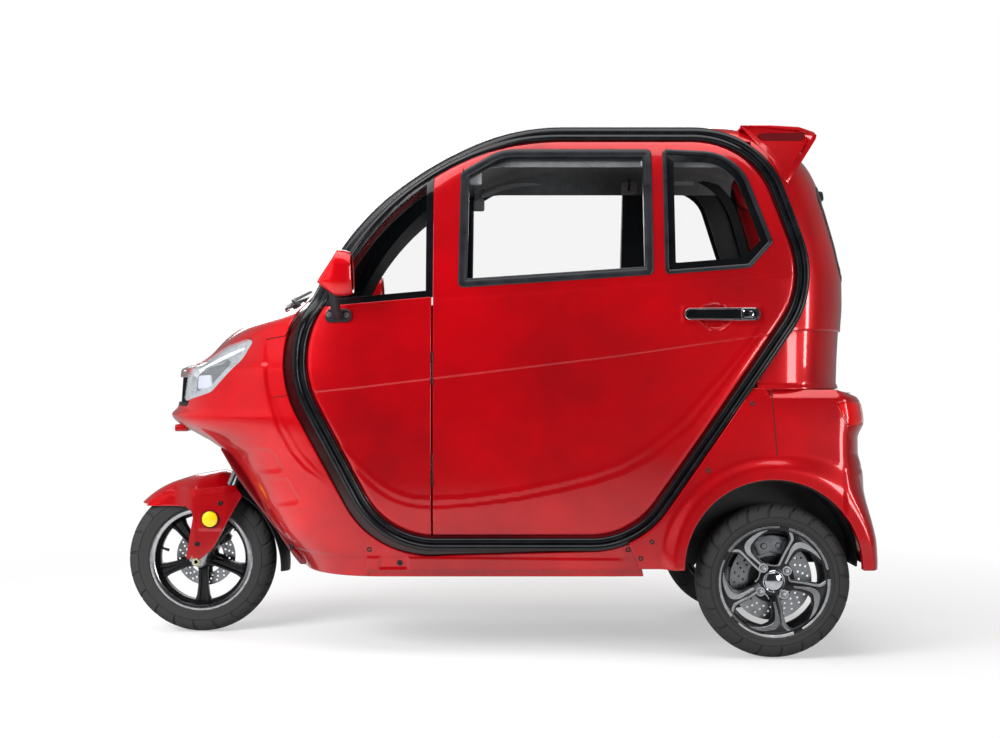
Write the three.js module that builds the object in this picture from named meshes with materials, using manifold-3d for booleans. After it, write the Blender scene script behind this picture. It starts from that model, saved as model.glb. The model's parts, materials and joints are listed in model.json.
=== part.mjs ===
// Three-wheeled electric cabin scooter: one steered front wheel, two rear wheels and an
// enclosed two-seat cabin with a hinged door on each side.
// Millimetres. +X forward, +Y to the rider's left, +Z up. The origin is on the ground,
// at the middle of the length and of the width.
import * as THREE from 'three';
import { mergeVertices } from 'three/addons/utils/BufferGeometryUtils.js';
import Module from 'manifold-3d';

const wasm = await Module();
wasm.setup();

// ---------------------------------------------------------------- driving dimensions
const TOUCH = 0.3; // gap between pieces that rest on each other
const SEAM = 0.4; // gap of a closed panel seam
const DOOR_GAP = 10; // open gap round a door, where its rubber seal lies
const FAR = 3000; // reach of a cutting block past the whole vehicle

const FRONT_AXLE_X = 939;
const REAR_AXLE_X = -850;
const WHEEL_SIDES = 32; // facets round each wheel
const ARC_FACET = 15; // degrees of arc to a facet on a panel's outline

const FRONT_TYRE = { radius: 240.5, width: 110, bead: 152 };
const REAR_TYRE = { radius: 230, width: 125, bead: 152 };
const REAR_WHEEL_Y = 457.5; // middle of each rear tyre

const RAKE = THREE.MathUtils.degToRad(24); // steering axis, leaning back from upright
const STEER_FOOT_X = 900; // where the steering axis crosses the front axle's height

const PANEL = 30; // thickness of the fixed body panels
const FRAME_DEPTH = 45; // thickness of the door rings
const DOOR_DEPTH = 38; // thickness of a door
const GLASS = 6; // thickness of the window glass
const GLASS_SINK = 8; // how far the glass lies below the skin

const RAIL_Y = 230; // middle of each chassis rail
const RAIL_LOW = 250;
const RAIL_HIGH = 290;
const FLOOR_THICK = 20;

const flatRadius = (radius) => radius * Math.cos(Math.PI / WHEEL_SIDES);
const FRONT_AXLE_Z = flatRadius(FRONT_TYRE.radius);
const REAR_AXLE_Z = flatRadius(REAR_TYRE.radius);
const HALF_LENGTH = FRONT_AXLE_X + FRONT_TYRE.radius; // the tail ends as far behind

// Outer edge of the door ring, seen from the side: [x, z, corner radius].
const RING = [
  [322, 317, 280], [626, 890, 330], [240, 1598, 780],
  [-829, 1598, 290], [-996, 1105, 305], [-453, 317, 270],
];
const RING_WIDTH = 38;
const SIDE_INNER_Y = 240; // the side pieces end here, towards the roof's middle
const HINGE_X = 165; // door hinge line, in the gap between door and front panel
const HINGE_Y = 504; // hinge line, just under the widest part of the skin
const HINGE_HALF_GAP = 8.5;
const HINGE_RADIUS = 6.5;
const HINGE_HEIGHTS = [560, 860];
const HINGE_LENGTH = 100;
const HINGE_PIN = 3; // radius of the hinge pin

// Cabin skin, as heights with the front end, rear end and half width there, and the
// places where the sides start to curve in towards the front and the rear.
const SKIN = [
  { z: 240, front: 594, rear: -1080, half: 470, bowFront: 300, bowRear: -850 },
  { z: 272, front: 613, rear: -1085, half: 476, bowFront: 304, bowRear: -850 },
  { z: 361, front: 696, rear: -1090, half: 490, bowFront: 312, bowRear: -850 },
  { z: 490, front: 768, rear: -1095, half: 503, bowFront: 330, bowRear: -850 },
  { z: 587, front: 837, rear: -1100, half: 507, bowFront: 345, bowRear: -850 },
  { z: 632, front: 903, rear: -1102, half: 508, bowFront: 350, bowRear: -850 },
  { z: 715, front: 1024, rear: -1106, half: 509, bowFront: 360, bowRear: -850 },
  { z: 740, front: 1004, rear: -1108, half: 508, bowFront: 360, bowRear: -850 },
  { z: 856, front: 992, rear: -1112, half: 506, bowFront: 360, bowRear: -850 },
  { z: 880, front: 930, rear: -1113, half: 505, bowFront: 362, bowRear: -850 },
  { z: 985, front: 797, rear: -1120, half: 498, bowFront: 372, bowRear: -850 },
  { z: 1066, front: 590, rear: -1126, half: 489, bowFront: 380, bowRear: -850 },
  { z: 1140, front: 540, rear: -1126, half: 480, bowFront: 340, bowRear: -850 },
  { z: 1218, front: 489, rear: -1114, half: 466, bowFront: 290, bowRear: -850 },
  { z: 1301, front: 419, rear: -1092, half: 450, bowFront: 222, bowRear: -848 },
  { z: 1371, front: 348, rear: -1072, half: 435, bowFront: 150, bowRear: -842 },
  { z: 1440, front: 258, rear: -1046, half: 420, bowFront: 60, bowRear: -830 },
  { z: 1490, front: 181, rear: -1018, half: 408, bowFront: -20, bowRear: -815 },
  { z: 1540, front: 85, rear: -965, half: 390, bowFront: -110, bowRear: -785 },
  { z: 1575, front: 5, rear: -905, half: 366, bowFront: -190, bowRear: -740 },
  { z: 1598, front: -80, rear: -850, half: 332, bowFront: -270, bowRear: -690 },
  { z: 1610, front: -190, rear: -770, half: 262, bowFront: -350, bowRear: -620 },
];
const CORNER_STEPS = 5; // facets of a quarter of the skin's outline
const NOSE_POWER = 2.5; // roundness of the front, from an ellipse at 2 to a box
const SCREEN_POWER = 3.0;
const TAIL_POWER = 2.6;
const BELT = 1066; // height of the foot of the windscreen

// Lower rear body, which covers the rear wheels.
// Each level ends a little short of the vehicle's half length.
const TAIL = [
  { z: 270, short: 3, half: 520 },
  { z: 300, short: 0, half: 524 },
  { z: 472, short: 11.5, half: 532 },
  { z: 564, short: 19.5, half: 534 },
  { z: 610, short: 32.5, half: 533 },
  { z: 650, short: 32.5, half: 531 },
  { z: 702, short: 7.5, half: 526 },
  { z: 748, short: 14.5, half: 519 },
  { z: 780, short: 39.5, half: 512 },
  { z: 800, short: 67.5, half: 507.5 },
];
const TAIL_TOP = 800;
const TAIL_BOW = 1030; // the tail's sides curve in behind this
const TAIL_NOSE = -260; // front end of the tail volume, inside the cabin
const SILL_BOTTOM = 240;
const SILL_FRONT = 360;
const SILL_REAR = [[-430, 320], [-484, 200]]; // slanted rear seam of the sill
const ARCH = { x: -841, z: 272, radius: 264 }; // rear wheel arch
const ARCH_LIP = 25; // width of the flared lip round it
const ARCH_FALL = 22; // how much the lip falls towards its outer edge
const ARCH_LIP_INNER_Y = 455;
const ARCH_LIP_Y = 553; // half width of the whole body over the lips

// ---------------------------------------------------------------- solids
function solidOf(geometry) {
  const flat = geometry.index ? geometry.toNonIndexed() : geometry.clone();
  flat.deleteAttribute('normal');
  flat.deleteAttribute('uv');
  const merged = mergeVertices(flat, 1e-4);
  return new wasm.Manifold(new wasm.Mesh({
    numProp: 3,
    vertProperties: merged.attributes.position.array,
    triVerts: Uint32Array.from(merged.index.array),
  }));
}

function geometryOf(solid) {
  const mesh = solid.getMesh();
  const geometry = new THREE.BufferGeometry();
  geometry.setAttribute('position', new THREE.BufferAttribute(mesh.vertProperties, 3));
  geometry.setIndex(new THREE.BufferAttribute(mesh.triVerts, 1));
  return geometry;
}

const sorted = (...values) => values.sort((a, b) => a - b);
const join = (...solids) => solids.reduce((whole, next) => whole.add(next));
const cut = (whole, ...tools) => tools.reduce((left, tool) => left.subtract(tool), whole);
const common = (...solids) => solids.reduce((whole, next) => whole.intersect(next));

// A block between two corners.
function block(low, high) {
  const size = high.map((value, i) => value - low[i]);
  const box = new THREE.BoxGeometry(...size);
  box.translate(...low.map((value, i) => value + size[i] / 2));
  return solidOf(box);
}

// A cylinder between two points; sides are its facets.
function rod(from, to, radius, sides = 12) {
  const start = new THREE.Vector3(...from);
  const along = new THREE.Vector3(...to).sub(start);
  const cylinder = new THREE.CylinderGeometry(radius, radius, along.length(), sides);
  cylinder.translate(0, along.length() / 2, 0);
  const up = new THREE.Vector3(0, 1, 0);
  cylinder.applyQuaternion(new THREE.Quaternion().setFromUnitVectors(up, along.normalize()));
  cylinder.translate(...from);
  return solidOf(cylinder);
}

// A round tube swept through points on one smooth curve.
function bentTube(points, radius, sides = 8, steps = 12) {
  const ring = new THREE.Shape();
  for (let i = 0; i < sides; i += 1) {
    const turn = (2 * Math.PI * i) / sides;
    ring[i ? 'lineTo' : 'moveTo'](radius * Math.cos(turn), radius * Math.sin(turn));
  }
  const path = new THREE.CatmullRomCurve3(points.map((p) => new THREE.Vector3(...p)));
  const options = { steps, bevelEnabled: false, extrudePath: path };
  return solidOf(new THREE.ExtrudeGeometry(ring, options));
}

// A ring turned about a cross axis: profile points are [radius, y] and close on themselves.
function turned(profile, centreX, centreZ, sides = WHEEL_SIDES) {
  const outline = profile.map(([radius, y]) => new THREE.Vector2(radius, y));
  if (THREE.ShapeUtils.area(outline) < 0) outline.reverse();
  const lathe = new THREE.LatheGeometry([...outline, outline[0]], sides);
  lathe.rotateY(Math.PI / sides); // a flat, not a corner, at the bottom
  lathe.translate(centreX, 0, centreZ);
  return solidOf(lathe);
}

// How far each corner's arc reaches along its two edges, cut back where arcs would meet.
function cornerReaches(corners) {
  const points = corners.map(([x, z]) => new THREE.Vector2(x, z));
  const lengths = points.map((p, i) => p.distanceTo(points[(i + 1) % points.length]));
  const halves = points.map((p, i) => {
    const before = points.at(i - 1).clone().sub(p).normalize();
    const after = points[(i + 1) % points.length].clone().sub(p).normalize();
    return Math.acos(THREE.MathUtils.clamp(before.dot(after), -1, 1)) / 2;
  });
  const wanted = corners.map(([, , radius = 0], i) => radius / Math.tan(halves[i]));
  const room = lengths.map((length) => 0.998 * length);
  const fit = (i, edge, other) => Math.min(1, room[edge] / (wanted[i] + wanted[other] || 1));
  return wanted.map((reach, i) => {
    const last = (i + corners.length - 1) % corners.length;
    const next = (i + 1) % corners.length;
    return { reach: reach * Math.min(fit(i, last, last), fit(i, i, next)), half: halves[i] };
  });
}

// Points of a polygon [[x, z, corner radius], ...] with its corners rounded by arcs.
function roundedPoints(corners, facet = THREE.MathUtils.degToRad(ARC_FACET)) {
  const reaches = cornerReaches(corners);
  const towards = (from, to) => new THREE.Vector2(to[0] - from[0], to[1] - from[1]).normalize();
  return corners.flatMap((corner, i) => {
    const here = new THREE.Vector2(corner[0], corner[1]);
    if (!corner[2]) return [here];
    const { reach, half } = reaches[i];
    const toBefore = towards(corner, corners.at(i - 1));
    const toAfter = towards(corner, corners[(i + 1) % corners.length]);
    const centre = here.clone()
      .addScaledVector(toBefore.clone().add(toAfter).normalize(), reach / Math.cos(half));
    const start = here.clone().addScaledVector(toBefore, reach).sub(centre);
    const end = here.clone().addScaledVector(toAfter, reach).sub(centre);
    const turn = Math.atan2(start.cross(end), start.dot(end));
    const steps = Math.max(2, Math.ceil(Math.abs(turn) / facet));
    return Array.from({ length: steps + 1 }, (_, k) => start.clone()
      .rotateAround(new THREE.Vector2(), (turn * k) / steps).add(centre));
  });
}

// The convex polygon moved inwards by a distance, or outwards by a negative one.
function inset(corners, distance) {
  const middle = corners.reduce((sum, [x, z]) => [sum[0] + x, sum[1] + z], [0, 0])
    .map((value) => value / corners.length);
  const edges = corners.map(([x, z], i) => {
    const [nextX, nextZ] = corners[(i + 1) % corners.length];
    const normal = new THREE.Vector2(z - nextZ, nextX - x).normalize();
    const inward = normal.dot(new THREE.Vector2(middle[0] - x, middle[1] - z)) > 0 ? 1 : -1;
    normal.multiplyScalar(inward);
    return { normal, offset: normal.dot(new THREE.Vector2(x, z)) + distance };
  });
  return corners.map(([, , radius = 0], i) => {
    const a = edges.at(i - 1);
    const b = edges[i];
    const det = a.normal.cross(b.normal);
    const x = (a.offset * b.normal.y - b.offset * a.normal.y) / det;
    const z = (a.normal.x * b.offset - b.normal.x * a.offset) / det;
    return [x, z, radius ? Math.max(radius - distance, 4) : 0];
  });
}

// A prism across the vehicle, from a side outline of [x, z, corner radius], y0 < y1.
function sidePrism(corners, y0 = -FAR, y1 = FAR) {
  const shape = new THREE.Shape(roundedPoints(corners));
  const prism = new THREE.ExtrudeGeometry(shape, { depth: y1 - y0, bevelEnabled: false });
  prism.rotateX(Math.PI / 2);
  prism.translate(0, y1, 0);
  return solidOf(prism);
}

// A prism standing up, from a plan outline of [x, y, corner radius].
function planPrism(corners, z0, z1) {
  const shape = new THREE.Shape(roundedPoints(corners));
  const prism = new THREE.ExtrudeGeometry(shape, { depth: z1 - z0, bevelEnabled: false });
  prism.translate(0, 0, z0);
  return solidOf(prism);
}

// A closed body through level rings of points, all with the same count, lowest first.
function loft(rings) {
  const count = rings[0].length;
  const points = rings.flat();
  const bottom = points.length;
  points.push(middleOf(rings[0]), middleOf(rings.at(-1)));
  const faces = [];
  for (let i = 0; i < count; i += 1) {
    const next = (i + 1) % count;
    faces.push(bottom, next, i, bottom + 1, bottom - count + i, bottom - count + next);
    for (let level = 0; level + 1 < rings.length; level += 1) {
      const low = level * count;
      const high = low + count;
      faces.push(low + i, low + next, high + next, low + i, high + next, high + i);
    }
  }
  const geometry = new THREE.BufferGeometry().setFromPoints(points);
  geometry.setIndex(faces);
  return solidOf(geometry);
}

function middleOf(ring) {
  const sum = ring.reduce((total, point) => total.clone().add(point), new THREE.Vector3());
  return sum.divideScalar(ring.length);
}

// One end of a level outline: a rounded corner from the side (x0) to the tip (x1).
function cornerPoints(x0, x1, half, z, power) {
  const points = [];
  for (let i = 0; i <= CORNER_STEPS; i += 1) {
    const turn = (Math.PI / 2) * (i / CORNER_STEPS);
    const along = Math.sin(turn) ** (2 / power);
    const across = Math.cos(turn) ** (2 / power);
    points.push(new THREE.Vector3(x0 + (x1 - x0) * along, half * across, z));
  }
  return points;
}

// A whole level outline, anticlockwise from above: front left round to front right.
function levelRing(z, { front, bowFront, frontPower, rear, bowRear, rearPower, half }) {
  const mirrored = (points) => points.map((p) => new THREE.Vector3(p.x, -p.y, p.z)).reverse();
  const nose = cornerPoints(bowFront, front, half, z, frontPower);
  const tail = cornerPoints(bowRear, rear, half, z, rearPower);
  const leftNose = nose.slice().reverse();
  const rightTail = mirrored(tail);
  const rightNose = mirrored(leftNose);
  return [...leftNose, ...tail.slice(0, -1), ...rightTail, ...rightNose.slice(0, -1)];
}

// The cabin's outer form, drawn in by a depth. Drawn in, it runs on down past the sills.
function cabinForm(depth) {
  const top = SKIN.at(-1).z;
  const rings = SKIN.map((level) => {
    const rise = THREE.MathUtils.clamp((level.z - BELT) / (top - BELT), 0, 1);
    return levelRing(level.z - depth * rise, {
      front: level.front - depth,
      bowFront: level.bowFront,
      frontPower: THREE.MathUtils.lerp(NOSE_POWER, SCREEN_POWER, Math.min(1, 4 * rise)),
      rear: level.rear + depth,
      bowRear: level.bowRear,
      rearPower: TAIL_POWER,
      half: level.half - depth,
    });
  });
  if (depth > 0) {
    rings.unshift(rings[0].map((p) => new THREE.Vector3(p.x, p.y, SILL_BOTTOM - PANEL)));
  }
  return loft(rings);
}

// The layer of the cabin between two depths below its skin.
const cabinLayer = (outer, inner) => cut(cabinForm(outer), cabinForm(inner));

// The lower rear body's outer form, drawn in by a depth and then open above and below.
function tailForm(depth) {
  const rings = TAIL.map(({ z, short, half }) => levelRing(z, {
    front: TAIL_NOSE,
    bowFront: TAIL_NOSE - 10,
    frontPower: TAIL_POWER,
    rear: depth + short - HALF_LENGTH,
    bowRear: -TAIL_BOW,
    rearPower: TAIL_POWER,
    half: half - depth,
  }));
  if (depth > 0) {
    const at = (ring, z) => ring.map((p) => new THREE.Vector3(p.x, p.y, z));
    rings.unshift(at(rings[0], TAIL[0].z - PANEL));
    rings.push(at(rings.at(-1), TAIL_TOP + PANEL));
  }
  return loft(rings);
}

const ringPrism = (growth) => sidePrism(inset(RING, -growth));

// The two zones that the door rings and doors fill, one to each side of the roof's middle.
const sideZones = (growth) => cut(ringPrism(growth), block(
  [-FAR, growth - SIDE_INNER_Y, -FAR], [FAR, SIDE_INNER_Y - growth, FAR]));

// ---------------------------------------------------------------- wheels
// A point of the steering frame: up the axis, forward of it, and its [x, z] in the vehicle.
function steered(up, forward = 0) {
  return [
    STEER_FOOT_X - up * Math.sin(RAKE) + forward * Math.cos(RAKE),
    FRONT_AXLE_Z + up * Math.cos(RAKE) + forward * Math.sin(RAKE),
  ];
}
const steeredPoint = (up, forward, y) => {
  const [x, z] = steered(up, forward);
  return [x, y, z];
};

const RIM_LIP = 167; // radius of the rim's lips
const RIM_SEAT = 152;
const RIM_WELL = 143;
const LIP_THICK = 5;

const mirroredProfile = (half) => [...half, ...half.map(([r, y]) => [r, -y]).reverse()];

function tyreSolid({ radius, width }, x, y, z) {
  const side = width / 2;
  const seatSide = side * 0.68;
  const wall = radius - RIM_LIP;
  const half = [
    [RIM_SEAT + TOUCH, seatSide],
    [RIM_LIP + TOUCH, seatSide],
    [RIM_LIP + 0.4 * wall, side],
    [RIM_LIP + 0.84 * wall, side * 0.78],
    [radius, side * 0.3],
  ];
  const profile = mirroredProfile(half).map(([r, across]) => [r, y + across]);
  return turned(profile, x, z);
}

function rimBand({ width }, x, y, z) {
  const seatSide = (width / 2) * 0.68 + TOUCH;
  const half = [
    [RIM_SEAT, seatSide],
    [RIM_LIP, seatSide],
    [RIM_LIP, seatSide + LIP_THICK],
    [RIM_WELL, seatSide + LIP_THICK],
  ];
  const profile = mirroredProfile(half).map(([r, across]) => [r, y + across]);
  return turned(profile, x, z);
}

// A straight spoke at a turn from upright, between two radii and two side faces.
function spoke(x, z, turn, inner, outer, innerHalf, outerHalf, y0, y1, sweep = 0) {
  const at = (radius, off, lean) => {
    const angle = turn + lean;
    const along = [Math.sin(angle), Math.cos(angle)];
    return [x + along[0] * radius + along[1] * off, z + along[1] * radius - along[0] * off];
  };
  return sidePrism([
    at(inner, -innerHalf, 0), at(outer, -outerHalf, sweep),
    at(outer, outerHalf, sweep), at(inner, innerHalf, 0),
  ], y0, y1);
}

const FRONT_HUB = { radius: 30, half: 44, bore: 10.6, axle: 10 };
const FRONT_DISC = { radius: 97, y0: -49, y1: -45 };
const FRONT_SPOKES = 5;

function frontRim() {
  const [x, z] = [FRONT_AXLE_X, FRONT_AXLE_Z];
  const spokes = Array.from({ length: FRONT_SPOKES }, (_, i) => {
    const turn = Math.PI + (2 * Math.PI * i) / FRONT_SPOKES;
    return spoke(x, z, turn, FRONT_HUB.radius - 6, RIM_WELL + 4, 17, 12, -11, 11);
  });
  const hub = rod([x, FRONT_DISC.y0, z], [x, FRONT_HUB.half, z], FRONT_HUB.radius, 16);
  const disc = rod([x, FRONT_DISC.y0, z], [x, FRONT_DISC.y1, z], FRONT_DISC.radius, 24);
  const bore = rod([x, -FAR, z], [x, FAR, z], FRONT_HUB.bore, 12);
  return cut(join(rimBand(FRONT_TYRE, x, 0, z), hub, disc, ...spokes), bore);
}

const REAR_HUB = { radius: 46, inner: -40, outer: 38, bore: 14.6, spindle: 14 };
const REAR_SPOKES = 5;

function rearRim(side) {
  const [x, z] = [REAR_AXLE_X, REAR_AXLE_Z];
  const y = side * REAR_WHEEL_Y;
  const across = (from, to) => [y + side * from, y + side * to].sort((a, b) => a - b);
  const blades = Array.from({ length: REAR_SPOKES }, (_, i) => {
    const turn = (2 * Math.PI * i) / REAR_SPOKES;
    return spoke(x, z, turn, REAR_HUB.radius - 8, RIM_WELL + 4, 20, 26, ...across(14, 34), -0.5);
  });
  const hub = rod([x, across(REAR_HUB.inner, REAR_HUB.outer)[0], z],
    [x, across(REAR_HUB.inner, REAR_HUB.outer)[1], z], REAR_HUB.radius, 16);
  const bore = rod([x, y - side * FAR, z], [x, y + side * (REAR_HUB.outer - 6), z], REAR_HUB.bore, 12);
  return cut(join(rimBand(REAR_TYRE, x, y, z), hub, ...blades), bore);
}

// ---------------------------------------------------------------- steering
const LEG_Y = 92; // middle of each fork leg
const LEG = { upper: 17, lower: 24, foot: -34, sleeveTop: 195 };
const AXLE_LEAD = (FRONT_AXLE_X - STEER_FOOT_X) * Math.cos(RAKE); // axle ahead of the axis
const AXLE_DROP = -(FRONT_AXLE_X - STEER_FOOT_X) * Math.sin(RAKE);
const CROWN = { low: 300, high: 332, half: 114, back: -34, front: 62 };
const STEM = { radius: 25, top: 700 };
const PERCH = { radius: 22, lean: 8 }; // post that carries the mudguard
const AXLE_NUT = 10; // how far the front axle stands out of the fork legs
const SUNK = 4; // how deep a joined tube or boss goes into its neighbour
const HEAD = { low: CROWN.high + 6, high: 560, bore: 26, radius: 36 };
const MUDGUARD = { radius: 280, skin: 7, skirt: 24, half: 66, front: 41, rear: 188 };

function mudguard() {
  const { radius, skin, skirt, half } = MUDGUARD;
  const arm = [
    [radius - skin, half - skin], [radius - skin - skirt, half - skin],
    [radius - skin - skirt, half], [radius, half],
  ];
  const hoop = turned(mirroredProfile(arm), FRONT_AXLE_X, FRONT_AXLE_Z);
  const ray = (degrees) => {
    const turn = THREE.MathUtils.degToRad(degrees);
    return [FRONT_AXLE_X + 2 * radius * Math.cos(turn), FRONT_AXLE_Z + 2 * radius * Math.sin(turn)];
  };
  const { front, rear } = MUDGUARD;
  const centre = [FRONT_AXLE_X, FRONT_AXLE_Z];
  const wedge = sidePrism([centre, ray(front), ray((front + rear) / 2), ray(rear)]);
  return common(hoop, wedge);
}

function fork() {
  const foot = (y) => steeredPoint(LEG.foot, AXLE_LEAD, y);
  const legs = [-1, 1].flatMap((side) => {
    const y = side * LEG_Y;
    return [
      rod(foot(y), steeredPoint(LEG.sleeveTop, AXLE_LEAD, y), LEG.lower),
      rod(foot(y), steeredPoint(CROWN.low + SUNK, AXLE_LEAD, y), LEG.upper),
    ];
  });
  const { low, high, half, back, front } = CROWN;
  const crown = sidePrism([
    [...steered(low, back), 12], [...steered(low, front), 12],
    [...steered(high, front), 12], [...steered(high, back), 12],
  ], -half, half);
  const stem = rod(steeredPoint(low + SUNK, 0, 0), steeredPoint(STEM.top, 0, 0), STEM.radius, 16);
  const [x, z] = [FRONT_AXLE_X, FRONT_AXLE_Z];
  const end = LEG_Y + LEG.lower + AXLE_NUT;
  const axle = rod([x, -end, z], [x, end, z], FRONT_HUB.axle, 16);
  const perch = rod(
    steeredPoint(AXLE_DROP + MUDGUARD.radius - PERCH.radius, AXLE_LEAD, 0),
    steeredPoint(low + SUNK, AXLE_LEAD - PERCH.lean, 0), PERCH.radius);
  const seat = MUDGUARD.radius + TOUCH;
  const overGuard = turned([[0, -half], [seat, -half], [seat, half], [0, half]], x, z);
  return join(...legs, crown, stem, axle, cut(perch, overGuard));
}

// A cover over the outside of each fork leg, above the axle: [x, z, corner radius] from it.
const SHROUD = [[-19, 91, 20], [46, 46, 16], [29, 11, 18], [-4, 13, 16], [-34, 61, 30],
  [-139, 213, 12], [-107, 231, 20]];
const SHROUD_THICK = 6;

function shroud(side) {
  const inner = LEG_Y + LEG.lower + TOUCH;
  const outline = SHROUD.map(([x, z, round]) => [FRONT_AXLE_X + x, FRONT_AXLE_Z + z, round]);
  return sidePrism(outline, ...sorted(side * inner, side * (inner + SHROUD_THICK)));
}

// Half of the handlebar, as [above the stem, forward of it, outwards], and its grip.
const BAR = [[13, 6, 0], [15, 6, 70], [52, -14, 165], [58, -60, 235], [52, -112, 300]];
const BAR_RADIUS = 11;
const GRIP = { from: [57, -66, 242], to: [52, -118, 308], radius: 17 };
const BAR_CLAMP = { below: 26, above: 24, wall: 11 };

function handlebar() {
  const place = (side) => ([up, forward, y]) => steeredPoint(STEM.top + up, forward, side * y);
  const bar = [...BAR.slice(1).reverse().map(place(-1)), ...BAR.map(place(1))];
  const grips = [-1, 1].map((side) => rod(place(side)(GRIP.from), place(side)(GRIP.to), GRIP.radius, 8));
  const onStem = (up) => steeredPoint(STEM.top + up, 0, 0);
  const clamp = rod(onStem(-BAR_CLAMP.below), onStem(BAR_CLAMP.above), STEM.radius + BAR_CLAMP.wall, 16);
  const socket = rod(onStem(-2 * BAR_CLAMP.below), onStem(TOUCH), STEM.radius + TOUCH, 16);
  return cut(join(bentTube(bar, BAR_RADIUS, 8, 14), ...grips, clamp), socket);
}

// ---------------------------------------------------------------- chassis and drive
const RAIL_HALF = 25;
const CHASSIS = { front: 534, rear: -690, tail: -1100, railTop: 520, tube: 40, spread: 330 };
const CROSS_X = [40, -430]; // rear faces of the floor's cross tubes
const TAIL_CROSS_X = -930;
const SHOCK_Y = 300;
// The two tubes down from the steering head: [x, z] of their bends.
const DOWN_TUBE = { radius: 16, y: 60, headY: 24, bends: [[632, 694], [592, 640], [548, 470]] };

function chassisFrame() {
  const { front, rear, tail, railTop, tube, spread } = CHASSIS;
  const outer = RAIL_Y + RAIL_HALF;
  const headTube = rod(steeredPoint(HEAD.low, 0, 0), steeredPoint(HEAD.high, 0, 0), HEAD.radius, 16);
  const headBore = rod(
    steeredPoint(HEAD.low - tube, 0, 0), steeredPoint(HEAD.high + tube, 0, 0), HEAD.bore, 16);
  const rails = [-1, 1].flatMap((side) => {
    const [low, high] = sorted(side * (RAIL_Y - RAIL_HALF), side * outer);
    const [slimLow, slimHigh] = sorted(side * (outer - tube), side * outer);
    const down = bentTube([
      steeredPoint(HEAD.high - tube, -10, side * DOWN_TUBE.headY),
      ...DOWN_TUBE.bends.map(([x, z], i) => [x, side * (DOWN_TUBE.y - (i ? 0 : 8)), z]),
      [front - tube / 2, side * DOWN_TUBE.y, RAIL_HIGH - 10],
    ], DOWN_TUBE.radius, 8, 9);
    return [
      block([rear, low, RAIL_LOW], [front, high, RAIL_HIGH]),
      block([rear, slimLow, RAIL_LOW], [rear + tube, slimHigh, railTop]),
      block([tail, slimLow, railTop - tube], [rear + tube, slimHigh, railTop]),
      down,
    ];
  });
  const crossAt = (x, reach, low, high) => block([x, -reach, low], [x + tube, reach, high]);
  const crosses = [
    ...[front - tube, ...CROSS_X, rear].map((x) => crossAt(x, outer, RAIL_LOW, RAIL_HIGH)),
    crossAt(tail, outer, railTop - tube, railTop),
    crossAt(TAIL_CROSS_X, spread, railTop - tube, railTop),
  ];
  return cut(join(headTube, ...rails, ...crosses), headBore);
}

const BEAM = { radius: 24, half: 384, reach: REAR_WHEEL_Y + REAR_HUB.outer - 12 };
const ARM = { y: 180, half: 18, low: 16, high: 18 };
const SHOCK = { lean: 46, rod: 16, spring: 28, foot: 120, topHalf: 20 };

function rearAxle() {
  const [x, z] = [REAR_AXLE_X, REAR_AXLE_Z];
  const { railTop, tube, rear } = CHASSIS;
  const beam = rod([x, -BEAM.half, z], [x, BEAM.half, z], BEAM.radius, 12);
  const spindles = rod([x, -BEAM.reach, z], [x, BEAM.reach, z], REAR_HUB.spindle, 12);
  const arms = [-1, 1].flatMap((side) => {
    const arm = sidePrism([
      [x, z - ARM.low], [rear - TOUCH, RAIL_LOW], [rear - TOUCH, RAIL_HIGH - SUNK], [x, z + ARM.high],
    ], side * ARM.y - ARM.half, side * ARM.y + ARM.half);
    const top = railTop - tube - TOUCH;
    const y = side * SHOCK_Y;
    const on = (height) => [x - SHOCK.lean * ((height - z) / (top - z)), y, height];
    const shock = join(
      rod(on(z), on(top - SHOCK.rod), SHOCK.rod, 10),
      rod(on(z + SHOCK.foot), on(top - SHOCK.spring), SHOCK.spring, 12),
      block([x - SHOCK.lean - SHOCK.spring, y - SHOCK.topHalf, top - SHOCK.topHalf],
        [x - SHOCK.lean + SHOCK.spring / 2, y + SHOCK.topHalf, top]),
    );
    return [arm, shock];
  });
  return join(beam, spindles, ...arms);
}

const MOTOR = { half: 115, front: 78, back: 84, low: 64, high: 72, round: 24 };

function driveMotor() {
  const [x, z] = [REAR_AXLE_X, REAR_AXLE_Z];
  const body = sidePrism([
    [x - MOTOR.back, z - MOTOR.low, MOTOR.round], [x + MOTOR.front, z - MOTOR.low, MOTOR.round],
    [x + MOTOR.front, z + MOTOR.high, MOTOR.round], [x - MOTOR.back, z + MOTOR.high, MOTOR.round],
  ], -MOTOR.half, MOTOR.half);
  const beam = rod([x, -FAR, z], [x, FAR, z], BEAM.radius + TOUCH, 12);
  return cut(body, beam);
}

// ---------------------------------------------------------------- body panels
const TUNNEL = { half: 240, wall: 8, rear: 612, roof: 640, low: 292, setBack: 57, notch: 62 };
const GRILLE = { half: 168, low: 744, high: 870, rear: 899, sink: 6, depth: 22, bars: 3, rim: 14 };
// Plan of the bonnet's left half: [x, y, corner radius], from the windscreen forwards.
const BONNET = [[560, 300], [590, 330, 60], [700, 300, 60], [905, 190, 60]];
const BONNET_LOW = 862;
const HEADLAMP = [[711, 951, 14], [809, 926, 60], [891, 874, 40], [918, 822, 20], [925, 758, 12],
  [833, 792, 60], [742, 890, 60]];
const LAMP_DEPTH = 55;
const LAMP_INNER_Y = 120;
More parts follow.
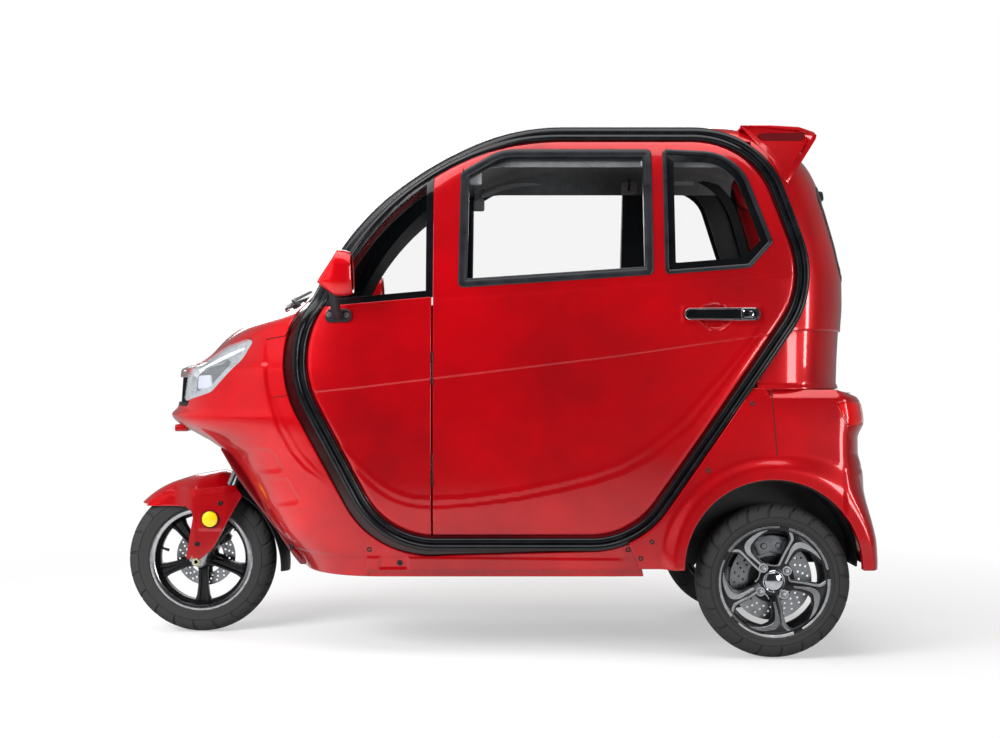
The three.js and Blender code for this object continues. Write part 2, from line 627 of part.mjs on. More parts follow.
// Side outline of the tail lamp: [ahead of the vehicle's rear end, z, corner radius].
const TAIL_LAMP = [[133.5, 762, 8], [19.5, 760, 8], [-15.5, 694, 8], [103.5, 690, 10]];
const TAIL_LAMP_DEPTH = 40;
const TAIL_LAMP_INNER_Y = 240;
const ROOF_FRONT_Z = 1552;
const ROOF_REAR_X = -800;
const REAR_WINDOW = { half: 330, low: 1140, high: 1420, round: 60 };
const SPOILER = [[-800, 1640, 4], [-960, 1596, 40], [-1003, 1574, 8], [-985, 1556, 8], [-905, 1440, 30],
  [-875, 1470, 60], [-850, 1560, 20], [-800, 1570, 4]];

const half = (side) => block([-FAR, Math.min(0, side * FAR), -FAR], [FAR, Math.max(0, side * FAR), FAR]);
const ahead = (x) => block([x, -FAR, -FAR], [FAR, FAR, FAR]);
const behind = (x) => block([-FAR, -FAR, -FAR], [x, FAR, FAR]);
const above = (z) => block([-FAR, -FAR, z], [FAR, FAR, FAR]);
const below = (z) => block([-FAR, -FAR, -FAR], [FAR, FAR, z]);

const bonnetPrism = (growth) => {
  const tip = BONNET.length - 1;
  const left = BONNET.map(([x, y, r], i) => [i === tip ? x + growth : x, i ? y + growth : y, r]);
  const right = left.map(([x, y, r]) => [x, -y, r]).reverse();
  return planPrism([...left, ...right].reverse(), BONNET_LOW - growth, BELT + PANEL);
};
// A side prism with the vehicle's middle left out.
const outerPrism = (outline, innerY, growth) => cut(sidePrism(inset(outline, -growth)),
  block([-FAR, growth - innerY, -FAR], [FAR, innerY - growth, FAR]));
const lampPrism = (growth) => outerPrism(HEADLAMP, LAMP_INNER_Y, growth);
const tailLampPrism = (growth) => outerPrism(
  TAIL_LAMP.map(([x, z, r]) => [x - HALF_LENGTH, z, r]), TAIL_LAMP_INNER_Y, growth);
const grilleBlock = (growth) => block(
  [GRILLE.rear, -GRILLE.half - growth, GRILLE.low - growth],
  [FAR, GRILLE.half + growth, GRILLE.high + growth]);
// All that lies behind the slanted seam at the rear end of the sill.
const behindSill = (shift) => sidePrism([
  [-FAR, -FAR], [SILL_REAR[1][0] + shift, -FAR], [SILL_REAR[1][0] + shift, SILL_REAR[1][1]],
  [SILL_REAR[0][0] + shift, SILL_REAR[0][1]], [SILL_REAR[0][0] + shift, FAR], [-FAR, FAR]]);

const wall = cabinLayer(0, PANEL);

function noseShell() {
  const tunnel = block([TUNNEL.rear - 30, -TUNNEL.half - SEAM, -FAR],
    [FAR, TUNNEL.half + SEAM, TUNNEL.roof]);
  const nose = common(wall, ahead(SILL_FRONT), below(BELT - SEAM));
  return cut(nose, sideZones(SEAM), bonnetPrism(SEAM), lampPrism(SEAM), grilleBlock(SEAM), tunnel);
}

const bonnet = () => cut(common(wall, bonnetPrism(0), below(BELT - SEAM)), sideZones(SEAM),
  lampPrism(SEAM), grilleBlock(SEAM));

function frontGrille() {
  const face = common(cabinLayer(GRILLE.sink, GRILLE.sink + GRILLE.depth), grilleBlock(0));
  const pitch = (GRILLE.high - GRILLE.low) / (GRILLE.bars + 1);
  const slots = Array.from({ length: GRILLE.bars }, (_, i) => block(
    [GRILLE.rear, GRILLE.rim - GRILLE.half, GRILLE.low + pitch * (i + 0.62)],
    [FAR, GRILLE.half - GRILLE.rim, GRILLE.low + pitch * (i + 0.98)]));
  return cut(face, ...slots);
}

const headlamp = (side) => cut(
  common(cabinLayer(0, LAMP_DEPTH), lampPrism(0), half(side)), sideZones(SEAM));

const windscreen = () => cut(
  common(cabinLayer(SEAM, SEAM + GLASS), ahead(-40), above(BELT), below(ROOF_FRONT_Z - SEAM)),
  sideZones(SEAM));

const roofPanel = () => cut(
  common(cabinLayer(0, PANEL), above(ROOF_FRONT_Z), ahead(ROOF_REAR_X)), sideZones(SEAM));

const rearWindowPrism = (growth) => {
  const { half: y, low, high, round } = REAR_WINDOW;
  const outline = [[-y, low, round], [y, low, round], [y, high, round], [-y, high, round]];
  const shape = new THREE.Shape(roundedPoints(inset(outline, -growth)));
  const prism = new THREE.ExtrudeGeometry(shape, { depth: 400, bevelEnabled: false });
  prism.rotateX(Math.PI / 2);
  prism.rotateZ(Math.PI / 2);
  prism.translate(-1300, 0, 0);
  return solidOf(prism);
};

const rearUpperShell = () => cut(
  common(wall, behind(ROOF_REAR_X - SEAM), above(TAIL_TOP + SEAM)),
  sideZones(SEAM), rearWindowPrism(0));

const rearWindow = () => common(cabinLayer(GLASS_SINK, GLASS_SINK + GLASS), rearWindowPrism(-SEAM));

const spoiler = () => cut(sidePrism(SPOILER, -372, 372), cabinForm(-TOUCH), above(1606));

function archLip(side) {
  const y = (value) => side * value;
  const lip = turned([
    [ARCH.radius, y(ARCH_LIP_INNER_Y)], [ARCH.radius, y(ARCH_LIP_Y)],
    [ARCH.radius + ARCH_LIP / 3, y(ARCH_LIP_Y)], [ARCH.radius + ARCH_LIP, y(ARCH_LIP_Y - ARCH_FALL)],
    [ARCH.radius + ARCH_LIP, y(ARCH_LIP_INNER_Y)],
  ], ARCH.x, ARCH.z);
  return common(lip, above(TAIL[0].z));
}

const archBore = (side, radius, fromY) => turned(
  [[0, side * fromY], [radius, side * fromY], [radius, side * FAR], [0, side * FAR]],
  ARCH.x, ARCH.z);

function rearLowerShell() {
  const layer = cut(tailForm(0), tailForm(PANEL));
  const shell = join(common(layer, behind(SILL_REAR[0][0] + 40)), archLip(1), archLip(-1));
  const kept = common(shell, behindSill(0));
  const bores = [1, -1].map((side) => archBore(side, ARCH.radius, LINER.inner));
  return cut(kept, sideZones(SEAM), ...bores, tailLampPrism(SEAM));
}

const tailLamp = (side) => common(
  cut(tailForm(0), tailForm(TAIL_LAMP_DEPTH)), tailLampPrism(0), half(side));

function sill(side) {
  const strip = common(wall, behind(SILL_FRONT - SEAM), ahead(SILL_REAR[1][0]), below(560), half(side));
  return cut(strip, sideZones(SEAM), behindSill(SEAM));
}

const LINER = { inner: 364, web: 8, thick: 7 };

function wheelLiner(side) {
  const outer = ARCH.radius - SEAM;
  const y = (value) => side * value;
  const shellForm = turned([
    [0, y(LINER.inner)], [outer, y(LINER.inner)], [outer, y(FAR)],
    [outer - LINER.thick, y(FAR)], [outer - LINER.thick, y(LINER.inner + LINER.web)],
    [0, y(LINER.inner + LINER.web)],
  ], ARCH.x, ARCH.z);
  const axleSlot = block([REAR_AXLE_X - 90, -FAR, -FAR], [REAR_AXLE_X + 90, FAR, REAR_AXLE_Z + 90]);
  return cut(common(shellForm, above(TAIL[0].z), tailForm(6)), axleSlot, sideZones(SEAM));
}

// ---------------------------------------------------------------- sides and doors
const DOOR_WINDOW = [
  [87, 1102, 15], [-494, 1141, 15], [-494, 1524, 15], [-40, 1524, 150], [80, 1453, 20]];
const QUARTER_WINDOW = [[-530, 1142, 12], [-783, 1162, 20], [-853, 1238, 15], [-756, 1512, 150],
  [-530, 1525, 15]];
const FRONT_WINDOW_SILL = [[187, 1087], [395, 1067]];
const FRONT_WINDOW_POST_X = 187;
const FRONT_WINDOW_RIM = 20; // inside the ring's inner edge

const sideOnly = (side) => block(
  [-FAR, Math.min(side * SIDE_INNER_Y, side * FAR), -FAR],
  [FAR, Math.max(side * SIDE_INNER_Y, side * FAR), FAR]);

const sideFrame = (side) => common(
  cut(cabinLayer(0, FRAME_DEPTH), ringPrism(-RING_WIDTH)), ringPrism(0), sideOnly(side));

const frontWindowPrism = (growth) => {
  const [[x0, z0], [x1, z1]] = FRONT_WINDOW_SILL;
  const slope = (z1 - z0) / (x1 - x0);
  const sillZ = (x) => z0 + slope * (x - x0) - growth;
  const left = FRONT_WINDOW_POST_X - growth;
  return common(
    sidePrism([[left, sillZ(left)], [FAR, sillZ(FAR)], [FAR, FAR], [left, FAR]]),
    ringPrism(growth - RING_WIDTH - FRONT_WINDOW_RIM));
};

function hingeBarrels(side, onDoor) {
  const y = side * HINGE_Y;
  const third = HINGE_LENGTH / 3;
  return HINGE_HEIGHTS.flatMap((z) => {
    const low = z - HINGE_LENGTH / 2;
    const spans = onDoor
      ? [[third + TOUCH, 2 * third - TOUCH]]
      : [[0, third], [2 * third, HINGE_LENGTH]];
    return spans.map(([from, to]) => {
      const reach = (onDoor ? -1 : 1) * (HINGE_HALF_GAP + 6);
      const leaf = block([Math.min(0, reach) + HINGE_X, y - 3 - side * 2, low + from],
        [Math.max(0, reach) + HINGE_X, y + 3 - side * 2, low + to]);
      return join(rod([HINGE_X, y, low + from], [HINGE_X, y, low + to], HINGE_RADIUS, 8), leaf);
    });
  });
}
const hingePins = (side) => HINGE_HEIGHTS.map((z) => rod(
  [HINGE_X, side * HINGE_Y, z - HINGE_LENGTH / 2 + 4], [HINGE_X, side * HINGE_Y, z + HINGE_LENGTH / 2 - 4],
  HINGE_PIN, 8));
const hingeSleeves = (side) => HINGE_HEIGHTS.map((z) => rod(
  [HINGE_X, side * HINGE_Y, z - HINGE_LENGTH], [HINGE_X, side * HINGE_Y, z + HINGE_LENGTH],
  HINGE_PIN + TOUCH, 8));
const hingePocket = (side) => HINGE_HEIGHTS.map((z) => rod(
  [HINGE_X, side * HINGE_Y, z - HINGE_LENGTH / 2 - 6], [HINGE_X, side * HINGE_Y, z + HINGE_LENGTH / 2 + 6],
  HINGE_RADIUS + 6, 8));

function frontPanel(side) {
  const panel = cut(
    common(cabinLayer(0, DOOR_DEPTH), ringPrism(-RING_WIDTH - SEAM), ahead(HINGE_X + HINGE_HALF_GAP),
      sideOnly(side)),
    frontWindowPrism(0), ...hingePocket(side));
  return join(panel, ...hingeBarrels(side, false), ...hingePins(side));
}

const frontQuarterGlass = (side) => common(
  cabinLayer(GLASS_SINK, GLASS_SINK + GLASS), frontWindowPrism(-SEAM), sideOnly(side));

function door(side) {
  const panel = cut(
    common(cabinLayer(0, DOOR_DEPTH), ringPrism(-RING_WIDTH - DOOR_GAP),
      behind(HINGE_X - HINGE_HALF_GAP), sideOnly(side)),
    sidePrism(DOOR_WINDOW), sidePrism(QUARTER_WINDOW), ...hingePocket(side));
  return cut(join(panel, ...hingeBarrels(side, true)), ...hingeSleeves(side));
}

const doorGlass = (side, window) => common(
  cabinLayer(GLASS_SINK, GLASS_SINK + GLASS), sidePrism(inset(window, SEAM)), sideOnly(side));

const HANDLE = [[-582, 998, 18], [-812, 998, 18], [-812, 1040, 18], [-582, 1040, 18]];
const HANDLE_PROUD = 10;
const doorHandle = (side) => common(
  cut(cabinForm(-HANDLE_PROUD), cabinForm(-TOUCH)), sidePrism(HANDLE), sideOnly(side));

const MIRROR = { x: 432, y: 592, z: 1138, size: [66, 54, 67], cutBehind: 40 };
// The mirror's neck, as [x, y, z] from the middle of its head.
const MIRROR_NECK = [[8, -100, -126], [14, -70, -108], [16, -32, -60], [14, -6, -28]];
const MIRROR_NECK_RADIUS = 15;
const MIRROR_FOOT_PROUD = 14;
const MIRROR_FOOT = [[404, 998, 12], [486, 996, 10], [471, 1036, 10], [404, 1036, 12]];

function mirror(side) {
  const head = new THREE.SphereGeometry(1, 10, 8);
  head.scale(...MIRROR.size);
  head.translate(MIRROR.x, side * MIRROR.y, MIRROR.z);
  const back = behind(MIRROR.x - MIRROR.cutBehind);
  const plate = cut(cabinForm(-MIRROR_FOOT_PROUD), cabinForm(-TOUCH));
  const foot = common(plate, sidePrism(MIRROR_FOOT), sideOnly(side));
  const bends = MIRROR_NECK.map(([x, y, z]) => [MIRROR.x + x, side * (MIRROR.y + y), MIRROR.z + z]);
  const neck = bentTube(bends, MIRROR_NECK_RADIUS, 8, 8);
  return join(cut(solidOf(head), back), foot, cut(neck, cabinForm(-TOUCH), back));
}

// ---------------------------------------------------------------- cabin interior
const FLOOR = { front: 606, rear: -640, low: RAIL_HIGH + TOUCH };
const FLOOR_TOP = FLOOR.low + FLOOR_THICK;
const inside = (depth) => cabinForm(depth + SEAM);

function floorTray() {
  const plate = block([FLOOR.rear, -FAR, FLOOR.low], [FLOOR.front, FAR, FLOOR_TOP]);
  const gap = DOWN_TUBE.radius + 6;
  const tubes = [-1, 1].map((side) => block(
    [CHASSIS.front - 2 * CHASSIS.tube, side * DOWN_TUBE.y - gap, 0], [FAR, side * DOWN_TUBE.y + gap, FAR]));
  const arches = [-1, 1].map((side) => archBore(side, ARCH.radius + ARCH_LIP + SEAM, LINER.inner - TOUCH));
  return cut(common(plate, inside(PANEL)), ...tubes, ...arches);
}

// Black inner arch over the front wheel, with a notch for the steering head.
function frontLiner() {
  const { half: y, wall: thick, rear, roof, low, setBack, notch: gap } = TUNNEL;
  const front = SKIN.filter(({ z }) => z > low && z < roof).map((level) => [level.front - setBack, level.z]);
  const solid = sidePrism([
    [rear, low], [rear + thick, low], ...front, [front.at(-1)[0], roof], [rear, roof],
  ], -y, y);
  const hollow = block([rear + thick, thick - y, -FAR], [FAR, y - thick, roof - thick]);
  const notch = block([rear + gap, -gap, roof - gap], [FAR, gap, FAR]);
  return cut(solid, hollow, notch);
}

const DASH = { rear: 686, low: 850, high: 1012, front: 880, half: 400, brow: [730, 1060], frontHigh: 960 };
const dashboard = () => {
  const { rear, low, high, front, half: y, brow, frontHigh } = DASH;
  const body = sidePrism([
    [rear, low, 20], [rear, high, 30], [...brow, 10], [front, frontHigh], [front, low]], -y, y);
  return cut(common(body, inside(PANEL)), lampPrism(SEAM));
};

const REAR_SEAT = { front: -310, rear: -800, half: 340, high: 680, back: 1075 };
const DRIVER_SEAT = { front: 190, rear: -262, half: 225, high: 595, back: 1050 };
const BATTERY = { front: -340, rear: -610, half: 190, high: 490 };
const BENCH = { front: REAR_SEAT.front + 10, rear: -635, half: REAR_SEAT.half + 5, high: 560, wall: 18 };
const PEDESTAL = {
  front: DRIVER_SEAT.front - 60,
  rear: DRIVER_SEAT.rear + 12,
  half: DRIVER_SEAT.half - 35,
  high: 480,
  wall: 15,
};

const batteryPack = () => block(
  [BATTERY.rear, -BATTERY.half, FLOOR_TOP + TOUCH], [BATTERY.front, BATTERY.half, BATTERY.high]);

function openBox({ front, rear, half: y, high, wall: thick }) {
  const outer = planPrism([[rear, -y, 25], [front, -y, 25], [front, y, 25], [rear, y, 25]],
    FLOOR_TOP + TOUCH, high);
  const hollow = block([rear + thick, thick - y, -FAR], [front - thick, y - thick, high - thick]);
  return cut(outer, hollow);
}

const SEAT_BACK = 130; // thickness of a backrest
const SEAT_FALL = 20; // how much a cushion falls towards its rear
const SEAT_LEAN = 90; // how far a backrest leans back

function seat({ front, rear, half: y, high, back }, base) {
  return sidePrism([
    [front, base, 30], [front, high, 45], [rear + SEAT_BACK, high - SEAT_FALL, 30],
    [rear + SEAT_BACK - SEAT_FALL - SEAT_LEAN, back, 40], [rear - SEAT_LEAN, back, 40],
    [rear, base, 20]], -y, y);
}

// The bench's base, kept clear of the wheel liners.
const benchBase = () => cut(openBox(BENCH), ...[1, -1].map(
  (side) => archBore(side, ARCH.radius + SEAM, LINER.inner - TOUCH)));

const rearSeat = () => seat(REAR_SEAT, BENCH.high + TOUCH);
const driverSeat = () => seat(DRIVER_SEAT, PEDESTAL.high + TOUCH);

// ---------------------------------------------------------------- the whole vehicle
function paint(color, roughness, metalness = 0) {
  return new THREE.MeshStandardMaterial({ color, roughness, metalness });
}

const PAINT = {
  red: paint(0xbe000c, 0.2),
  black: paint(0x16171a, 0.5),
  rubber: paint(0x1b1b1d, 0.85),
  silver: paint(0xb9bdc2, 0.3, 0.9),
  steel: paint(0x3a3c40, 0.5, 0.6),
  glass: paint(0x8fa0a8, 0.05),
  lamp: paint(0xe8ecef, 0.1),
  redLamp: paint(0xa80f16, 0.15),
  trim: paint(0x4b4e54, 0.7),
  seat: paint(0x2b2b2e, 0.75),
};

const vehicle = new THREE.Group();

function add(name, solid, material, group = vehicle) {
  const mesh = new THREE.Mesh(geometryOf(solid), material);
  mesh.name = name;
  group.add(mesh);
}

function groupIn(parent = vehicle) {
  const group = new THREE.Group();
  parent.add(group);
  return group;
}

add('chassis_frame', chassisFrame(), PAINT.steel);
add('rear_axle', rearAxle(), PAINT.steel);
add('drive_motor', driveMotor(), PAINT.silver);
add('floor_tray', floorTray(), PAINT.trim);
add('front_liner', frontLiner(), PAINT.black);
add('nose_shell', noseShell(), PAINT.red);
add('bonnet', bonnet(), PAINT.red);
add('front_grille', frontGrille(), PAINT.black);
add('windscreen', windscreen(), PAINT.glass);
add('roof_panel', roofPanel(), PAINT.red);
add('rear_upper_shell', rearUpperShell(), PAINT.red);
add('rear_window', rearWindow(), PAINT.glass);
add('spoiler', spoiler(), PAINT.red);
add('rear_lower_shell', rearLowerShell(), PAINT.red);
add('dashboard', dashboard(), PAINT.trim);
add('battery_pack', batteryPack(), PAINT.black);
add('rear_bench_base', benchBase(), PAINT.trim);
add('driver_seat_base', openBox(PEDESTAL), PAINT.trim);
add('rear_seat', rearSeat(), PAINT.seat);
add('driver_seat', driverSeat(), PAINT.seat);

const SIDES = [['left', 1], ['right', -1]];
for (const [name, side] of SIDES) {
  add(`side_frame_${name}`, sideFrame(side), PAINT.rubber);
  add(`front_panel_${name}`, frontPanel(side), PAINT.red);
  add(`front_quarter_glass_${name}`, frontQuarterGlass(side), PAINT.glass);
  add(`sill_${name}`, sill(side), PAINT.red);
  add(`headlamp_${name}`, headlamp(side), PAINT.lamp);
  add(`tail_lamp_${name}`, tailLamp(side), PAINT.redLamp);
  add(`wheel_liner_${name}`, wheelLiner(side), PAINT.black);
  add(`mirror_${name}`, mirror(side), PAINT.black);

  const doorGroup = groupIn();
  add(`door_${name}`, door(side), PAINT.red, doorGroup);
  add(`door_glass_${name}`, doorGlass(side, DOOR_WINDOW), PAINT.glass, doorGroup);
  add(`door_quarter_glass_${name}`, doorGlass(side, QUARTER_WINDOW), PAINT.glass, doorGroup);
  add(`door_handle_${name}`, doorHandle(side), PAINT.silver, doorGroup);

  const wheel = groupIn();
  add(`rear_rim_${name}`, rearRim(side), PAINT.silver, wheel);
  add(`rear_tyre_${name}`, tyreSolid(REAR_TYRE, REAR_AXLE_X, side * REAR_WHEEL_Y, REAR_AXLE_Z),
    PAINT.rubber, wheel);
}

const steering = groupIn();
add('fork', fork(), PAINT.silver, steering);
add('front_mudguard', mudguard(), PAINT.red, steering);
add('handlebar', handlebar(), PAINT.steel, steering);
for (const [name, side] of SIDES) add(`fork_shroud_${name}`, shroud(side), PAINT.red, steering);

const frontWheel = groupIn(steering);
add('front_rim', frontRim(), PAINT.silver, frontWheel);
add('front_tyre', tyreSolid(FRONT_TYRE, FRONT_AXLE_X, 0, FRONT_AXLE_Z), PAINT.rubber, frontWheel);

export default vehicle;
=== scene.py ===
"""Dressed model of an enclosed electric cabin scooter on three wheels.

Tables of sizes are in millimetres, meshes in metres. +X is forward, +Y the rider's left and
+Z up, with the origin on the ground at the middle of the vehicle.
"""

import json
import logging
import math
from dataclasses import dataclass, field
from enum import Enum
from typing import Any, Callable, Iterable, Sequence

import bmesh
import bpy
import numpy as np
from mathutils import Matrix, Vector

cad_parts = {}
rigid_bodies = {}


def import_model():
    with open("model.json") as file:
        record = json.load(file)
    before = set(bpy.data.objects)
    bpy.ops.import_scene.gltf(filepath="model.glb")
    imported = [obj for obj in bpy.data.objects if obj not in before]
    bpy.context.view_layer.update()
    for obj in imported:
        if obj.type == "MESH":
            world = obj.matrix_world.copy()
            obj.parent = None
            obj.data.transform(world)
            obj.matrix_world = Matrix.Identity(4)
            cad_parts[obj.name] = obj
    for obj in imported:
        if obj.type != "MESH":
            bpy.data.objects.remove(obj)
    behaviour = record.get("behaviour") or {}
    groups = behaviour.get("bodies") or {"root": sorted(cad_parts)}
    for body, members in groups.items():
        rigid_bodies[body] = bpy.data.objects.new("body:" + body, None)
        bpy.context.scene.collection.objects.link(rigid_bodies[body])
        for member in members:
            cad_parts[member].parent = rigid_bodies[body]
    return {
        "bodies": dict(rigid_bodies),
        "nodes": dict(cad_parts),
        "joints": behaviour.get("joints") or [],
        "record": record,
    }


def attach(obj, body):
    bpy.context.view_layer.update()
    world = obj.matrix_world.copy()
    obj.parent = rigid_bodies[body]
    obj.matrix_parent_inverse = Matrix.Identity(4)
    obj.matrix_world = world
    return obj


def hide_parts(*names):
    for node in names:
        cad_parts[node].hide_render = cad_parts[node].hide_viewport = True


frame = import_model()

LOG = logging.getLogger("cabin_scooter")
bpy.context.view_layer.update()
MM = 0.001
# Limits of a box of planes that is open on all three axes.
OPEN = (None, None, None)
# Points nearer the middle line than this, in metres, are joined to the other half.
MIDDLE = 0.002
# Points this near the middle line, in metres, are laid on it.
ON_MIDDLE = 2e-4
Plane = tuple[Vector, Vector]
Point2 = tuple[float, float]


class Side(Enum):
    """The two sides of the vehicle, as the sign of Y."""

    LEFT = 1
    RIGHT = -1

    @property
    def word(self) -> str:
        """The side's name as the CAD nodes spell it."""
        return self.name.lower()


# ------------------------------------------------------------------------------- outlines
@dataclass(frozen=True)
class Outline:
    """A convex outline with rounded corners: (first axis, second axis, corner radius), in mm."""

    corners: tuple[tuple[float, float, float], ...]

    def _reaches(self) -> list[tuple[float, float]]:
        """How far each corner's arc runs along its edges, cut back where arcs would meet.

        Returns:
            For each corner, its reach in mm and half of its inner angle in radians.
        """
        points = [Vector(c[:2]) for c in self.corners]
        count = len(points)
        room = [0.998 * (points[(i + 1) % count] - p).length for i, p in enumerate(points)]
        halves, wanted = [], []
        for i, point in enumerate(points):
            before = (points[i - 1] - point).normalized()
            after = (points[(i + 1) % count] - point).normalized()
            halves.append(math.acos(max(-1.0, min(1.0, before.dot(after)))) / 2)
            wanted.append(self.corners[i][2] / math.tan(halves[i]))
        reaches = []
        for i in range(count):
            behind, ahead = (i - 1) % count, (i + 1) % count
            shares = [
                min(1.0, room[edge] / ((wanted[i] + wanted[other]) or 1.0))
                for edge, other in ((behind, behind), (i, ahead))
            ]
            reaches.append((wanted[i] * min(shares), halves[i]))
        return reaches

    def moved(self, distance: float) -> "Outline":
        """The outline moved inwards by a distance in mm, or outwards by a negative one.

        Args:
            distance: How far each edge moves.

        Returns:
            The new outline.
        """
        points = [Vector(c[:2]) for c in self.corners]
        middle = sum(points, Vector((0, 0))) / len(points)
        edges = []
        for i, point in enumerate(points):
            along = points[(i + 1) % len(points)] - point
            normal = Vector((along.y, -along.x)).normalized()
            if normal.dot(middle - point) < 0:
                normal.negate()
            edges.append((normal, normal.dot(point) + distance))
        corners = []
        for i, (_, _, radius) in enumerate(self.corners):
            (a, oa), (b, ob) = edges[i - 1], edges[i]
            det = a.x * b.y - a.y * b.x
            x = (oa * b.y - ob * a.y) / det
            y = (a.x * ob - b.x * oa) / det
            corners.append((x, y, max(radius - distance, 4.0) if radius else 0.0))
        return Outline(tuple(corners))

    def loop(self, shift: float = 0.0, facet: float = 5.0, run: float = 1e9) -> list[Point2]:
        """Points round the outline, with the same count for every shift.

        Args:
            shift: How far the outline is moved inwards first, in mm.
            facet: Degrees of arc between the points of a corner.
            run: Most mm between the points of a straight edge.

        Returns:
            The points, in mm.
        """
        base, other = self._reaches(), self.moved(shift) if shift else self
        reaches = other._reaches()
        count = len(self.corners)
        points: list[Point2] = []
        for i in range(count):
            here = Vector(other.corners[i][:2])
            before = (Vector(other.corners[i - 1][:2]) - here).normalized()
            after = (Vector(other.corners[(i + 1) % count][:2]) - here).normalized()
            reach, half = reaches[i]
            if self.corners[i][2]:
                centre = here + (before + after).normalized() * (reach / math.cos(half))
                start, end = here + before * reach - centre, here + after * reach - centre
                turn = math.atan2(start.x * end.y - start.y * end.x, start.dot(end))
                steps = max(2, math.ceil(math.degrees(math.pi - 2 * base[i][1]) / facet))
                for k in range(steps + 1):
                    a = turn * k / steps
                    points.append((
                        centre.x + start.x * math.cos(a) - start.y * math.sin(a),
                        centre.y + start.x * math.sin(a) + start.y * math.cos(a)))
            else:
                points.append((here.x, here.y))
            ahead = (i + 1) % count
            own = Vector(self.corners[i][:2]) - Vector(self.corners[ahead][:2])
            clear = own.length - base[i][0] - base[ahead][0]
            pieces = max(1, math.ceil(clear / run))
            start = here + after * reach
            stop = Vector(other.corners[ahead][:2]) - after * reaches[ahead][0]
            points += [tuple(start.lerp(stop, k / pieces)) for k in range(1, pieces)]
        return points

    def planes(self, facet: float = 5.0, axes: tuple[int, int] = (0, 2)) -> list[Plane]:
        """The cutting planes along the outline, with their normals outwards.

        Args:
            facet: Degrees of arc to a plane in the corners.
            axes: The two axes that the outline lies along.

        Returns:
            A point in metres and a normal for each plane.
        """
        points = [Vector(p) * MM for p in self.loop(facet=facet)]
        middle = sum(points, Vector((0, 0))) / len(points)
        planes = []
        for i, point in enumerate(points):
            along = points[(i + 1) % len(points)] - point
            if along.length < 1e-6:
                continue
            flat = Vector((along.y, -along.x)).normalized()
            if flat.dot(middle - point) > 0:
                flat.negate()
            place, normal = Vector((0, 0, 0)), Vector((0, 0, 0))
            for axis, value, part in zip(axes, point, flat):
                place[axis], normal[axis] = value, part
            planes.append((place, normal))
        return planes


def box_planes(low: Sequence[float | None], high: Sequence[float | None]) -> list[Plane]:
    """The planes of a block in mm, with None where a side is open.

    Args:
        low: Lowest corner.
        high: Highest corner.

    Returns:
        The planes, with their normals outwards.
    """
    planes = []
    for values, sign in ((low, -1), (high, 1)):
        for axis, value in enumerate(values):
            if value is not None:
                place, normal = Vector((0, 0, 0)), Vector((0, 0, 0))
                place[axis], normal[axis] = value * MM, sign
                planes.append((place, normal))
    return planes


class Profile:
    """A smooth curve through sizes given at rising heights, which never overshoots them."""

    def __init__(self, places: Sequence[float], values: Sequence[float]) -> None:
        """Works out the slopes.

        Args:
            places: Rising places along the curve.
            values: The size at each place.
        """
        self.places, self.values = list(places), list(values)
        steps = [b - a for a, b in zip(places, places[1:])]
        rates = [(b - a) / h for a, b, h in zip(values, values[1:], steps)]
        slopes = [rates[0]]
        for i in range(1, len(rates)):
            a, b = rates[i - 1], rates[i]
            slopes.append(0.0 if a * b <= 0 else 2 * a * b / (a + b))
        self.slopes = slopes + [rates[-1]]

    def at(self, place: float) -> float:
        """The size at a place; past the ends it stays as at the end.

        Args:
            place: Place along the curve.

        Returns:
            The size.
        """
        places = self.places
        if place <= places[0]:
            return self.values[0]
        if place >= places[-1]:
            return self.values[-1]
        low, high = 0, len(places) - 1
        while high - low > 1:
            middle = (low + high) // 2
            low, high = (middle, high) if places[middle] <= place else (low, middle)
        step = places[high] - places[low]
        t = (place - places[low]) / step
        a, b = self.values[low], self.values[high]
        p, q = self.slopes[low] * step, self.slopes[high] * step
        return ((2 * t - 3) * t * t + 1) * a + ((t - 2) * t + 1) * t * p \
            + (3 - 2 * t) * t * t * b + (t - 1) * t * t * q


def smooth(value: float) -> float:
    """A step from 0 to 1 that starts and ends softly."""
    value = min(1.0, max(0.0, value))
    return value * value * (3 - 2 * value)


def polyline_distance(line: Sequence[Point2], x: float, z: float) -> tuple[float, float]:
    """Distance from a point to a line of points.

    Args:
        line: Points of the line.
        x: First coordinate of the point.
        z: Second coordinate of the point.

    Returns:
        The distance, positive to the left of the line, and the share of the way along it.
    """
    best, share = 1e9, 0.0
    for i, ((x0, z0), (x1, z1)) in enumerate(zip(line, line[1:])):
        dx, dz = x1 - x0, z1 - z0
        t = min(1.0, max(0.0, ((x - x0) * dx + (z - z0) * dz) / (dx * dx + dz * dz)))
        ox, oz = x - x0 - t * dx, z - z0 - t * dz
        gap = math.hypot(ox, oz)
        if gap < abs(best):
            best = gap if dx * oz - dz * ox >= 0 else -gap
            share = (i + t) / (len(line) - 1)
    return best, share


# ------------------------------------------------------------------------------ the forms
@dataclass(frozen=True)
class Level:
    """One height of a body: its two ends, half width and where its sides start to curve in."""

    z: float
    front: float
    rear: float
    half: float
    bow_front: float
    bow_rear: float
    power: float


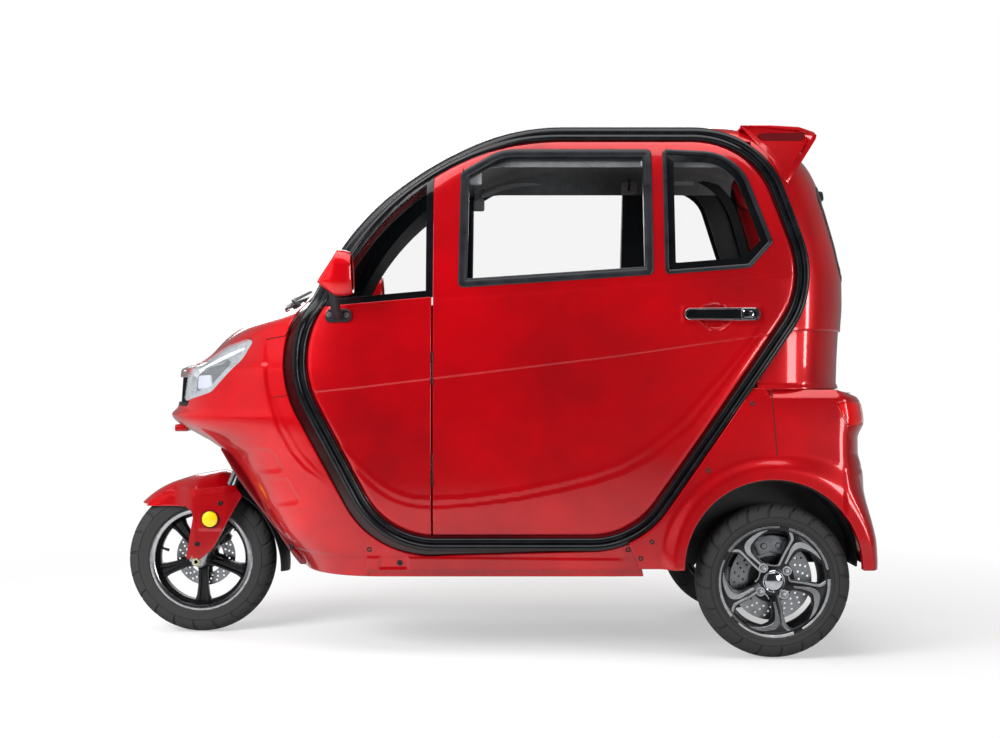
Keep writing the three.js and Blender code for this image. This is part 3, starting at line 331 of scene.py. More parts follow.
class Form:
    """A closed body form through levels, smooth between them."""

    def __init__(self, levels: Sequence[Level], tail_power: float) -> None:
        """Prepares one curve for each size.

        Args:
            levels: The levels, lowest first, in mm.
            tail_power: Roundness of the rear corners, from an ellipse at 2 to a box.
        """
        heights = [level.z * MM for level in levels]
        names = ("front", "rear", "half", "bow_front", "bow_rear")
        self.curves = {
            name: Profile(heights, [getattr(level, name) * MM for level in levels]) for name in names}
        self.curves["power"] = Profile(heights, [level.power for level in levels])
        self.tail_power = tail_power
        self.low, self.high = heights[0], heights[-1]
        self._known: dict[float, tuple[float, ...]] = {}

    def sizes(self, z: float) -> tuple[float, ...]:
        """Front, rear, half width, both bows and the nose power at a height.

        Args:
            z: Height, in metres.

        Returns:
            The front, the rear, the half width, both bows and the nose power.
        """
        key = round(z, 5)
        if key not in self._known:
            self._known[key] = tuple(curve.at(z) for curve in self.curves.values())
        return self._known[key]

    def half_at(self, x: float, z: float, depth: float = 0.0) -> float:
        """Half width of the form at a place seen from the side.

        Args:
            x: Place along the vehicle, in metres.
            z: Height, in metres.
            depth: How far the form is drawn in, in metres.

        Returns:
            The half width, in metres.
        """
        front, rear, half, bow_front, bow_rear, power = self.sizes(z)
        if x > bow_front:
            t, p = (x - bow_front) / max(front - depth - bow_front, 1e-4), power
        elif x < bow_rear:
            t, p = (bow_rear - x) / max(bow_rear - rear - depth, 1e-4), self.tail_power
        else:
            t, p = 0.0, 2.0
        return (half - depth) * max(0.0, 1.0 - min(1.0, t) ** p) ** (1.0 / p)

    def round_at(self, turn: float, z: float, depth: float = 0.0) -> Vector:
        """A point round the form's left half.

        Args:
            turn: From -1 at the rear end to 0, then along the straight side to 1, and round the
                front to its end at 2.
            z: Height, in metres.
            depth: How far the form is drawn in, in metres.

        Returns:
            The point.
        """
        front, rear, half, bow_front, bow_rear, power = self.sizes(z)
        if 0 <= turn <= 1:
            return Vector((bow_rear + (bow_front - bow_rear) * turn, half - depth, z))
        angle = (turn - 1 if turn > 1 else -turn) * math.pi / 2
        p = power if turn > 1 else self.tail_power
        bow, tip = (bow_front, front - depth) if turn > 1 else (bow_rear, rear + depth)
        x = bow + (tip - bow) * math.sin(angle) ** (2 / p)
        return Vector((x, (half - depth) * max(0.0, math.cos(angle)) ** (2 / p), z))

    def top_at(self, x: float, y: float, depth: float = 0.0) -> float:
        """Height of the form's upper side over a place in plan; all in metres.

        Args:
            x: Place along the vehicle, in metres.
            y: Place across it, in metres.
            depth: How far the form is drawn in, in metres.

        Returns:
            The height, in metres.
        """
        low, high = self.low, self.high
        if self.half_at(x, high, depth) > abs(y):
            return high - depth
        for _ in range(26):
            middle = (low + high) / 2
            if self.half_at(x, middle, depth) > abs(y):
                low = middle
            else:
                high = middle
        return low - depth

    def normal_at(self, x: float, z: float) -> Vector:
        """Outward direction of the left side at a place seen from the side.

        Args:
            x: Place along the vehicle, in metres.
            z: Height, in metres.

        Returns:
            The direction, of length 1.
        """
        gap = 0.002
        dx = (self.half_at(x + gap, z) - self.half_at(x - gap, z)) / (2 * gap)
        dz = (self.half_at(x, z + gap) - self.half_at(x, z - gap)) / (2 * gap)
        return Vector((-dx, 1.0, -dz)).normalized()


def cabin_form() -> Form:
    """The cabin's outer form from the sills to the roof.

    Returns:
        The form.
    """
    belt, top, nose_power, screen_power = 1066, 1610, 2.5, 3.0
    table = (
        (240, 594, -1080, 470, 300, -850), (272, 613, -1085, 476, 304, -850),
        (361, 696, -1090, 490, 312, -850), (490, 768, -1095, 503, 330, -850),
        (587, 837, -1100, 507, 345, -850), (632, 903, -1102, 508, 350, -850),
        (715, 1024, -1106, 509, 360, -850), (740, 1004, -1108, 508, 360, -850),
        (856, 992, -1112, 506, 360, -850), (880, 930, -1113, 505, 362, -850),
        (985, 797, -1120, 498, 372, -850), (1066, 590, -1126, 489, 380, -850),
        (1140, 540, -1126, 480, 340, -850), (1218, 489, -1114, 466, 290, -850),
        (1301, 419, -1092, 450, 222, -848), (1371, 348, -1072, 435, 150, -842),
        (1440, 258, -1046, 420, 60, -830), (1490, 181, -1018, 408, -20, -815),
        (1540, 85, -965, 390, -110, -785), (1575, 5, -905, 366, -190, -740),
        (1598, -80, -850, 332, -270, -690), (1610, -190, -770, 262, -350, -620))
    levels = []
    for z, front, rear, half, bow_front, bow_rear in table:
        rise = min(1.0, 4 * max(0.0, (z - belt) / (top - belt)))
        power = nose_power + (screen_power - nose_power) * rise
        levels.append(Level(z, front, rear, half, bow_front, bow_rear, power))
    return Form(levels, 2.6)


def tail_form() -> Form:
    """The lower rear body's outer form, over the rear wheels.

    Returns:
        The form.
    """
    half_length, nose, bow = 1179.5, -260, -1030
    table = (
        (270, 3, 520), (300, 0, 524), (472, 11.5, 532), (564, 19.5, 534), (610, 32.5, 533),
        (650, 32.5, 531), (702, 7.5, 526), (748, 14.5, 519), (780, 39.5, 512), (800, 67.5, 507.5))
    return Form([Level(z, nose, short - half_length, half, nose - 10, bow, 2.6)
                 for z, short, half in table], 2.6)


CABIN, TAIL = cabin_form(), tail_form()
RING = Outline((
    (322, 317, 280), (626, 890, 330), (240, 1598, 780),
    (-829, 1598, 290), (-996, 1105, 305), (-453, 317, 270)))
RECESS = Outline((
    (340, 295, 290), (664, 892, 345), (240, 1598, 790),
    (-829, 1598, 290), (-996, 1105, 305), (-453, 317, 270)))
RING_WIDTH = 38
HINGE_X = 165
DOOR_GAP = 10
SIDE_INNER_Y = 240
ROOF_FRONT_Z, ROOF_REAR_X = 1552, -800
BELT_Z = 1066


def off_middle(place: Vector) -> bool:
    """Whether a place in metres lies off the middle line, where a half sheet's edge is real."""
    return place.y > MIDDLE


# ------------------------------------------------------------------------------ the sheets
class Sheet:
    """A sheet of small faces that is cut to outlines, laid on a form and given an edge."""

    def __init__(self, bm: bmesh.types.BMesh | None = None) -> None:
        """Starts from a mesh, or from nothing."""
        self.bm = bm or bmesh.new()

    @classmethod
    def flat(cls, low: Point2, high: Point2, step: float, axes: tuple[int, int] = (0, 2)) -> "Sheet":
        """A flat sheet of squares.

        Args:
            low: Lowest corner, in mm.
            high: Highest corner, in mm.
            step: Size of a square, in mm.
            axes: The two axes that it lies along.

        Returns:
            The sheet, with the third axis at nought.
        """
        sheet = cls()
        spans = [(b - a) * MM for a, b in zip(low, high)]
        counts = [max(1, round(span / (step * MM))) for span in spans]
        bmesh.ops.create_grid(
            sheet.bm, x_segments=counts[0], y_segments=counts[1], size=0.5)
        for vert in sheet.bm.verts:
            place = Vector((0, 0, 0))
            place[axes[0]] = low[0] * MM + (vert.co.x + 0.5) * spans[0]
            place[axes[1]] = low[1] * MM + (vert.co.y + 0.5) * spans[1]
            vert.co = place
        return sheet

    @classmethod
    def wrapped(cls, form: Form, turns: Point2, heights: Point2, step: float,
                depth: float = 0.0, stretch: float = 1.0) -> "Sheet":
        """A sheet that lies round the left half of a form.

        Args:
            form: The form that it lies on.
            turns: First and last place round the form.
            heights: Lowest and highest edge, in mm.
            step: Size of a square at most, in mm.
            depth: How far under the form it lies, in mm.
            stretch: Above 1, the faces at the middle line are made finer.

        Returns:
            The sheet.
        """
        sheet = cls()
        middle = (heights[0] + heights[1]) / 2 * MM
        path = [form.round_at(turns[0] + (turns[1] - turns[0]) * i / 60, middle) for i in range(61)]
        length = sum((b - a).length for a, b in zip(path, path[1:])) * stretch
        columns = max(2, math.ceil(length / (step * MM)))
        rows = max(1, math.ceil((heights[1] - heights[0]) / step))
        bmesh.ops.create_grid(sheet.bm, x_segments=columns, y_segments=rows, size=0.5)
        lengths = [0.0]
        for a, b in zip(path, path[1:]):
            lengths.append(lengths[-1] + (b - a).length)
        by_length = Profile(lengths, [i / 60 for i in range(61)])
        for vert in sheet.bm.verts:
            share = by_length.at((vert.co.x + 0.5) * lengths[-1])
            turn = turns[0] + (turns[1] - turns[0]) * share
            z = (heights[0] + (heights[1] - heights[0]) * (vert.co.y + 0.5)) * MM
            vert.co = form.round_at(turn, z, depth * MM)
        return sheet

    def carve(self, planes: Sequence[Plane], keep_inside: bool,
              within: Sequence[Plane] = ()) -> "Sheet":
        """Cuts the sheet along a convex prism and drops what lies outside or inside it.

        Args:
            planes: The prism's planes, normals outwards.
            keep_inside: True keeps the inside, False makes a hole.
            within: Only faces that lie inside these planes too are cut and dropped.

        Returns:
            The same sheet.
        """
        bm, planes = self.bm, list(planes) + list(within)
        bm.verts.ensure_lookup_table()
        bm.verts.index_update()
        places = np.array([v.co for v in bm.verts]).reshape(-1, 3)
        points = np.array([p for p, _ in planes])
        normals = np.array([n for _, n in planes])
        reach = places @ normals.T - (points * normals).sum(1)
        edge_faces, sure = [], set()
        for face in bm.faces:
            rows = reach[[v.index for v in face.verts]]
            if (rows.min(0) >= -1e-7).any():
                continue
            if (rows.max(0) <= 1e-7).all():
                sure.add(face)
            else:
                edge_faces.append(face)
        for place, normal in planes:
            rest, crossing = [], []
            for face in edge_faces:
                gaps = [normal.dot(v.co - place) for v in face.verts]
                if min(gaps) < -1e-7 and max(gaps) > 1e-7:
                    crossing.append(face)
                elif max(gaps) <= 1e-7:
                    rest.append(face)
            if crossing:
                parts = list({e for f in crossing for e in f.edges}) + list(
                    {v for f in crossing for v in f.verts}) + crossing
                made = bmesh.ops.bisect_plane(
                    bm, geom=parts, dist=1e-7, plane_co=place, plane_no=normal)
                faces = {g for g in made["geom"] if isinstance(g, bmesh.types.BMFace)}
                rest += [f for f in faces if normal.dot(f.calc_center_median() - place) < 0]
            edge_faces = rest
        inside = sure | set(edge_faces)
        doomed = [f for f in bm.faces if f not in inside] if keep_inside else list(inside)
        bmesh.ops.delete(bm, geom=doomed, context="FACES")
        return self

    def trim(self, planes: Sequence[Plane]) -> "Sheet":
        """Keeps what lies inside the planes."""
        return self.carve(planes, True)

    def punch(self, planes: Sequence[Plane], within: Sequence[Plane] = ()) -> "Sheet":
        """Makes a hole where the sheet lies inside the planes."""
        return self.carve(planes, False, within)

    def score(self, line: Sequence[Point2], offsets: Sequence[float]) -> "Sheet":
        """Cuts the faces along a nearly straight line of points, so that a crease is sharp.

        Args:
            line: The points, in mm.
            offsets: Distances from it at which to cut, in mm.

        Returns:
            The same sheet.
        """
        for (x0, z0), (x1, z1) in zip(line, line[1:]):
            across = Vector((z1 - z0, 0.0, x0 - x1)).normalized()
            for offset in offsets:
                place = Vector((x0, 0.0, z0)) + across * offset
                bmesh.ops.bisect_plane(
                    self.bm, geom=self.bm.verts[:] + self.bm.edges[:] + self.bm.faces[:],
                    plane_co=place * MM, plane_no=across, dist=1e-6)
        return self

    def tidy(self, gap: float = 0.6) -> "Sheet":
        """Joins points that lie closer than a gap in mm.

        Args:
            gap: Most mm between points that are joined.

        Returns:
            The same sheet.
        """
        bmesh.ops.remove_doubles(self.bm, verts=self.bm.verts[:], dist=gap * MM)
        bmesh.ops.dissolve_degenerate(self.bm, edges=self.bm.edges[:], dist=1e-5)
        return self

    def lay(self, place: Callable[[Vector], Vector]) -> "Sheet":
        """Moves every point to the place that a function gives for it.

        Args:
            place: Gives a point's new place; both are in metres.

        Returns:
            The same sheet.
        """
        for vert in self.bm.verts:
            vert.co = place(vert.co)
        return self

    def on_side(self, form: Form, relief: Callable[[float, float], float] | None = None,
                depth: float = 0.0) -> "Sheet":
        """Lays a flat side sheet on the left side of a form.

        Args:
            form: The form.
            relief: How far the sheet stands proud, in mm, at a place in mm.
            depth: How far under the form it lies, in mm.

        Returns:
            The same sheet, with its faces outwards.
        """
        for vert in self.bm.verts:
            x, _, z = vert.co
            rise = relief(x / MM, z / MM) if relief else 0.0
            vert.co.y = form.half_at(x, z, depth * MM) + rise * MM
        return self.face(Vector((0, 1, 0)))

    def face(self, outwards: Vector) -> "Sheet":
        """Turns all faces to look the given way on average.

        Args:
            outwards: The way that the faces look.

        Returns:
            The same sheet.
        """
        bmesh.ops.recalc_face_normals(self.bm, faces=self.bm.faces[:])
        total = sum((f.normal * f.calc_area() for f in self.bm.faces), Vector((0, 0, 0)))
        if total.dot(outwards) < 0:
            bmesh.ops.reverse_faces(self.bm, faces=self.bm.faces[:])
        return self

    def press(self, depth_at: Callable[[Vector], float]) -> "Sheet":
        """Moves each point out along its normal by the mm that a function gives.

        Args:
            depth_at: Gives the mm for a place in metres; negative goes in.

        Returns:
            The same sheet.
        """
        self.bm.normal_update()
        moves = [(v, v.normal * (depth_at(v.co) * MM)) for v in self.bm.verts]
        for vert, move in moves:
            vert.co += move
        return self

    def roll(self, radius: float, depth: float, rows: int = 3,
             where: Callable[[Vector], bool] | None = None) -> "Sheet":
        """Gives the open edges a rounding and then a wall inwards.

        Args:
            radius: Radius of the rounding, in mm.
            depth: Depth of the wall behind it, in mm.
            rows: Faces across the rounding.
            where: Picks the edges by their middle; all of them without it.

        Returns:
            The same sheet.
        """
        bm = self.bm
        bm.normal_update()
        rim = [e for e in bm.edges if e.is_boundary
               and (where is None or where((e.verts[0].co + e.verts[1].co) / 2))]
        if not rim:
            return self
        sides: dict[bmesh.types.BMVert, Vector] = {}
        for edge in rim:
            face = edge.link_faces[0]
            along = edge.verts[1].co - edge.verts[0].co
            away = along.cross(face.normal)
            if away.dot(face.calc_center_median() - edge.verts[0].co) > 0:
                away.negate()
            for vert in edge.verts:
                sides[vert] = sides.get(vert, Vector((0, 0, 0))) + away
        state = {v: (v.co.copy(), side.normalized(), v.normal.copy()) for v, side in sides.items()}
        turns = [math.pi / 2 * (k + 1) / rows for k in range(rows)]
        shifts = [(radius * math.sin(a), radius * (1 - math.cos(a))) for a in turns]
        if depth > radius:
            shifts.append((radius, depth))
        for out, down in shifts:
            made = bmesh.ops.extrude_edge_only(bm, edges=rim)["geom"]
            fresh = {g for g in made if isinstance(g, bmesh.types.BMVert)}
            moved = {}
            for vert in fresh:
                old = next(e.other_vert(vert) for e in vert.link_edges
                           if e.other_vert(vert) in state)
                place, side, normal = state[old]
                vert.co = place + side * (out * MM) - normal * (down * MM)
                moved[vert] = state[old]
            rim = [g for g in made if isinstance(g, bmesh.types.BMEdge)
                   and g.verts[0] in fresh and g.verts[1] in fresh]
            state = moved
        return self

    def doubled(self) -> "Sheet":
        """Adds the sheet's mirror image on the other side and joins the two on the middle line.

        Returns:
            The same sheet, whole.
        """
        bm = self.bm
        for vert in bm.verts:
            if abs(vert.co.y) < ON_MIDDLE:
                vert.co.y = 0.0
        made = bmesh.ops.duplicate(bm, geom=bm.verts[:] + bm.edges[:] + bm.faces[:])["geom"]
        verts = [g for g in made if isinstance(g, bmesh.types.BMVert)]
        bmesh.ops.scale(bm, vec=(1, -1, 1), verts=verts)
        bmesh.ops.reverse_faces(bm, faces=[g for g in made if isinstance(g, bmesh.types.BMFace)])
        middle = [v for v in bm.verts if abs(v.co.y) < ON_MIDDLE]
        bmesh.ops.remove_doubles(bm, verts=middle, dist=1e-4)
        return self

    def copy(self, other_side: bool = False) -> "Sheet":
        """A copy of the sheet, on the other side of the vehicle if asked.

        Args:
            other_side: Whether the copy is mirrored to the right side.

        Returns:
            The copy.
        """
        copy = Sheet(self.bm.copy())
        if other_side:
            bmesh.ops.scale(copy.bm, vec=(1, -1, 1), verts=copy.bm.verts[:])
            bmesh.ops.reverse_faces(copy.bm, faces=copy.bm.faces[:])
        return copy

    def join(self, *others: "Sheet") -> "Sheet":
        """Adds other sheets' faces to this one.

        Args:
            *others: The sheets that are added; they stay as they are.

        Returns:
            The same sheet.
        """
        for other in others:
            mesh = bpy.data.meshes.new("joined")
            other.bm.to_mesh(mesh)
            self.bm.from_mesh(mesh)
            bpy.data.meshes.remove(mesh)
        return self


def block(low: Sequence[float], high: Sequence[float], round_by: float = 0.0,
          segments: int = 3) -> Sheet:
    """A block in mm with rounded edges.

    Args:
        low: Lowest corner.
        high: Highest corner.
        round_by: Radius of its edges.
        segments: Faces across each rounded edge.

    Returns:
        The block.
    """
    sheet = Sheet()
    bmesh.ops.create_cube(sheet.bm, size=1.0)
    size = [(b - a) * MM for a, b in zip(low, high)]
    bmesh.ops.scale(sheet.bm, vec=size, verts=sheet.bm.verts[:])
    middle = [(a + b) / 2 * MM for a, b in zip(low, high)]
    bmesh.ops.translate(sheet.bm, vec=middle, verts=sheet.bm.verts[:])
    return soften(sheet, round_by, segments)


def soften(sheet: Sheet, radius: float, segments: int = 3, angle: float = 30.0) -> Sheet:
    """Rounds the edges that turn by more than an angle.

    Args:
        sheet: What is rounded.
        radius: Width of the rounding, in mm.
        segments: Faces across it.
        angle: Least turn of an edge, in degrees.

    Returns:
        The same sheet.
    """
    if radius > 0:
        sheet.bm.normal_update()
        edges = [e for e in sheet.bm.edges if len(e.link_faces) == 2
                 and e.calc_face_angle(0.0) > math.radians(angle)]
        bmesh.ops.bevel(
            sheet.bm, geom=edges, offset=radius * MM, segments=segments, profile=0.5,
            affect="EDGES", clamp_overlap=True, material=-1)
    return sheet


def turned(profile: Sequence[Point2], centre: Sequence[float], steps: int = 96,
           axis: Sequence[float] = (0, 1, 0), closed: bool = True) -> Sheet:
    """A ring or cap turned about an axis.

    Args:
        profile: Points as (radius, place along the axis), in mm.
        centre: Point on the axis, in mm.
        steps: Faces round it.
        axis: Direction of the axis.
        closed: Whether the profile runs back to its first point.

    Returns:
        The turned sheet, with its faces outwards.
    """
    sheet = Sheet()
    bm = sheet.bm
    line = Vector(axis).normalized()
    across = line.orthogonal().normalized()
    origin = Vector(centre) * MM
    verts = [bm.verts.new(origin + across * (r * MM) + line * (y * MM)) for r, y in profile]
    edges = [bm.edges.new(pair) for pair in zip(verts, verts[1:])]
    if closed:
        edges.append(bm.edges.new((verts[-1], verts[0])))
    bmesh.ops.spin(bm, geom=verts + edges, cent=origin, axis=line, angle=math.tau,
                   steps=steps, use_merge=True)
    bmesh.ops.remove_doubles(bm, verts=bm.verts[:], dist=2e-6)
    bmesh.ops.dissolve_degenerate(bm, edges=bm.edges[:], dist=1e-7)
    bmesh.ops.recalc_face_normals(bm, faces=bm.faces[:])
    return sheet


def tube(path: Sequence[Sequence[float]], radii: float | Sequence[float], sides: int = 16,
         squash: float = 1.0, steps: int = 8) -> Sheet:
    """A round bar along a smooth path.

    Args:
        path: Points of the path, in mm.
        radii: Its radius, or one at each point, in mm.
        sides: Faces round it.
        squash: Ratio of its second width to its first.
        steps: Rings between two points of the path.

    Returns:
        The closed bar.
    """
    points = [Vector(p) * MM for p in path]
    sizes = [radii] * len(points) if isinstance(radii, (int, float)) else list(radii)
    count = len(points)
    fine, widths = [], []
    for i in range(count - 1):
        before = points[max(0, i - 1)]
        a, b, after = points[i], points[i + 1], points[min(count - 1, i + 2)]
        for k in range(steps):
            t = k / steps
            fine.append(0.5 * (2 * a + (b - before) * t + (2 * before - 5 * a + 4 * b - after) * t * t
                               + (3 * a - before - 3 * b + after) * t ** 3))
            widths.append(sizes[i] + (sizes[i + 1] - sizes[i]) * t)
    fine.append(points[-1])
    widths.append(sizes[-1])
    sheet = Sheet()
    bm = sheet.bm
    heading = (fine[1] - fine[0]).normalized()
    across = heading.orthogonal().normalized()
    rim: list[bmesh.types.BMEdge] = []
    first: list[bmesh.types.BMVert] = []
    for i, place in enumerate(fine):
        ahead = (fine[min(i + 1, len(fine) - 1)] - fine[max(i - 1, 0)]).normalized()
        across = heading.rotation_difference(ahead) @ across
        heading = ahead
        other = heading.cross(across)
        ring = []
        for k in range(sides):
            angle = math.tau * k / sides
            shift = across * math.cos(angle) + other * (math.sin(angle) * squash)
            ring.append(place + shift * (widths[i] * MM))
        if not first:
            first = [bm.verts.new(p) for p in ring]
            rim = [bm.edges.new((first[k], first[(k + 1) % sides])) for k in range(sides)]
            bm.faces.new(first[::-1])
            order = first
            continue
        made = bmesh.ops.extrude_edge_only(bm, edges=rim)["geom"]
        fresh = {g for g in made if isinstance(g, bmesh.types.BMVert)}
        follow = []
        for old in order:
            follow.append(next(e.other_vert(old) for e in old.link_edges
                               if e.other_vert(old) in fresh))
        for vert, point in zip(follow, ring):
            vert.co = point
        order = follow
        rim = [g for g in made if isinstance(g, bmesh.types.BMEdge)
               and g.verts[0] in fresh and g.verts[1] in fresh]
    bm.faces.new(order)
    bmesh.ops.recalc_face_normals(bm, faces=bm.faces[:])
    return sheet


def plate(outline: Sequence[Point2], y0: float, y1: float, round_by: float = 0.0,
          segments: int = 2, axes: tuple[int, int, int] = (0, 2, 1)) -> Sheet:
    """A flat plate of any outline, pushed out between two faces.

    Args:
        outline: Its points, in mm.
        y0: Place of its first face on the third axis.
        y1: Place of its second face.
        round_by: Radius of its edges.
        segments: Faces across each edge.
        axes: The outline's two axes and the plate's third.

    Returns:
        The closed plate.
    """
    sheet = Sheet()
    bm = sheet.bm
    verts = []
    for a, b in outline:
        place = Vector((0, 0, 0))
        place[axes[0]], place[axes[1]], place[axes[2]] = a * MM, b * MM, y0 * MM
        verts.append(bm.verts.new(place))
    face = bm.faces.new(verts)
    made = bmesh.ops.extrude_face_region(bm, geom=[face])["geom"]
    shift = Vector((0, 0, 0))
    shift[axes[2]] = (y1 - y0) * MM
    bmesh.ops.translate(bm, vec=shift, verts=[g for g in made if isinstance(g, bmesh.types.BMVert)])
    bmesh.ops.recalc_face_normals(bm, faces=bm.faces[:])
    return soften(sheet, round_by, segments, 20.0)


def emit(sheet: Sheet, name: str, finish: "Finish", body: str,
         stands_for: Iterable[str] = (), crease: float = 35.0) -> bpy.types.Object:
    """Makes a piece of the vehicle from a sheet.

    Args:
        sheet: Its mesh, which is used up.
        name: Its name.
        finish: Its finish.
        body: The body that it rides on.
        stands_for: CAD nodes that it replaces.
        crease: Edges that turn by more than these degrees stay sharp.

    Returns:
        The new object.
    """
    mesh = bpy.data.meshes.new(name)
    sheet.bm.to_mesh(mesh)
    sheet.bm.free()
    mesh.polygons.foreach_set("use_smooth", [True] * len(mesh.polygons))
    mesh.set_sharp_from_angle(angle=math.radians(crease))
    mesh.materials.append(finish.material())
    piece = bpy.data.objects.new(name, mesh)
    bpy.context.scene.collection.objects.link(piece)
    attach(piece, body)
    if stands_for:
        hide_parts(*stands_for)
    LOG.info("%s: %d faces", name, len(mesh.polygons))
    return piece


def emit_side(sheet: Sheet, side: Side, name: str, finish: "Finish",
              nodes: Iterable[str] = (), body: str = "cabin",
              crease: float = 35.0) -> bpy.types.Object:
    """Makes a piece that each side of the vehicle has, from a sheet of the left one.

    Args:
        sheet: Its mesh on the left side; it stays as it is.
        side: The side that the piece is for.
        name: Its name, to which the side is added.
        finish: Its finish.
        nodes: CAD nodes that it replaces, to which the side is added.
        body: The body that it rides on.
        crease: Edges that turn by more than these degrees stay sharp.

    Returns:
        The new object.
    """
    return emit(sheet.copy(side is Side.RIGHT), f"{name}_{side.word}", finish, body,
                [f"{node}_{side.word}" for node in nodes], crease)


# ------------------------------------------------------------------------------- finishes
def linear(code: str) -> tuple[float, float, float, float]:
    """An sRGB hex colour as linear values, with full opacity."""
    parts = [int(code[i:i + 2], 16) / 255 for i in (1, 3, 5)]
    return (*(c / 12.92 if c <= 0.04045 else ((c + 0.055) / 1.055) ** 2.4 for c in parts), 1.0)


def add_node(tree: bpy.types.NodeTree, kind: str, links: dict[Any, Any] | None = None,
             **settings: Any) -> bpy.types.Node:
    """Adds one node with its settings and its inputs.

    Args:
        tree: The node tree that takes it.
        kind: Blender's name of the node type.
        links: Input name or number, with a constant or the output that feeds it.
        settings: Attributes of the node.

    Returns:
        The new node.
    """
    node = tree.nodes.new(kind)
    for name, value in settings.items():
        setattr(node, name, value)
    for name, value in (links or {}).items():
        if isinstance(value, bpy.types.NodeSocket):
            tree.links.new(value, node.inputs[name])
        else:
            node.inputs[name].default_value = value
    return node


def ramp(tree: bpy.types.NodeTree, value: bpy.types.NodeSocket, span: tuple[float, float],
         levels: tuple[Any, Any], **settings: Any) -> bpy.types.NodeSocket:
    """Maps a value from one span to another; past the ends it stays as at the end.

    Args:
        tree: The node tree.
        value: The value.
        span: The values at both ends.
        levels: What they become.
        settings: Attributes of the node.

    Returns:
        The mapped value.
    """
    return add_node(tree, "ShaderNodeMapRange", {
        0: value, 1: span[0], 2: span[1], 3: levels[0], 4: levels[1]}, **settings).outputs[0]


def choose(tree: bpy.types.NodeTree, share: Any, first: Any, second: Any) -> bpy.types.NodeSocket:
    """Blends two levels, or two colours given as tuples of four.

    Args:
        tree: The node tree.
        share: Share of the second, from 0 to 1.
        first: The first level or colour.
        second: The second one.

    Returns:
        The blend.
    """
    if isinstance(first, tuple):
        return add_node(tree, "ShaderNodeMix", {0: share, 6: first, 7: second},
                        data_type="RGBA").outputs[2]
    return add_node(tree, "ShaderNodeMix", {0: share, 2: first, 3: second}).outputs[0]


def combine(tree: bpy.types.NodeTree, operation: str, first: Any,
            second: Any) -> bpy.types.NodeSocket:
    """Combines two values by one of Blender's operations, such as MAXIMUM.

    Args:
        tree: The node tree.
        operation: Name of the operation.
        first: The first value.
        second: The second value.

    Returns:
        The result.
    """
    return add_node(tree, "ShaderNodeMath", {0: first, 1: second}, operation=operation).outputs[0]


@dataclass(frozen=True)
class Finish:
    """A surface: its name, sRGB colour and gloss. Its kinds add what makes their texture."""

    name: str
    colour: str
    roughness: float
    metallic: float = 0.0
    shade: str = ""

    def fixed(self) -> dict[str, Any]:
        """Values of the surface shader that are the same all over."""
        return {"Base Color": linear(self.colour), "Roughness": self.roughness,
                "Metallic": self.metallic}

    def texture(self, tree: bpy.types.NodeTree, surface: bpy.types.Node,
                place: bpy.types.NodeSocket) -> None:
        """Links the texture to the surface shader."""
        self.vary(tree, surface, place, 60.0, 0.05)

    def material(self) -> bpy.types.Material:
        """The finish's material, made once.

        Returns:
            The material.
        """
        known = bpy.data.materials.get(self.name)
        if known:
            return known
        material = bpy.data.materials.new(self.name)
        material.use_nodes = True
        tree = material.node_tree
        tree.nodes.clear()
        surface = add_node(tree, "ShaderNodeBsdfPrincipled", self.fixed())
        add_node(tree, "ShaderNodeOutputMaterial", {"Surface": surface.outputs["BSDF"]})
        self.texture(tree, surface, add_node(tree, "ShaderNodeTexCoord").outputs["Object"])
        return material

    def vary(self, tree: bpy.types.NodeTree, surface: bpy.types.Node,
             place: bpy.types.NodeSocket, size: float, spread: float) -> None:
        """Mottles the colour towards the finish's second shade and the gloss with it.

        Args:
            tree: The node tree.
            surface: The surface shader.
            place: Coordinates in metres.
            size: Size of the patches, in mm.
            spread: How far the roughness moves each way.
        """
        patches = add_node(tree, "ShaderNodeTexNoise", {
            "Vector": place, "Scale": 1000 / size, "Detail": 4.0, "Roughness": 0.6})
        share = ramp(tree, patches.outputs["Fac"], (0.32, 0.68), (0.0, 1.0))
        if self.shade:
            blend = choose(tree, share, linear(self.colour), linear(self.shade))
            tree.links.new(blend, surface.inputs["Base Color"])
        gloss = ramp(tree, patches.outputs["Fac"], (0.3, 0.7),
                     (max(0.01, self.roughness - spread), self.roughness + spread))
        tree.links.new(gloss, surface.inputs["Roughness"])

    def bump(self, tree: bpy.types.NodeTree, surface: bpy.types.Node,
             height: bpy.types.NodeSocket, depth: float, below: bpy.types.NodeSocket | None = None,
             inputs: Sequence[str] = ("Normal",)) -> bpy.types.NodeSocket:
        """Raises the surface by a height pattern.

        Args:
            tree: The node tree.
            surface: The surface shader.
            height: The pattern, 0 to 1.
            depth: Its depth, in mm.
            below: A coarser bump that this one lies on.
            inputs: Inputs of the shader that take it.

        Returns:
            The raised normal.
        """
        raised = add_node(tree, "ShaderNodeBump", {
            "Height": height, "Distance": depth * MM, "Strength": 1.0})
        if below:
            tree.links.new(below, raised.inputs["Normal"])
        for name in inputs:
            tree.links.new(raised.outputs["Normal"], surface.inputs[name])
        return raised.outputs["Normal"]


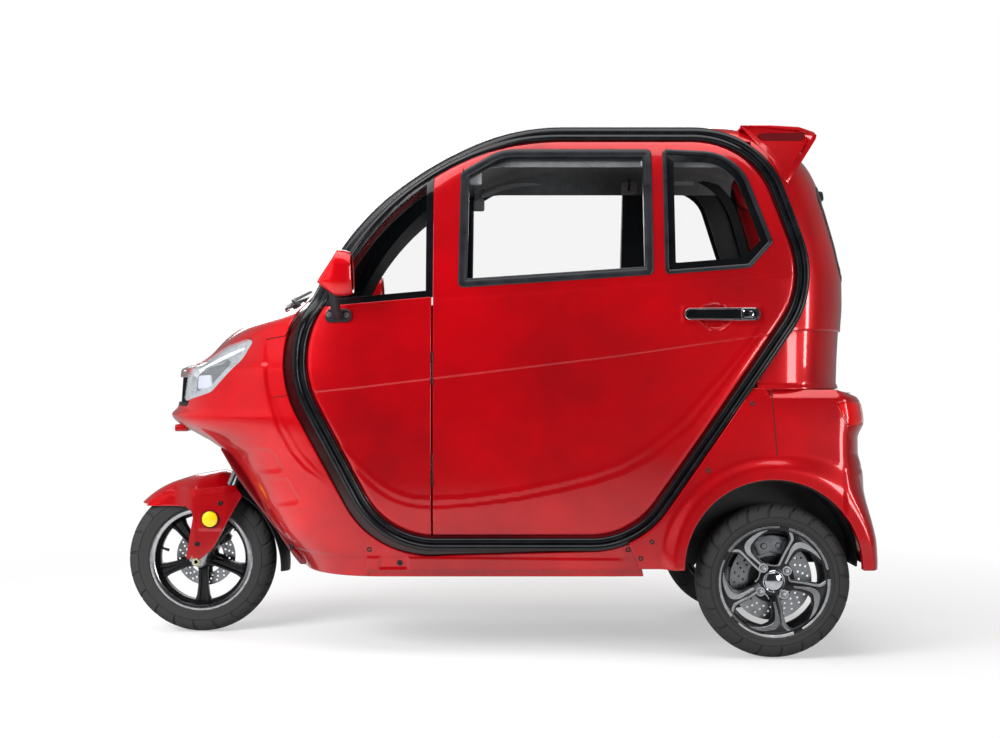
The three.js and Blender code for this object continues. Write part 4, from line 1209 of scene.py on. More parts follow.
@dataclass(frozen=True)
class CandyLacquer(Finish):
    """Candy red lacquer on moulded ABS: a metallic ground under a deep clear coat."""

    def fixed(self) -> dict[str, Any]:
        """A clear coat of polyurethane, index 1.5, over the tinted metallic ground.

        Returns:
            The values, by the name of the input.
        """
        return super().fixed() | {
            "Coat Weight": 1.0, "Coat Roughness": 0.07, "Coat IOR": 1.5,
            "Specular IOR Level": 0.3}

    def texture(self, tree: bpy.types.NodeTree, surface: bpy.types.Node,
                place: bpy.types.NodeSocket) -> None:
        """Broad patches of uneven colour, partly painted reflection of cloudy light on the panels,
        flakes, and the slow waves of a moulded panel.

        Args:
            tree: The node tree.
            surface: The surface shader.
            place: Coordinates in metres.
        """
        # Broad darker and lighter patches: uneven colour, and partly painted reflection of cloudy
        # light on the panels.
        self.vary(tree, surface, place, 420.0, 0.04)
        # Real flakes are 0.05 mm; these are 2 mm so that they show as a faint sparkle.
        flakes = add_node(tree, "ShaderNodeTexVoronoi", {"Vector": place, "Scale": 500.0})
        grain = self.bump(tree, surface, flakes.outputs["Distance"], 0.004)
        waves = add_node(tree, "ShaderNodeTexNoise", {
            "Vector": place, "Scale": 7.0, "Detail": 1.0})
        wavy = self.bump(tree, surface, waves.outputs["Fac"], 0.35, inputs=("Coat Normal",))
        for node in tree.nodes:
            if node.type == "BUMP" and node.outputs[0] == grain:
                tree.links.new(wavy, node.inputs["Normal"])


@dataclass(frozen=True)
class GrainedPlastic(Finish):
    """Moulded polypropylene with a leather-like spark-eroded grain."""

    grain: float = 1.6
    depth: float = 0.12

    def texture(self, tree: bpy.types.NodeTree, surface: bpy.types.Node,
                place: bpy.types.NodeSocket) -> None:
        """Small cells with rounded tops, and a little uneven gloss.

        Args:
            tree: The node tree.
            surface: The surface shader.
            place: Coordinates in metres.
        """
        self.vary(tree, surface, place, 90.0, 0.06)
        cells = add_node(tree, "ShaderNodeTexVoronoi", {
            "Vector": place, "Scale": 1000 / self.grain}, feature="SMOOTH_F1")
        self.bump(tree, surface, cells.outputs["Distance"], self.depth)


@dataclass(frozen=True)
class Rubber(Finish):
    """Extruded or moulded rubber: dark, with a faint bloom and a fine skin."""

    skin: float = 0.8
    depth: float = 0.05
    sheen: float = 0.5

    def fixed(self) -> dict[str, Any]:
        """Dusty rubber mirrors less than a fresh extrusion."""
        return super().fixed() | {"Specular IOR Level": self.sheen}

    def texture(self, tree: bpy.types.NodeTree, surface: bpy.types.Node,
                place: bpy.types.NodeSocket) -> None:
        """Grey bloom in patches over a fine skin.

        Args:
            tree: The node tree.
            surface: The surface shader.
            place: Coordinates in metres.
        """
        self.vary(tree, surface, place, 45.0, 0.07)
        skin = add_node(tree, "ShaderNodeTexNoise", {
            "Vector": place, "Scale": 1000 / self.skin, "Detail": 2.0})
        self.bump(tree, surface, skin.outputs["Fac"], self.depth)


@dataclass(frozen=True)
class CastMetal(Finish):
    """Cast or forged metal, plain or powder coated, with a fine sand grain."""

    grain: float = 1.2
    depth: float = 0.06

    def texture(self, tree: bpy.types.NodeTree, surface: bpy.types.Node,
                place: bpy.types.NodeSocket) -> None:
        """A fine pebbled skin with duller patches.

        Args:
            tree: The node tree.
            surface: The surface shader.
            place: Coordinates in metres.
        """
        self.vary(tree, surface, place, 30.0, 0.05)
        skin = add_node(tree, "ShaderNodeTexNoise", {
            "Vector": place, "Scale": 1000 / self.grain, "Detail": 3.0, "Roughness": 0.7})
        self.bump(tree, surface, skin.outputs["Fac"], self.depth)


@dataclass(frozen=True)
class MachinedMetal(Finish):
    """Metal cut on a lathe, with fine rings about the wheel's axle."""

    centre: tuple[float, float] = (0.0, 0.0)
    pitch: float = 1.5

    def texture(self, tree: bpy.types.NodeTree, surface: bpy.types.Node,
                place: bpy.types.NodeSocket) -> None:
        """Turning marks as rings; real ones are 0.2 mm apart and wouldn't show.

        Args:
            tree: The node tree.
            surface: The surface shader.
            place: Coordinates in metres.
        """
        self.vary(tree, surface, place, 25.0, 0.05)
        centred = add_node(tree, "ShaderNodeMapping", {
            "Vector": place, "Location": (-self.centre[0] * MM, 0.0, -self.centre[1] * MM)})
        rings = add_node(tree, "ShaderNodeTexWave", {
            "Vector": centred.outputs[0], "Scale": 50 / self.pitch, "Distortion": 0.4,
            "Detail": 1.0}, wave_type="RINGS", rings_direction="Y")
        self.bump(tree, surface, rings.outputs["Fac"], 0.02)


@dataclass(frozen=True)
class Chrome(Finish):
    """Bright chromium plate with the faintest haze of handling."""

    def texture(self, tree: bpy.types.NodeTree, surface: bpy.types.Node,
                place: bpy.types.NodeSocket) -> None:
        """Hazy patches only."""
        self.vary(tree, surface, place, 20.0, 0.03)


@dataclass(frozen=True)
class ClearPane(Finish):
    """Toughened glass or clear acrylic as a thin pane."""

    opacity: float = 0.12
    transmission: float = 0.0

    def fixed(self) -> dict[str, Any]:
        """Mostly open, with the reflections of a polished pane.

        Returns:
            The values, by the name of the input.
        """
        return super().fixed() | {
            "Alpha": self.opacity, "Transmission Weight": self.transmission, "IOR": 1.5,
            "Specular IOR Level": 0.8}

    def texture(self, tree: bpy.types.NodeTree, surface: bpy.types.Node,
                place: bpy.types.NodeSocket) -> None:
        """A trace of wiping marks in the gloss.

        Args:
            tree: The node tree.
            surface: The surface shader.
            place: Coordinates in metres.
        """
        streaks = add_node(tree, "ShaderNodeMapping", {"Vector": place, "Scale": (6.0, 6.0, 22.0)})
        smears = add_node(tree, "ShaderNodeTexNoise", {
            "Vector": streaks.outputs[0], "Scale": 1.0, "Detail": 3.0})
        gloss = ramp(tree, smears.outputs["Fac"], (0.35, 0.75),
                     (self.roughness, self.roughness + 0.04))
        tree.links.new(gloss, surface.inputs["Roughness"])


@dataclass(frozen=True)
class LampLens(Finish):
    """Polycarbonate lens with fine moulded flutes."""

    opacity: float = 0.35
    flute: float = 6.0

    def fixed(self) -> dict[str, Any]:
        """A clear or tinted plastic skin, index 1.58."""
        return super().fixed() | {"Alpha": self.opacity, "IOR": 1.58, "Coat Weight": 0.5}

    def texture(self, tree: bpy.types.NodeTree, surface: bpy.types.Node,
                place: bpy.types.NodeSocket) -> None:
        """Flutes that run up the lens.

        Args:
            tree: The node tree.
            surface: The surface shader.
            place: Coordinates in metres.
        """
        self.vary(tree, surface, place, 40.0, 0.02)
        flutes = add_node(tree, "ShaderNodeTexWave", {
            "Vector": place, "Scale": 50 / self.flute}, bands_direction="X")
        self.bump(tree, surface, flutes.outputs["Fac"], 0.12)


@dataclass(frozen=True)
class Leather(Finish):
    """Black leathercloth on foam: fine creased cells and a soft sheen."""

    grain: float = 2.4

    def fixed(self) -> dict[str, Any]:
        """A thin sheen from the coated cloth."""
        return super().fixed() | {"Sheen Weight": 0.15, "Sheen Roughness": 0.4}

    def texture(self, tree: bpy.types.NodeTree, surface: bpy.types.Node,
                place: bpy.types.NodeSocket) -> None:
        """Cells 2.4 mm across over soft broad creases.

        Args:
            tree: The node tree.
            surface: The surface shader.
            place: Coordinates in metres.
        """
        self.vary(tree, surface, place, 70.0, 0.07)
        creases = add_node(tree, "ShaderNodeTexNoise", {
            "Vector": place, "Scale": 28.0, "Detail": 3.0})
        broad = self.bump(tree, surface, creases.outputs["Fac"], 0.6)
        cells = add_node(tree, "ShaderNodeTexVoronoi", {
            "Vector": place, "Scale": 1000 / self.grain}, feature="SMOOTH_F1")
        self.bump(tree, surface, cells.outputs["Distance"], 0.25, broad)


@dataclass(frozen=True)
class Woven(Finish):
    """Woven or looped cloth: threads in two directions."""

    thread: float = 3.0

    def fixed(self) -> dict[str, Any]:
        """Loose fibres at the surface catch the light."""
        return super().fixed() | {"Sheen Weight": 0.4, "Sheen Roughness": 0.6}

    def texture(self, tree: bpy.types.NodeTree, surface: bpy.types.Node,
                place: bpy.types.NodeSocket) -> None:
        """Threads 3 mm apart, coarser than the real 1 mm so that they show.

        Args:
            tree: The node tree.
            surface: The surface shader.
            place: Coordinates in metres.
        """
        self.vary(tree, surface, place, 40.0, 0.05)
        bands = [add_node(tree, "ShaderNodeTexWave", {
            "Vector": place, "Scale": 50 / self.thread, "Distortion": 0.6},
            bands_direction=axis).outputs["Fac"] for axis in ("X", "Y")]
        self.bump(tree, surface, combine(tree, "MAXIMUM", *bands), 0.4)


# The deep, wet red of the outer panels, with slow waves in what it mirrors.
RED = CandyLacquer("candy_red_lacquer", "#D4000F", 0.34, 0.4, shade="#A2000C")
# The body red, darkened and dulled as painted shade, for the channel round the doors and the flanges
# beside the front wheel.
CHANNEL_SHADE_RED = CandyLacquer("candy_red_channel", "#7C0009", 0.3, 0.3, shade="#4A0006")
# The body red, painted near-black as shade, on the sunk faces beside the door seal.
RECESS_SHADE_RED = CandyLacquer("candy_red_recess", "#3C0106", 0.4, 0.2, shade="#1C0003")
# Soft, dark lines that frame the doors, with long narrow highlights.
SEAL = Rubber("extruded_black_rubber", "#0B0C0E", 0.22, shade="#15161A")
# Matt black with a grey bloom, so that the tread reads by its shadows.
TYRE = Rubber("tyre_rubber", "#0E0E10", 0.55, shade="#17171A", skin=2.0, depth=0.12, sheen=0.25)
# Dark, finely grained plastic with a broad dull highlight.
BLACK = GrainedPlastic("grained_black_plastic", "#121316", 0.5, shade="#1B1C20")
# A black that mirrors sharply, as on window borders and the grille.
GLOSS_BLACK = GrainedPlastic("gloss_black_plastic", "#0A0B0D", 0.14, shade="#101114", depth=0.004)
# Mid-grey grained plastic that stays readable behind the windows.
TRIM = GrainedPlastic("grained_grey_plastic", "#4A4C52", 0.62, shade="#3D3F45")
# Pale woven cloth that lights up the inside of the roof.
HEADLINER = Woven("woven_headliner", "#8C8F92", 0.9, shade="#7A7D80")
# Loose dark loops that swallow the light on the floor.
CARPET = Woven("loop_carpet", "#1D1E21", 0.95, shade="#28292D", thread=5.0)
# Black seats with a soft sheen over their creases.
LEATHER = Leather("black_leathercloth", "#17171A", 0.5, shade="#101013")
# A faint cool tint and clear reflections over an open view inside.
GLASS = ClearPane("toughened_glass", "#20262A", 0.03, opacity=0.05)
# A clear skin over the headlamp's bowl, with fine upright flutes.
LENS = LampLens("clear_lamp_lens", "#DDE3E8", 0.06, opacity=0.16)
# A warm yellow spot on each fork cover.
AMBER = LampLens("amber_reflector", "#FFC400", 0.25, opacity=1.0, flute=3.0)
# Deep red reflectors low on the nose.
RED_LENS = LampLens("red_lamp_lens", "#9C0A14", 0.12, opacity=0.94)
# Silvered bowls that throw soft light back out of the lamps.
REFLECTOR = Chrome("silvered_reflector", "#E4E8EC", 0.16, 0.85, shade="#C9CFD6")
# The brightest metal, for the handles, the caps and the fork tubes.
CHROME = Chrome("bright_chrome", "#DADDE2", 0.08, 1.0, shade="#C2C6CC")
# Silver metal with a broad, soft highlight.
SATIN = CastMetal("satin_silver_metal", "#B4B7BB", 0.34, 0.9, shade="#9B9EA3")
# Dull grey alloy, pebbled as it came out of the sand.
CAST = CastMetal("sand_cast_alloy", "#8E9195", 0.5, 0.8, shade="#7C7F83")
# Black metal with a fine pebbled skin and soft highlights.
POWDER = CastMetal("black_powder_coat", "#0D0E10", 0.3, 0.1, shade="#16171A")
# Half-matt black under the floor, quiet beside the wheels.
ENAMEL = CastMetal("chassis_enamel", "#191A1D", 0.4, 0.2, shade="#222327")
# A bright turned ring between the black casting and the tyre.
FRONT_CUT = MachinedMetal(
    "front_rim_turned_lip", "#C9CBCE", 0.24, 1.0, shade="#B0B2B6", centre=(939, 239.3))
# Bright turned faces that stand out against the black casting.
REAR_CUT = MachinedMetal(
    "rear_rim_turned_face", "#D2D4D7", 0.2, 1.0, shade="#B9BBBF", centre=(-850, 228.9))
# Grey steel with rings that catch the light as a fan.
DISC_STEEL = MachinedMetal(
    "brake_disc_steel", "#9FA2A6", 0.26, 1.0, shade="#888B90", centre=(939, 239.3), pitch=2.0)


# --------------------------------------------------------------------------------- studio
WHITE = (1.0, 1.0, 1.0, 1.0)


@dataclass
class Softbox:
    """A soft lamp: where it stands, where it points, its size in metres and its power."""

    name: str
    stand: tuple[float, float, float]
    aim: tuple[float, float, float]
    size: tuple[float, float]
    watts: float
    mirrored: bool = True


@dataclass
class Studio:
    """Plain pale floor, soft lamps and the camera."""

    eye: tuple[float, float, float] = (-0.037, 5.0, 0.859)
    lens: float = 54.63
    ambient: float = 0.2
    floor_radius: float = 40.0
    floor_drop: float = 0.0004
    cloth_level: float = 0.35
    cloth_seen: float = 0.93
    softboxes: list[Softbox] = field(default_factory=lambda: [
        Softbox("top_softbox", (0.2, 0.9, 4.0), (0.0, 0.0, 0.6), (5.0, 3.0), 115.0),
        Softbox("front_key", (2.1, 2.1, 1.5), (0.5, 0.4, 0.8), (1.5, 1.5), 108.0, False),
        Softbox("rear_strip", (-3.9, 2.5, 1.8), (-0.9, 0.3, 0.9), (0.4, 1.5), 30.0),
        Softbox("rear_side", (-2.8, 3.9, 0.9), (-0.8, 0.4, 0.75), (1.0, 1.4), 40.0),
        Softbox("back_fill", (0.3, -4.2, 2.6), (0.0, 0.0, 0.9), (4.0, 2.0), 90.0),
    ])

    def build(self) -> None:
        """Makes the camera, the lamps, the world and the floor."""
        scene = bpy.context.scene
        scene.view_settings.view_transform = "Standard"
        self.camera()
        for box in self.softboxes:
            lamp = bpy.data.lights.new(box.name, "AREA")
            lamp.shape, lamp.energy = "RECTANGLE", box.watts
            lamp.size, lamp.size_y = box.size
            stand = bpy.data.objects.new(box.name, lamp)
            stand.visible_glossy = box.mirrored
            heading = Vector(box.aim) - Vector(box.stand)
            stand.matrix_world = Matrix.Translation(box.stand) @ heading.to_track_quat(
                "-Z", "Y").to_matrix().to_4x4()
            scene.collection.objects.link(stand)
        self.world()
        self.floor()

    def camera(self) -> None:
        """A level camera square to the vehicle's left side."""
        data = bpy.data.cameras.new("camera")
        data.lens, data.sensor_width = self.lens, 36.0
        camera = bpy.data.objects.new("camera", data)
        camera.matrix_world = Matrix.Translation(self.eye) @ Matrix.Rotation(
            math.pi, 4, "Z") @ Matrix.Rotation(math.pi / 2, 4, "X")
        bpy.context.scene.collection.objects.link(camera)
        bpy.context.scene.camera = camera

    def world(self) -> None:
        """White to the eye, mostly dim to a mirror, and a plain level to everything else."""
        world = bpy.data.worlds.new("studio")
        bpy.context.scene.world = world
        world.use_nodes = True
        tree = world.node_tree
        tree.nodes.clear()
        rays = add_node(tree, "ShaderNodeLightPath").outputs
        way = add_node(tree, "ShaderNodeSeparateXYZ", {
            0: add_node(tree, "ShaderNodeTexCoord").outputs["Generated"]})
        # In a mirror the near side is nearly dark and the way ahead of the nose is bright.
        behind = ramp(tree, way.outputs["Y"], (-0.15, 0.35), (0.2, 0.03))
        ahead = ramp(tree, way.outputs["X"], (0.5, 0.85), (0.0, 0.4),
                     interpolation_type="SMOOTHSTEP")
        mirrored = combine(tree, "MAXIMUM", behind, ahead)
        shiny = choose(tree, rays["Is Glossy Ray"], self.ambient, mirrored)
        open_ray = combine(tree, "MAXIMUM", rays["Is Camera Ray"], rays["Is Transmission Ray"])
        level = choose(tree, open_ray, shiny, 1.0)
        sky = add_node(tree, "ShaderNodeBackground", {"Color": WHITE, "Strength": level})
        add_node(tree, "ShaderNodeOutputWorld", {"Surface": sky.outputs[0]})

    def floor(self) -> None:
        """A wide pale floor that fades to white away from the vehicle and keeps its shadow."""
        mesh = bpy.data.meshes.new("floor")
        bm = bmesh.new()
        bmesh.ops.create_circle(bm, cap_ends=True, segments=96,
                                radius=self.floor_radius)
        bmesh.ops.translate(bm, vec=(0, 0, -self.floor_drop), verts=bm.verts[:])
        bm.to_mesh(mesh)
        bm.free()
        floor = bpy.data.objects.new("floor", mesh)
        bpy.context.scene.collection.objects.link(floor)
        material = bpy.data.materials.new("studio_floor")
        material.use_nodes = True
        tree = material.node_tree
        tree.nodes.clear()
        rays = add_node(tree, "ShaderNodeLightPath").outputs
        place = add_node(tree, "ShaderNodeTexCoord").outputs["Object"]
        away = add_node(tree, "ShaderNodeVectorMath", {0: place}, operation="LENGTH")
        fade = ramp(tree, away.outputs["Value"], (1.2, 3.0), (0.45, 1.0))
        # Beyond the pale cloth the studio is dark, which is what the sides mirror.
        apart = add_node(tree, "ShaderNodeSeparateXYZ", {0: place})
        cloth = ramp(tree, apart.outputs["Y"], (2.4, 3.7), (0.4, 0.04))
        bright = choose(tree, rays["Is Glossy Ray"], 1.0, cloth)
        seen = combine(tree, "MAXIMUM", rays["Is Camera Ray"], rays["Is Glossy Ray"])
        seen = combine(tree, "MAXIMUM", seen, rays["Is Transmission Ray"])
        share = combine(tree, "MULTIPLY", seen, fade)
        # The cloth throws less light up at the vehicle than its own paleness would.
        pale = choose(tree, seen, (*(self.cloth_level,) * 3, 1.0), (*(self.cloth_seen,) * 3, 1.0))
        matt = add_node(tree, "ShaderNodeBsdfDiffuse", {"Color": pale})
        glow = add_node(tree, "ShaderNodeEmission", {"Color": WHITE, "Strength": bright})
        blend = add_node(tree, "ShaderNodeMixShader", {
            0: share, 1: matt.outputs[0], 2: glow.outputs[0]})
        add_node(tree, "ShaderNodeOutputMaterial", {"Surface": blend.outputs[0]})
        mesh.materials.append(material)


# ---------------------------------------------------------------------- sides and doors
def on_form(form: Form, x: float, z: float, rise: float) -> Vector:
    """A point that stands a rise in mm proud of the form's left side; x and z are in mm."""
    place = Vector((x * MM, form.half_at(x * MM, z * MM), z * MM))
    return place + form.normal_at(x * MM, z * MM) * (rise * MM)


def band(outline: Outline, rows: Sequence[tuple[float, float]], form: Form = CABIN,
         facet: float = 3.0, run: float = 14.0, closed: bool = False) -> Sheet:
    """A moulding that runs round an outline on the left side of a form.

    Args:
        outline: The outline, in mm.
        rows: Its cross-section as (distance inwards, rise above the form), in mm.
        form: The form that it lies on.
        facet: Degrees of arc between rings of points.
        run: Most mm between points on a straight edge.
        closed: Whether the last row joins the first, for a moulding that is solid.

    Returns:
        The moulding.
    """
    sheet = Sheet()
    bm = sheet.bm
    loops = [[on_form(form, x, z, rise) for x, z in outline.loop(shift, facet, run)]
             for shift, rise in rows]
    verts = [bm.verts.new(p) for p in loops[0]]
    count = len(verts)
    rim = [bm.edges.new((verts[k], verts[(k + 1) % count])) for k in range(count)]
    first = list(rim)
    order = verts
    for loop in loops[1:]:
        made = bmesh.ops.extrude_edge_only(bm, edges=rim)["geom"]
        fresh = {g for g in made if isinstance(g, bmesh.types.BMVert)}
        follow = [next(e.other_vert(v) for e in v.link_edges if e.other_vert(v) in fresh)
                  for v in order]
        for vert, point in zip(follow, loop):
            vert.co = point
        order = follow
        rim = [g for g in made if isinstance(g, bmesh.types.BMEdge)
               and g.verts[0] in fresh and g.verts[1] in fresh]
    if closed:
        bmesh.ops.bridge_loops(bm, edges=first + rim)
    bmesh.ops.recalc_face_normals(bm, faces=bm.faces[:])
    if not closed:
        sheet.face(Vector((0, 1, 0)))
    return sheet


def disc_on(form: Form, x: float, z: float, profile: Sequence[Point2], steps: int = 20) -> Sheet:
    """A small round part, such as a screw head, set square on the left side of a form.

    Args:
        form: The form.
        x: Place along the vehicle, in mm.
        z: Height, in mm.
        profile: Its half section as (radius, rise), in mm, from its middle outwards.
        steps: Faces round it.

    Returns:
        The part.
    """
    foot = on_form(form, x, z, 0.0)
    axis = form.normal_at(x * MM, z * MM)
    return turned(profile, tuple(foot / MM), steps, axis, closed=False)


SCREW = ((0.0, -2.0), (3.0, -2.0), (3.6, 0.4), (6.0, 1.4), (7.6, 0.6), (8.4, -1.5))
DOOR_WINDOW = Outline((
    (87, 1102, 15), (-494, 1141, 15), (-494, 1524, 15), (-40, 1524, 150), (80, 1453, 20)))
QUARTER_WINDOW = Outline((
    (-530, 1142, 12), (-783, 1162, 20), (-853, 1238, 15), (-756, 1512, 150), (-530, 1525, 15)))
PANEL_EDGE = RING.moved(RING_WIDTH + 9.0)
DOOR_EDGE = RING.moved(RING_WIDTH + DOOR_GAP + 1.0)


@dataclass
class SidePressings:
    """The creases that run across the front side panel and the door, as seen from the side."""

    belt: tuple[Point2, ...] = ((560, 1028), (165, 1062), (-333, 1098), (-900, 1140))
    waist: tuple[Point2, ...] = ((560, 786), (400, 802), (22, 847), (-392, 898), (-800, 956))
    inner: tuple[Point2, ...] = (
        (600, 760), (470, 660), (400, 600), (356, 558), (318, 524), (280, 500), (245, 486),
        (215, 479), (161, 476), (80, 480), (22, 486), (-90, 503), (-215, 530), (-310, 554),
        (-392, 583), (-470, 628), (-570, 705), (-690, 840), (-798, 968))
    outer: tuple[Point2, ...] = (
        (620, 735), (480, 633), (410, 575), (366, 533), (326, 498), (286, 473), (248, 459),
        (215, 452), (156, 449), (80, 453), (22, 459), (-90, 474), (-215, 499), (-310, 522),
        (-400, 552), (-490, 600), (-600, 690), (-705, 820), (-800, 945))
    edge: Outline = field(default_factory=lambda: RING.moved(RING_WIDTH))
    edge_sink: float = 7.0
    belt_rise: float = 1.6
    waist_sink: float = 3.0

    def __post_init__(self) -> None:
        """Prepares the panel's edge as planes."""
        self._edge = [(Vector((p.x, p.z)) / MM, Vector((n.x, n.z)))
                      for p, n in self.edge.planes(6.0)]

    def relief(self, x: float, z: float) -> float:
        """How far the panel stands proud of the plain form, in mm, at a place in mm.

        Args:
            x: Place along the vehicle, in mm.
            z: Height, in mm.

        Returns:
            The rise, in mm; negative where the panel is sunk.
        """
        here = Vector((x, z))
        inside = min(-(here - p).dot(n) for p, n in self._edge)
        rise = -self.edge_sink * (1.0 - smooth((inside - 3.0) / 13.0)) if inside < 16 else 0.0
        over_belt = polyline_distance(self.belt, x, z)[0]
        rise += self.belt_rise * smooth((over_belt + 3.0) / 6.0) * math.exp(
            -max(over_belt, 0.0) / 90.0)
        under = polyline_distance(self.waist, x, z)[0]
        rise -= self.waist_sink * smooth((under + 3.0) / 6.0) * math.exp(-max(under, 0.0) / 120.0)
        inner = polyline_distance(self.inner, x, z)[0]
        outer = polyline_distance(self.outer, x, z)[0]
        fade = smooth((1020 - z) / 80)
        if fade > 0:
            step = 2.6 * smooth((inner + 2.5) / 5.0) + 2.2 * smooth((outer + 2.5) / 5.0)
            slopes = 0.07 * min(27.0, max(0.0, inner)) + 0.06 * max(0.0, outer)
            rise += fade * (step - slopes)
        return rise


PRESSINGS = SidePressings()


@dataclass
class DoorRing:
    """The black double seal in its red channel, round the door and the front side panel."""

    side: Side
    seal: tuple[tuple[float, float], ...] = (
        (-1.0, -16.0), (-0.6, 0.0), (1.6, 5.0), (5.0, 8.4), (9.5, 9.6), (14.0, 8.6), (17.5, 5.4),
        (19.5, 1.6), (20.6, -1.2), (22.0, -0.6), (24.4, 2.2), (28.5, 4.0), (33.0, 3.0),
        (36.6, 0.0), (38.2, -4.5), (38.8, -11.0))
    bed: tuple[tuple[float, float], ...] = (
        (2.0, -8.0), (36.0, -9.0), (36.5, -24.0), (37.0, -43.0), (2.0, -43.0))
    channel: tuple[tuple[float, float], ...] = (
        (36.0, -12.0), (38.5, -8.6), (41.0, -10.2), (46.0, -11.8), (49.4, -13.0), (49.6, -30.0))
    recess_sink: float = 11.0

    def build(self) -> None:
        """Makes the seal, the ring that carries it, the channel and the recess beside it."""
        seal = band(RING, self.seal, facet=2.5, run=20.0)
        emit_side(seal, self.side, "door_seal", SEAL)
        bed = band(RING, self.bed, facet=4.0, closed=True)
        emit_side(bed, self.side, "door_ring", BLACK, ["side_frame"])
        # The channel and the recess beside the seal are the body red, darkened as painted shade.
        channel = band(RING, self.channel, facet=3.0, run=20.0)
        emit_side(channel, self.side, "door_channel", CHANNEL_SHADE_RED)
        recess = Sheet.flat((-470, 280), (670, 1300), 6.0)
        recess.trim(RECESS.planes(3.0)).punch(RING.moved(3.0).planes(3.0)).tidy()
        recess.on_side(CABIN, lambda x, z: -self.recess_sink).roll(0.5, 3.0, 2)
        emit_side(recess, self.side, "seal_recess", RECESS_SHADE_RED)


@dataclass
class FrontSidePanel:
    """The fixed panel ahead of the door, with its lining and its three-cornered window."""

    side: Side
    step: float = 6.0
    gap_x: float = HINGE_X + 4.5
    strip: float = 7.0
    sill: tuple[Point2, Point2] = ((170, 1072), (395, 1052))
    post_x: float = HINGE_X - 2.5

    def window(self, shift: float, ring_shift: float | None = None) -> list[Plane]:
        """The window's planes, moved inwards.

        Args:
            shift: How far, in mm.
            ring_shift: How far along the door seal, in mm, if that differs.

        Returns:
            The planes.
        """
        ring_shift = shift if ring_shift is None else ring_shift
        (x0, z0), (x1, z1) = self.sill
        along = Vector((x1 - x0, z1 - z0)).normalized()
        down = Vector((along.y, -along.x))
        if down.y > 0:
            down.negate()
        place = (Vector((x0, z0)) - down * shift) * MM
        planes = [(Vector((place.x, 0, place.y)), Vector((down.x, 0, down.y)))]
        planes += box_planes((self.post_x + shift, None, None), OPEN)
        return planes + RING.moved(RING_WIDTH + self.strip + ring_shift).planes(4.0)

    def build(self) -> None:
        """Makes the panel, its lining and its window."""
        panel = Sheet.flat((150, 350), (560, 1460), self.step)
        panel.trim(PANEL_EDGE.planes(4.0)).trim(box_planes((self.gap_x, None, None), OPEN))
        panel.punch(self.window(0.0)).score(PRESSINGS.waist, (-3.0, 3.0)).tidy()
        panel.on_side(CABIN, PRESSINGS.relief)
        panel.roll(2.0, 20.0)
        emit_side(panel, self.side, "front_side_panel", RED, ["front_panel"])
        lining = Sheet.flat((150, 350), (560, 1460), 14.0)
        lining.trim(PANEL_EDGE.planes(8.0)).trim(box_planes((self.gap_x, None, None), OPEN))
        lining.punch(self.window(12.0)).tidy().on_side(CABIN, None, 34.0).roll(1.0, 2.0)
        bmesh.ops.reverse_faces(lining.bm, faces=lining.bm.faces[:])
        emit_side(lining, self.side, "front_side_lining", BLACK)
        pane = Sheet.flat((150, 1050), (560, 1460), 12.0)
        pane.trim(self.window(1.0)).tidy().on_side(CABIN, None, 3.0)
        border = pane.copy()
        border.punch(self.window(21.0, 10.0))
        emit_side(pane, self.side, "front_window_pane", GLASS,
                  ["front_quarter_glass"])
        border.lay(lambda p: p + Vector((0, 0.0006, 0))).roll(0.6, 5.0, rows=2)
        emit_side(border, self.side, "front_window_border", GLOSS_BLACK)


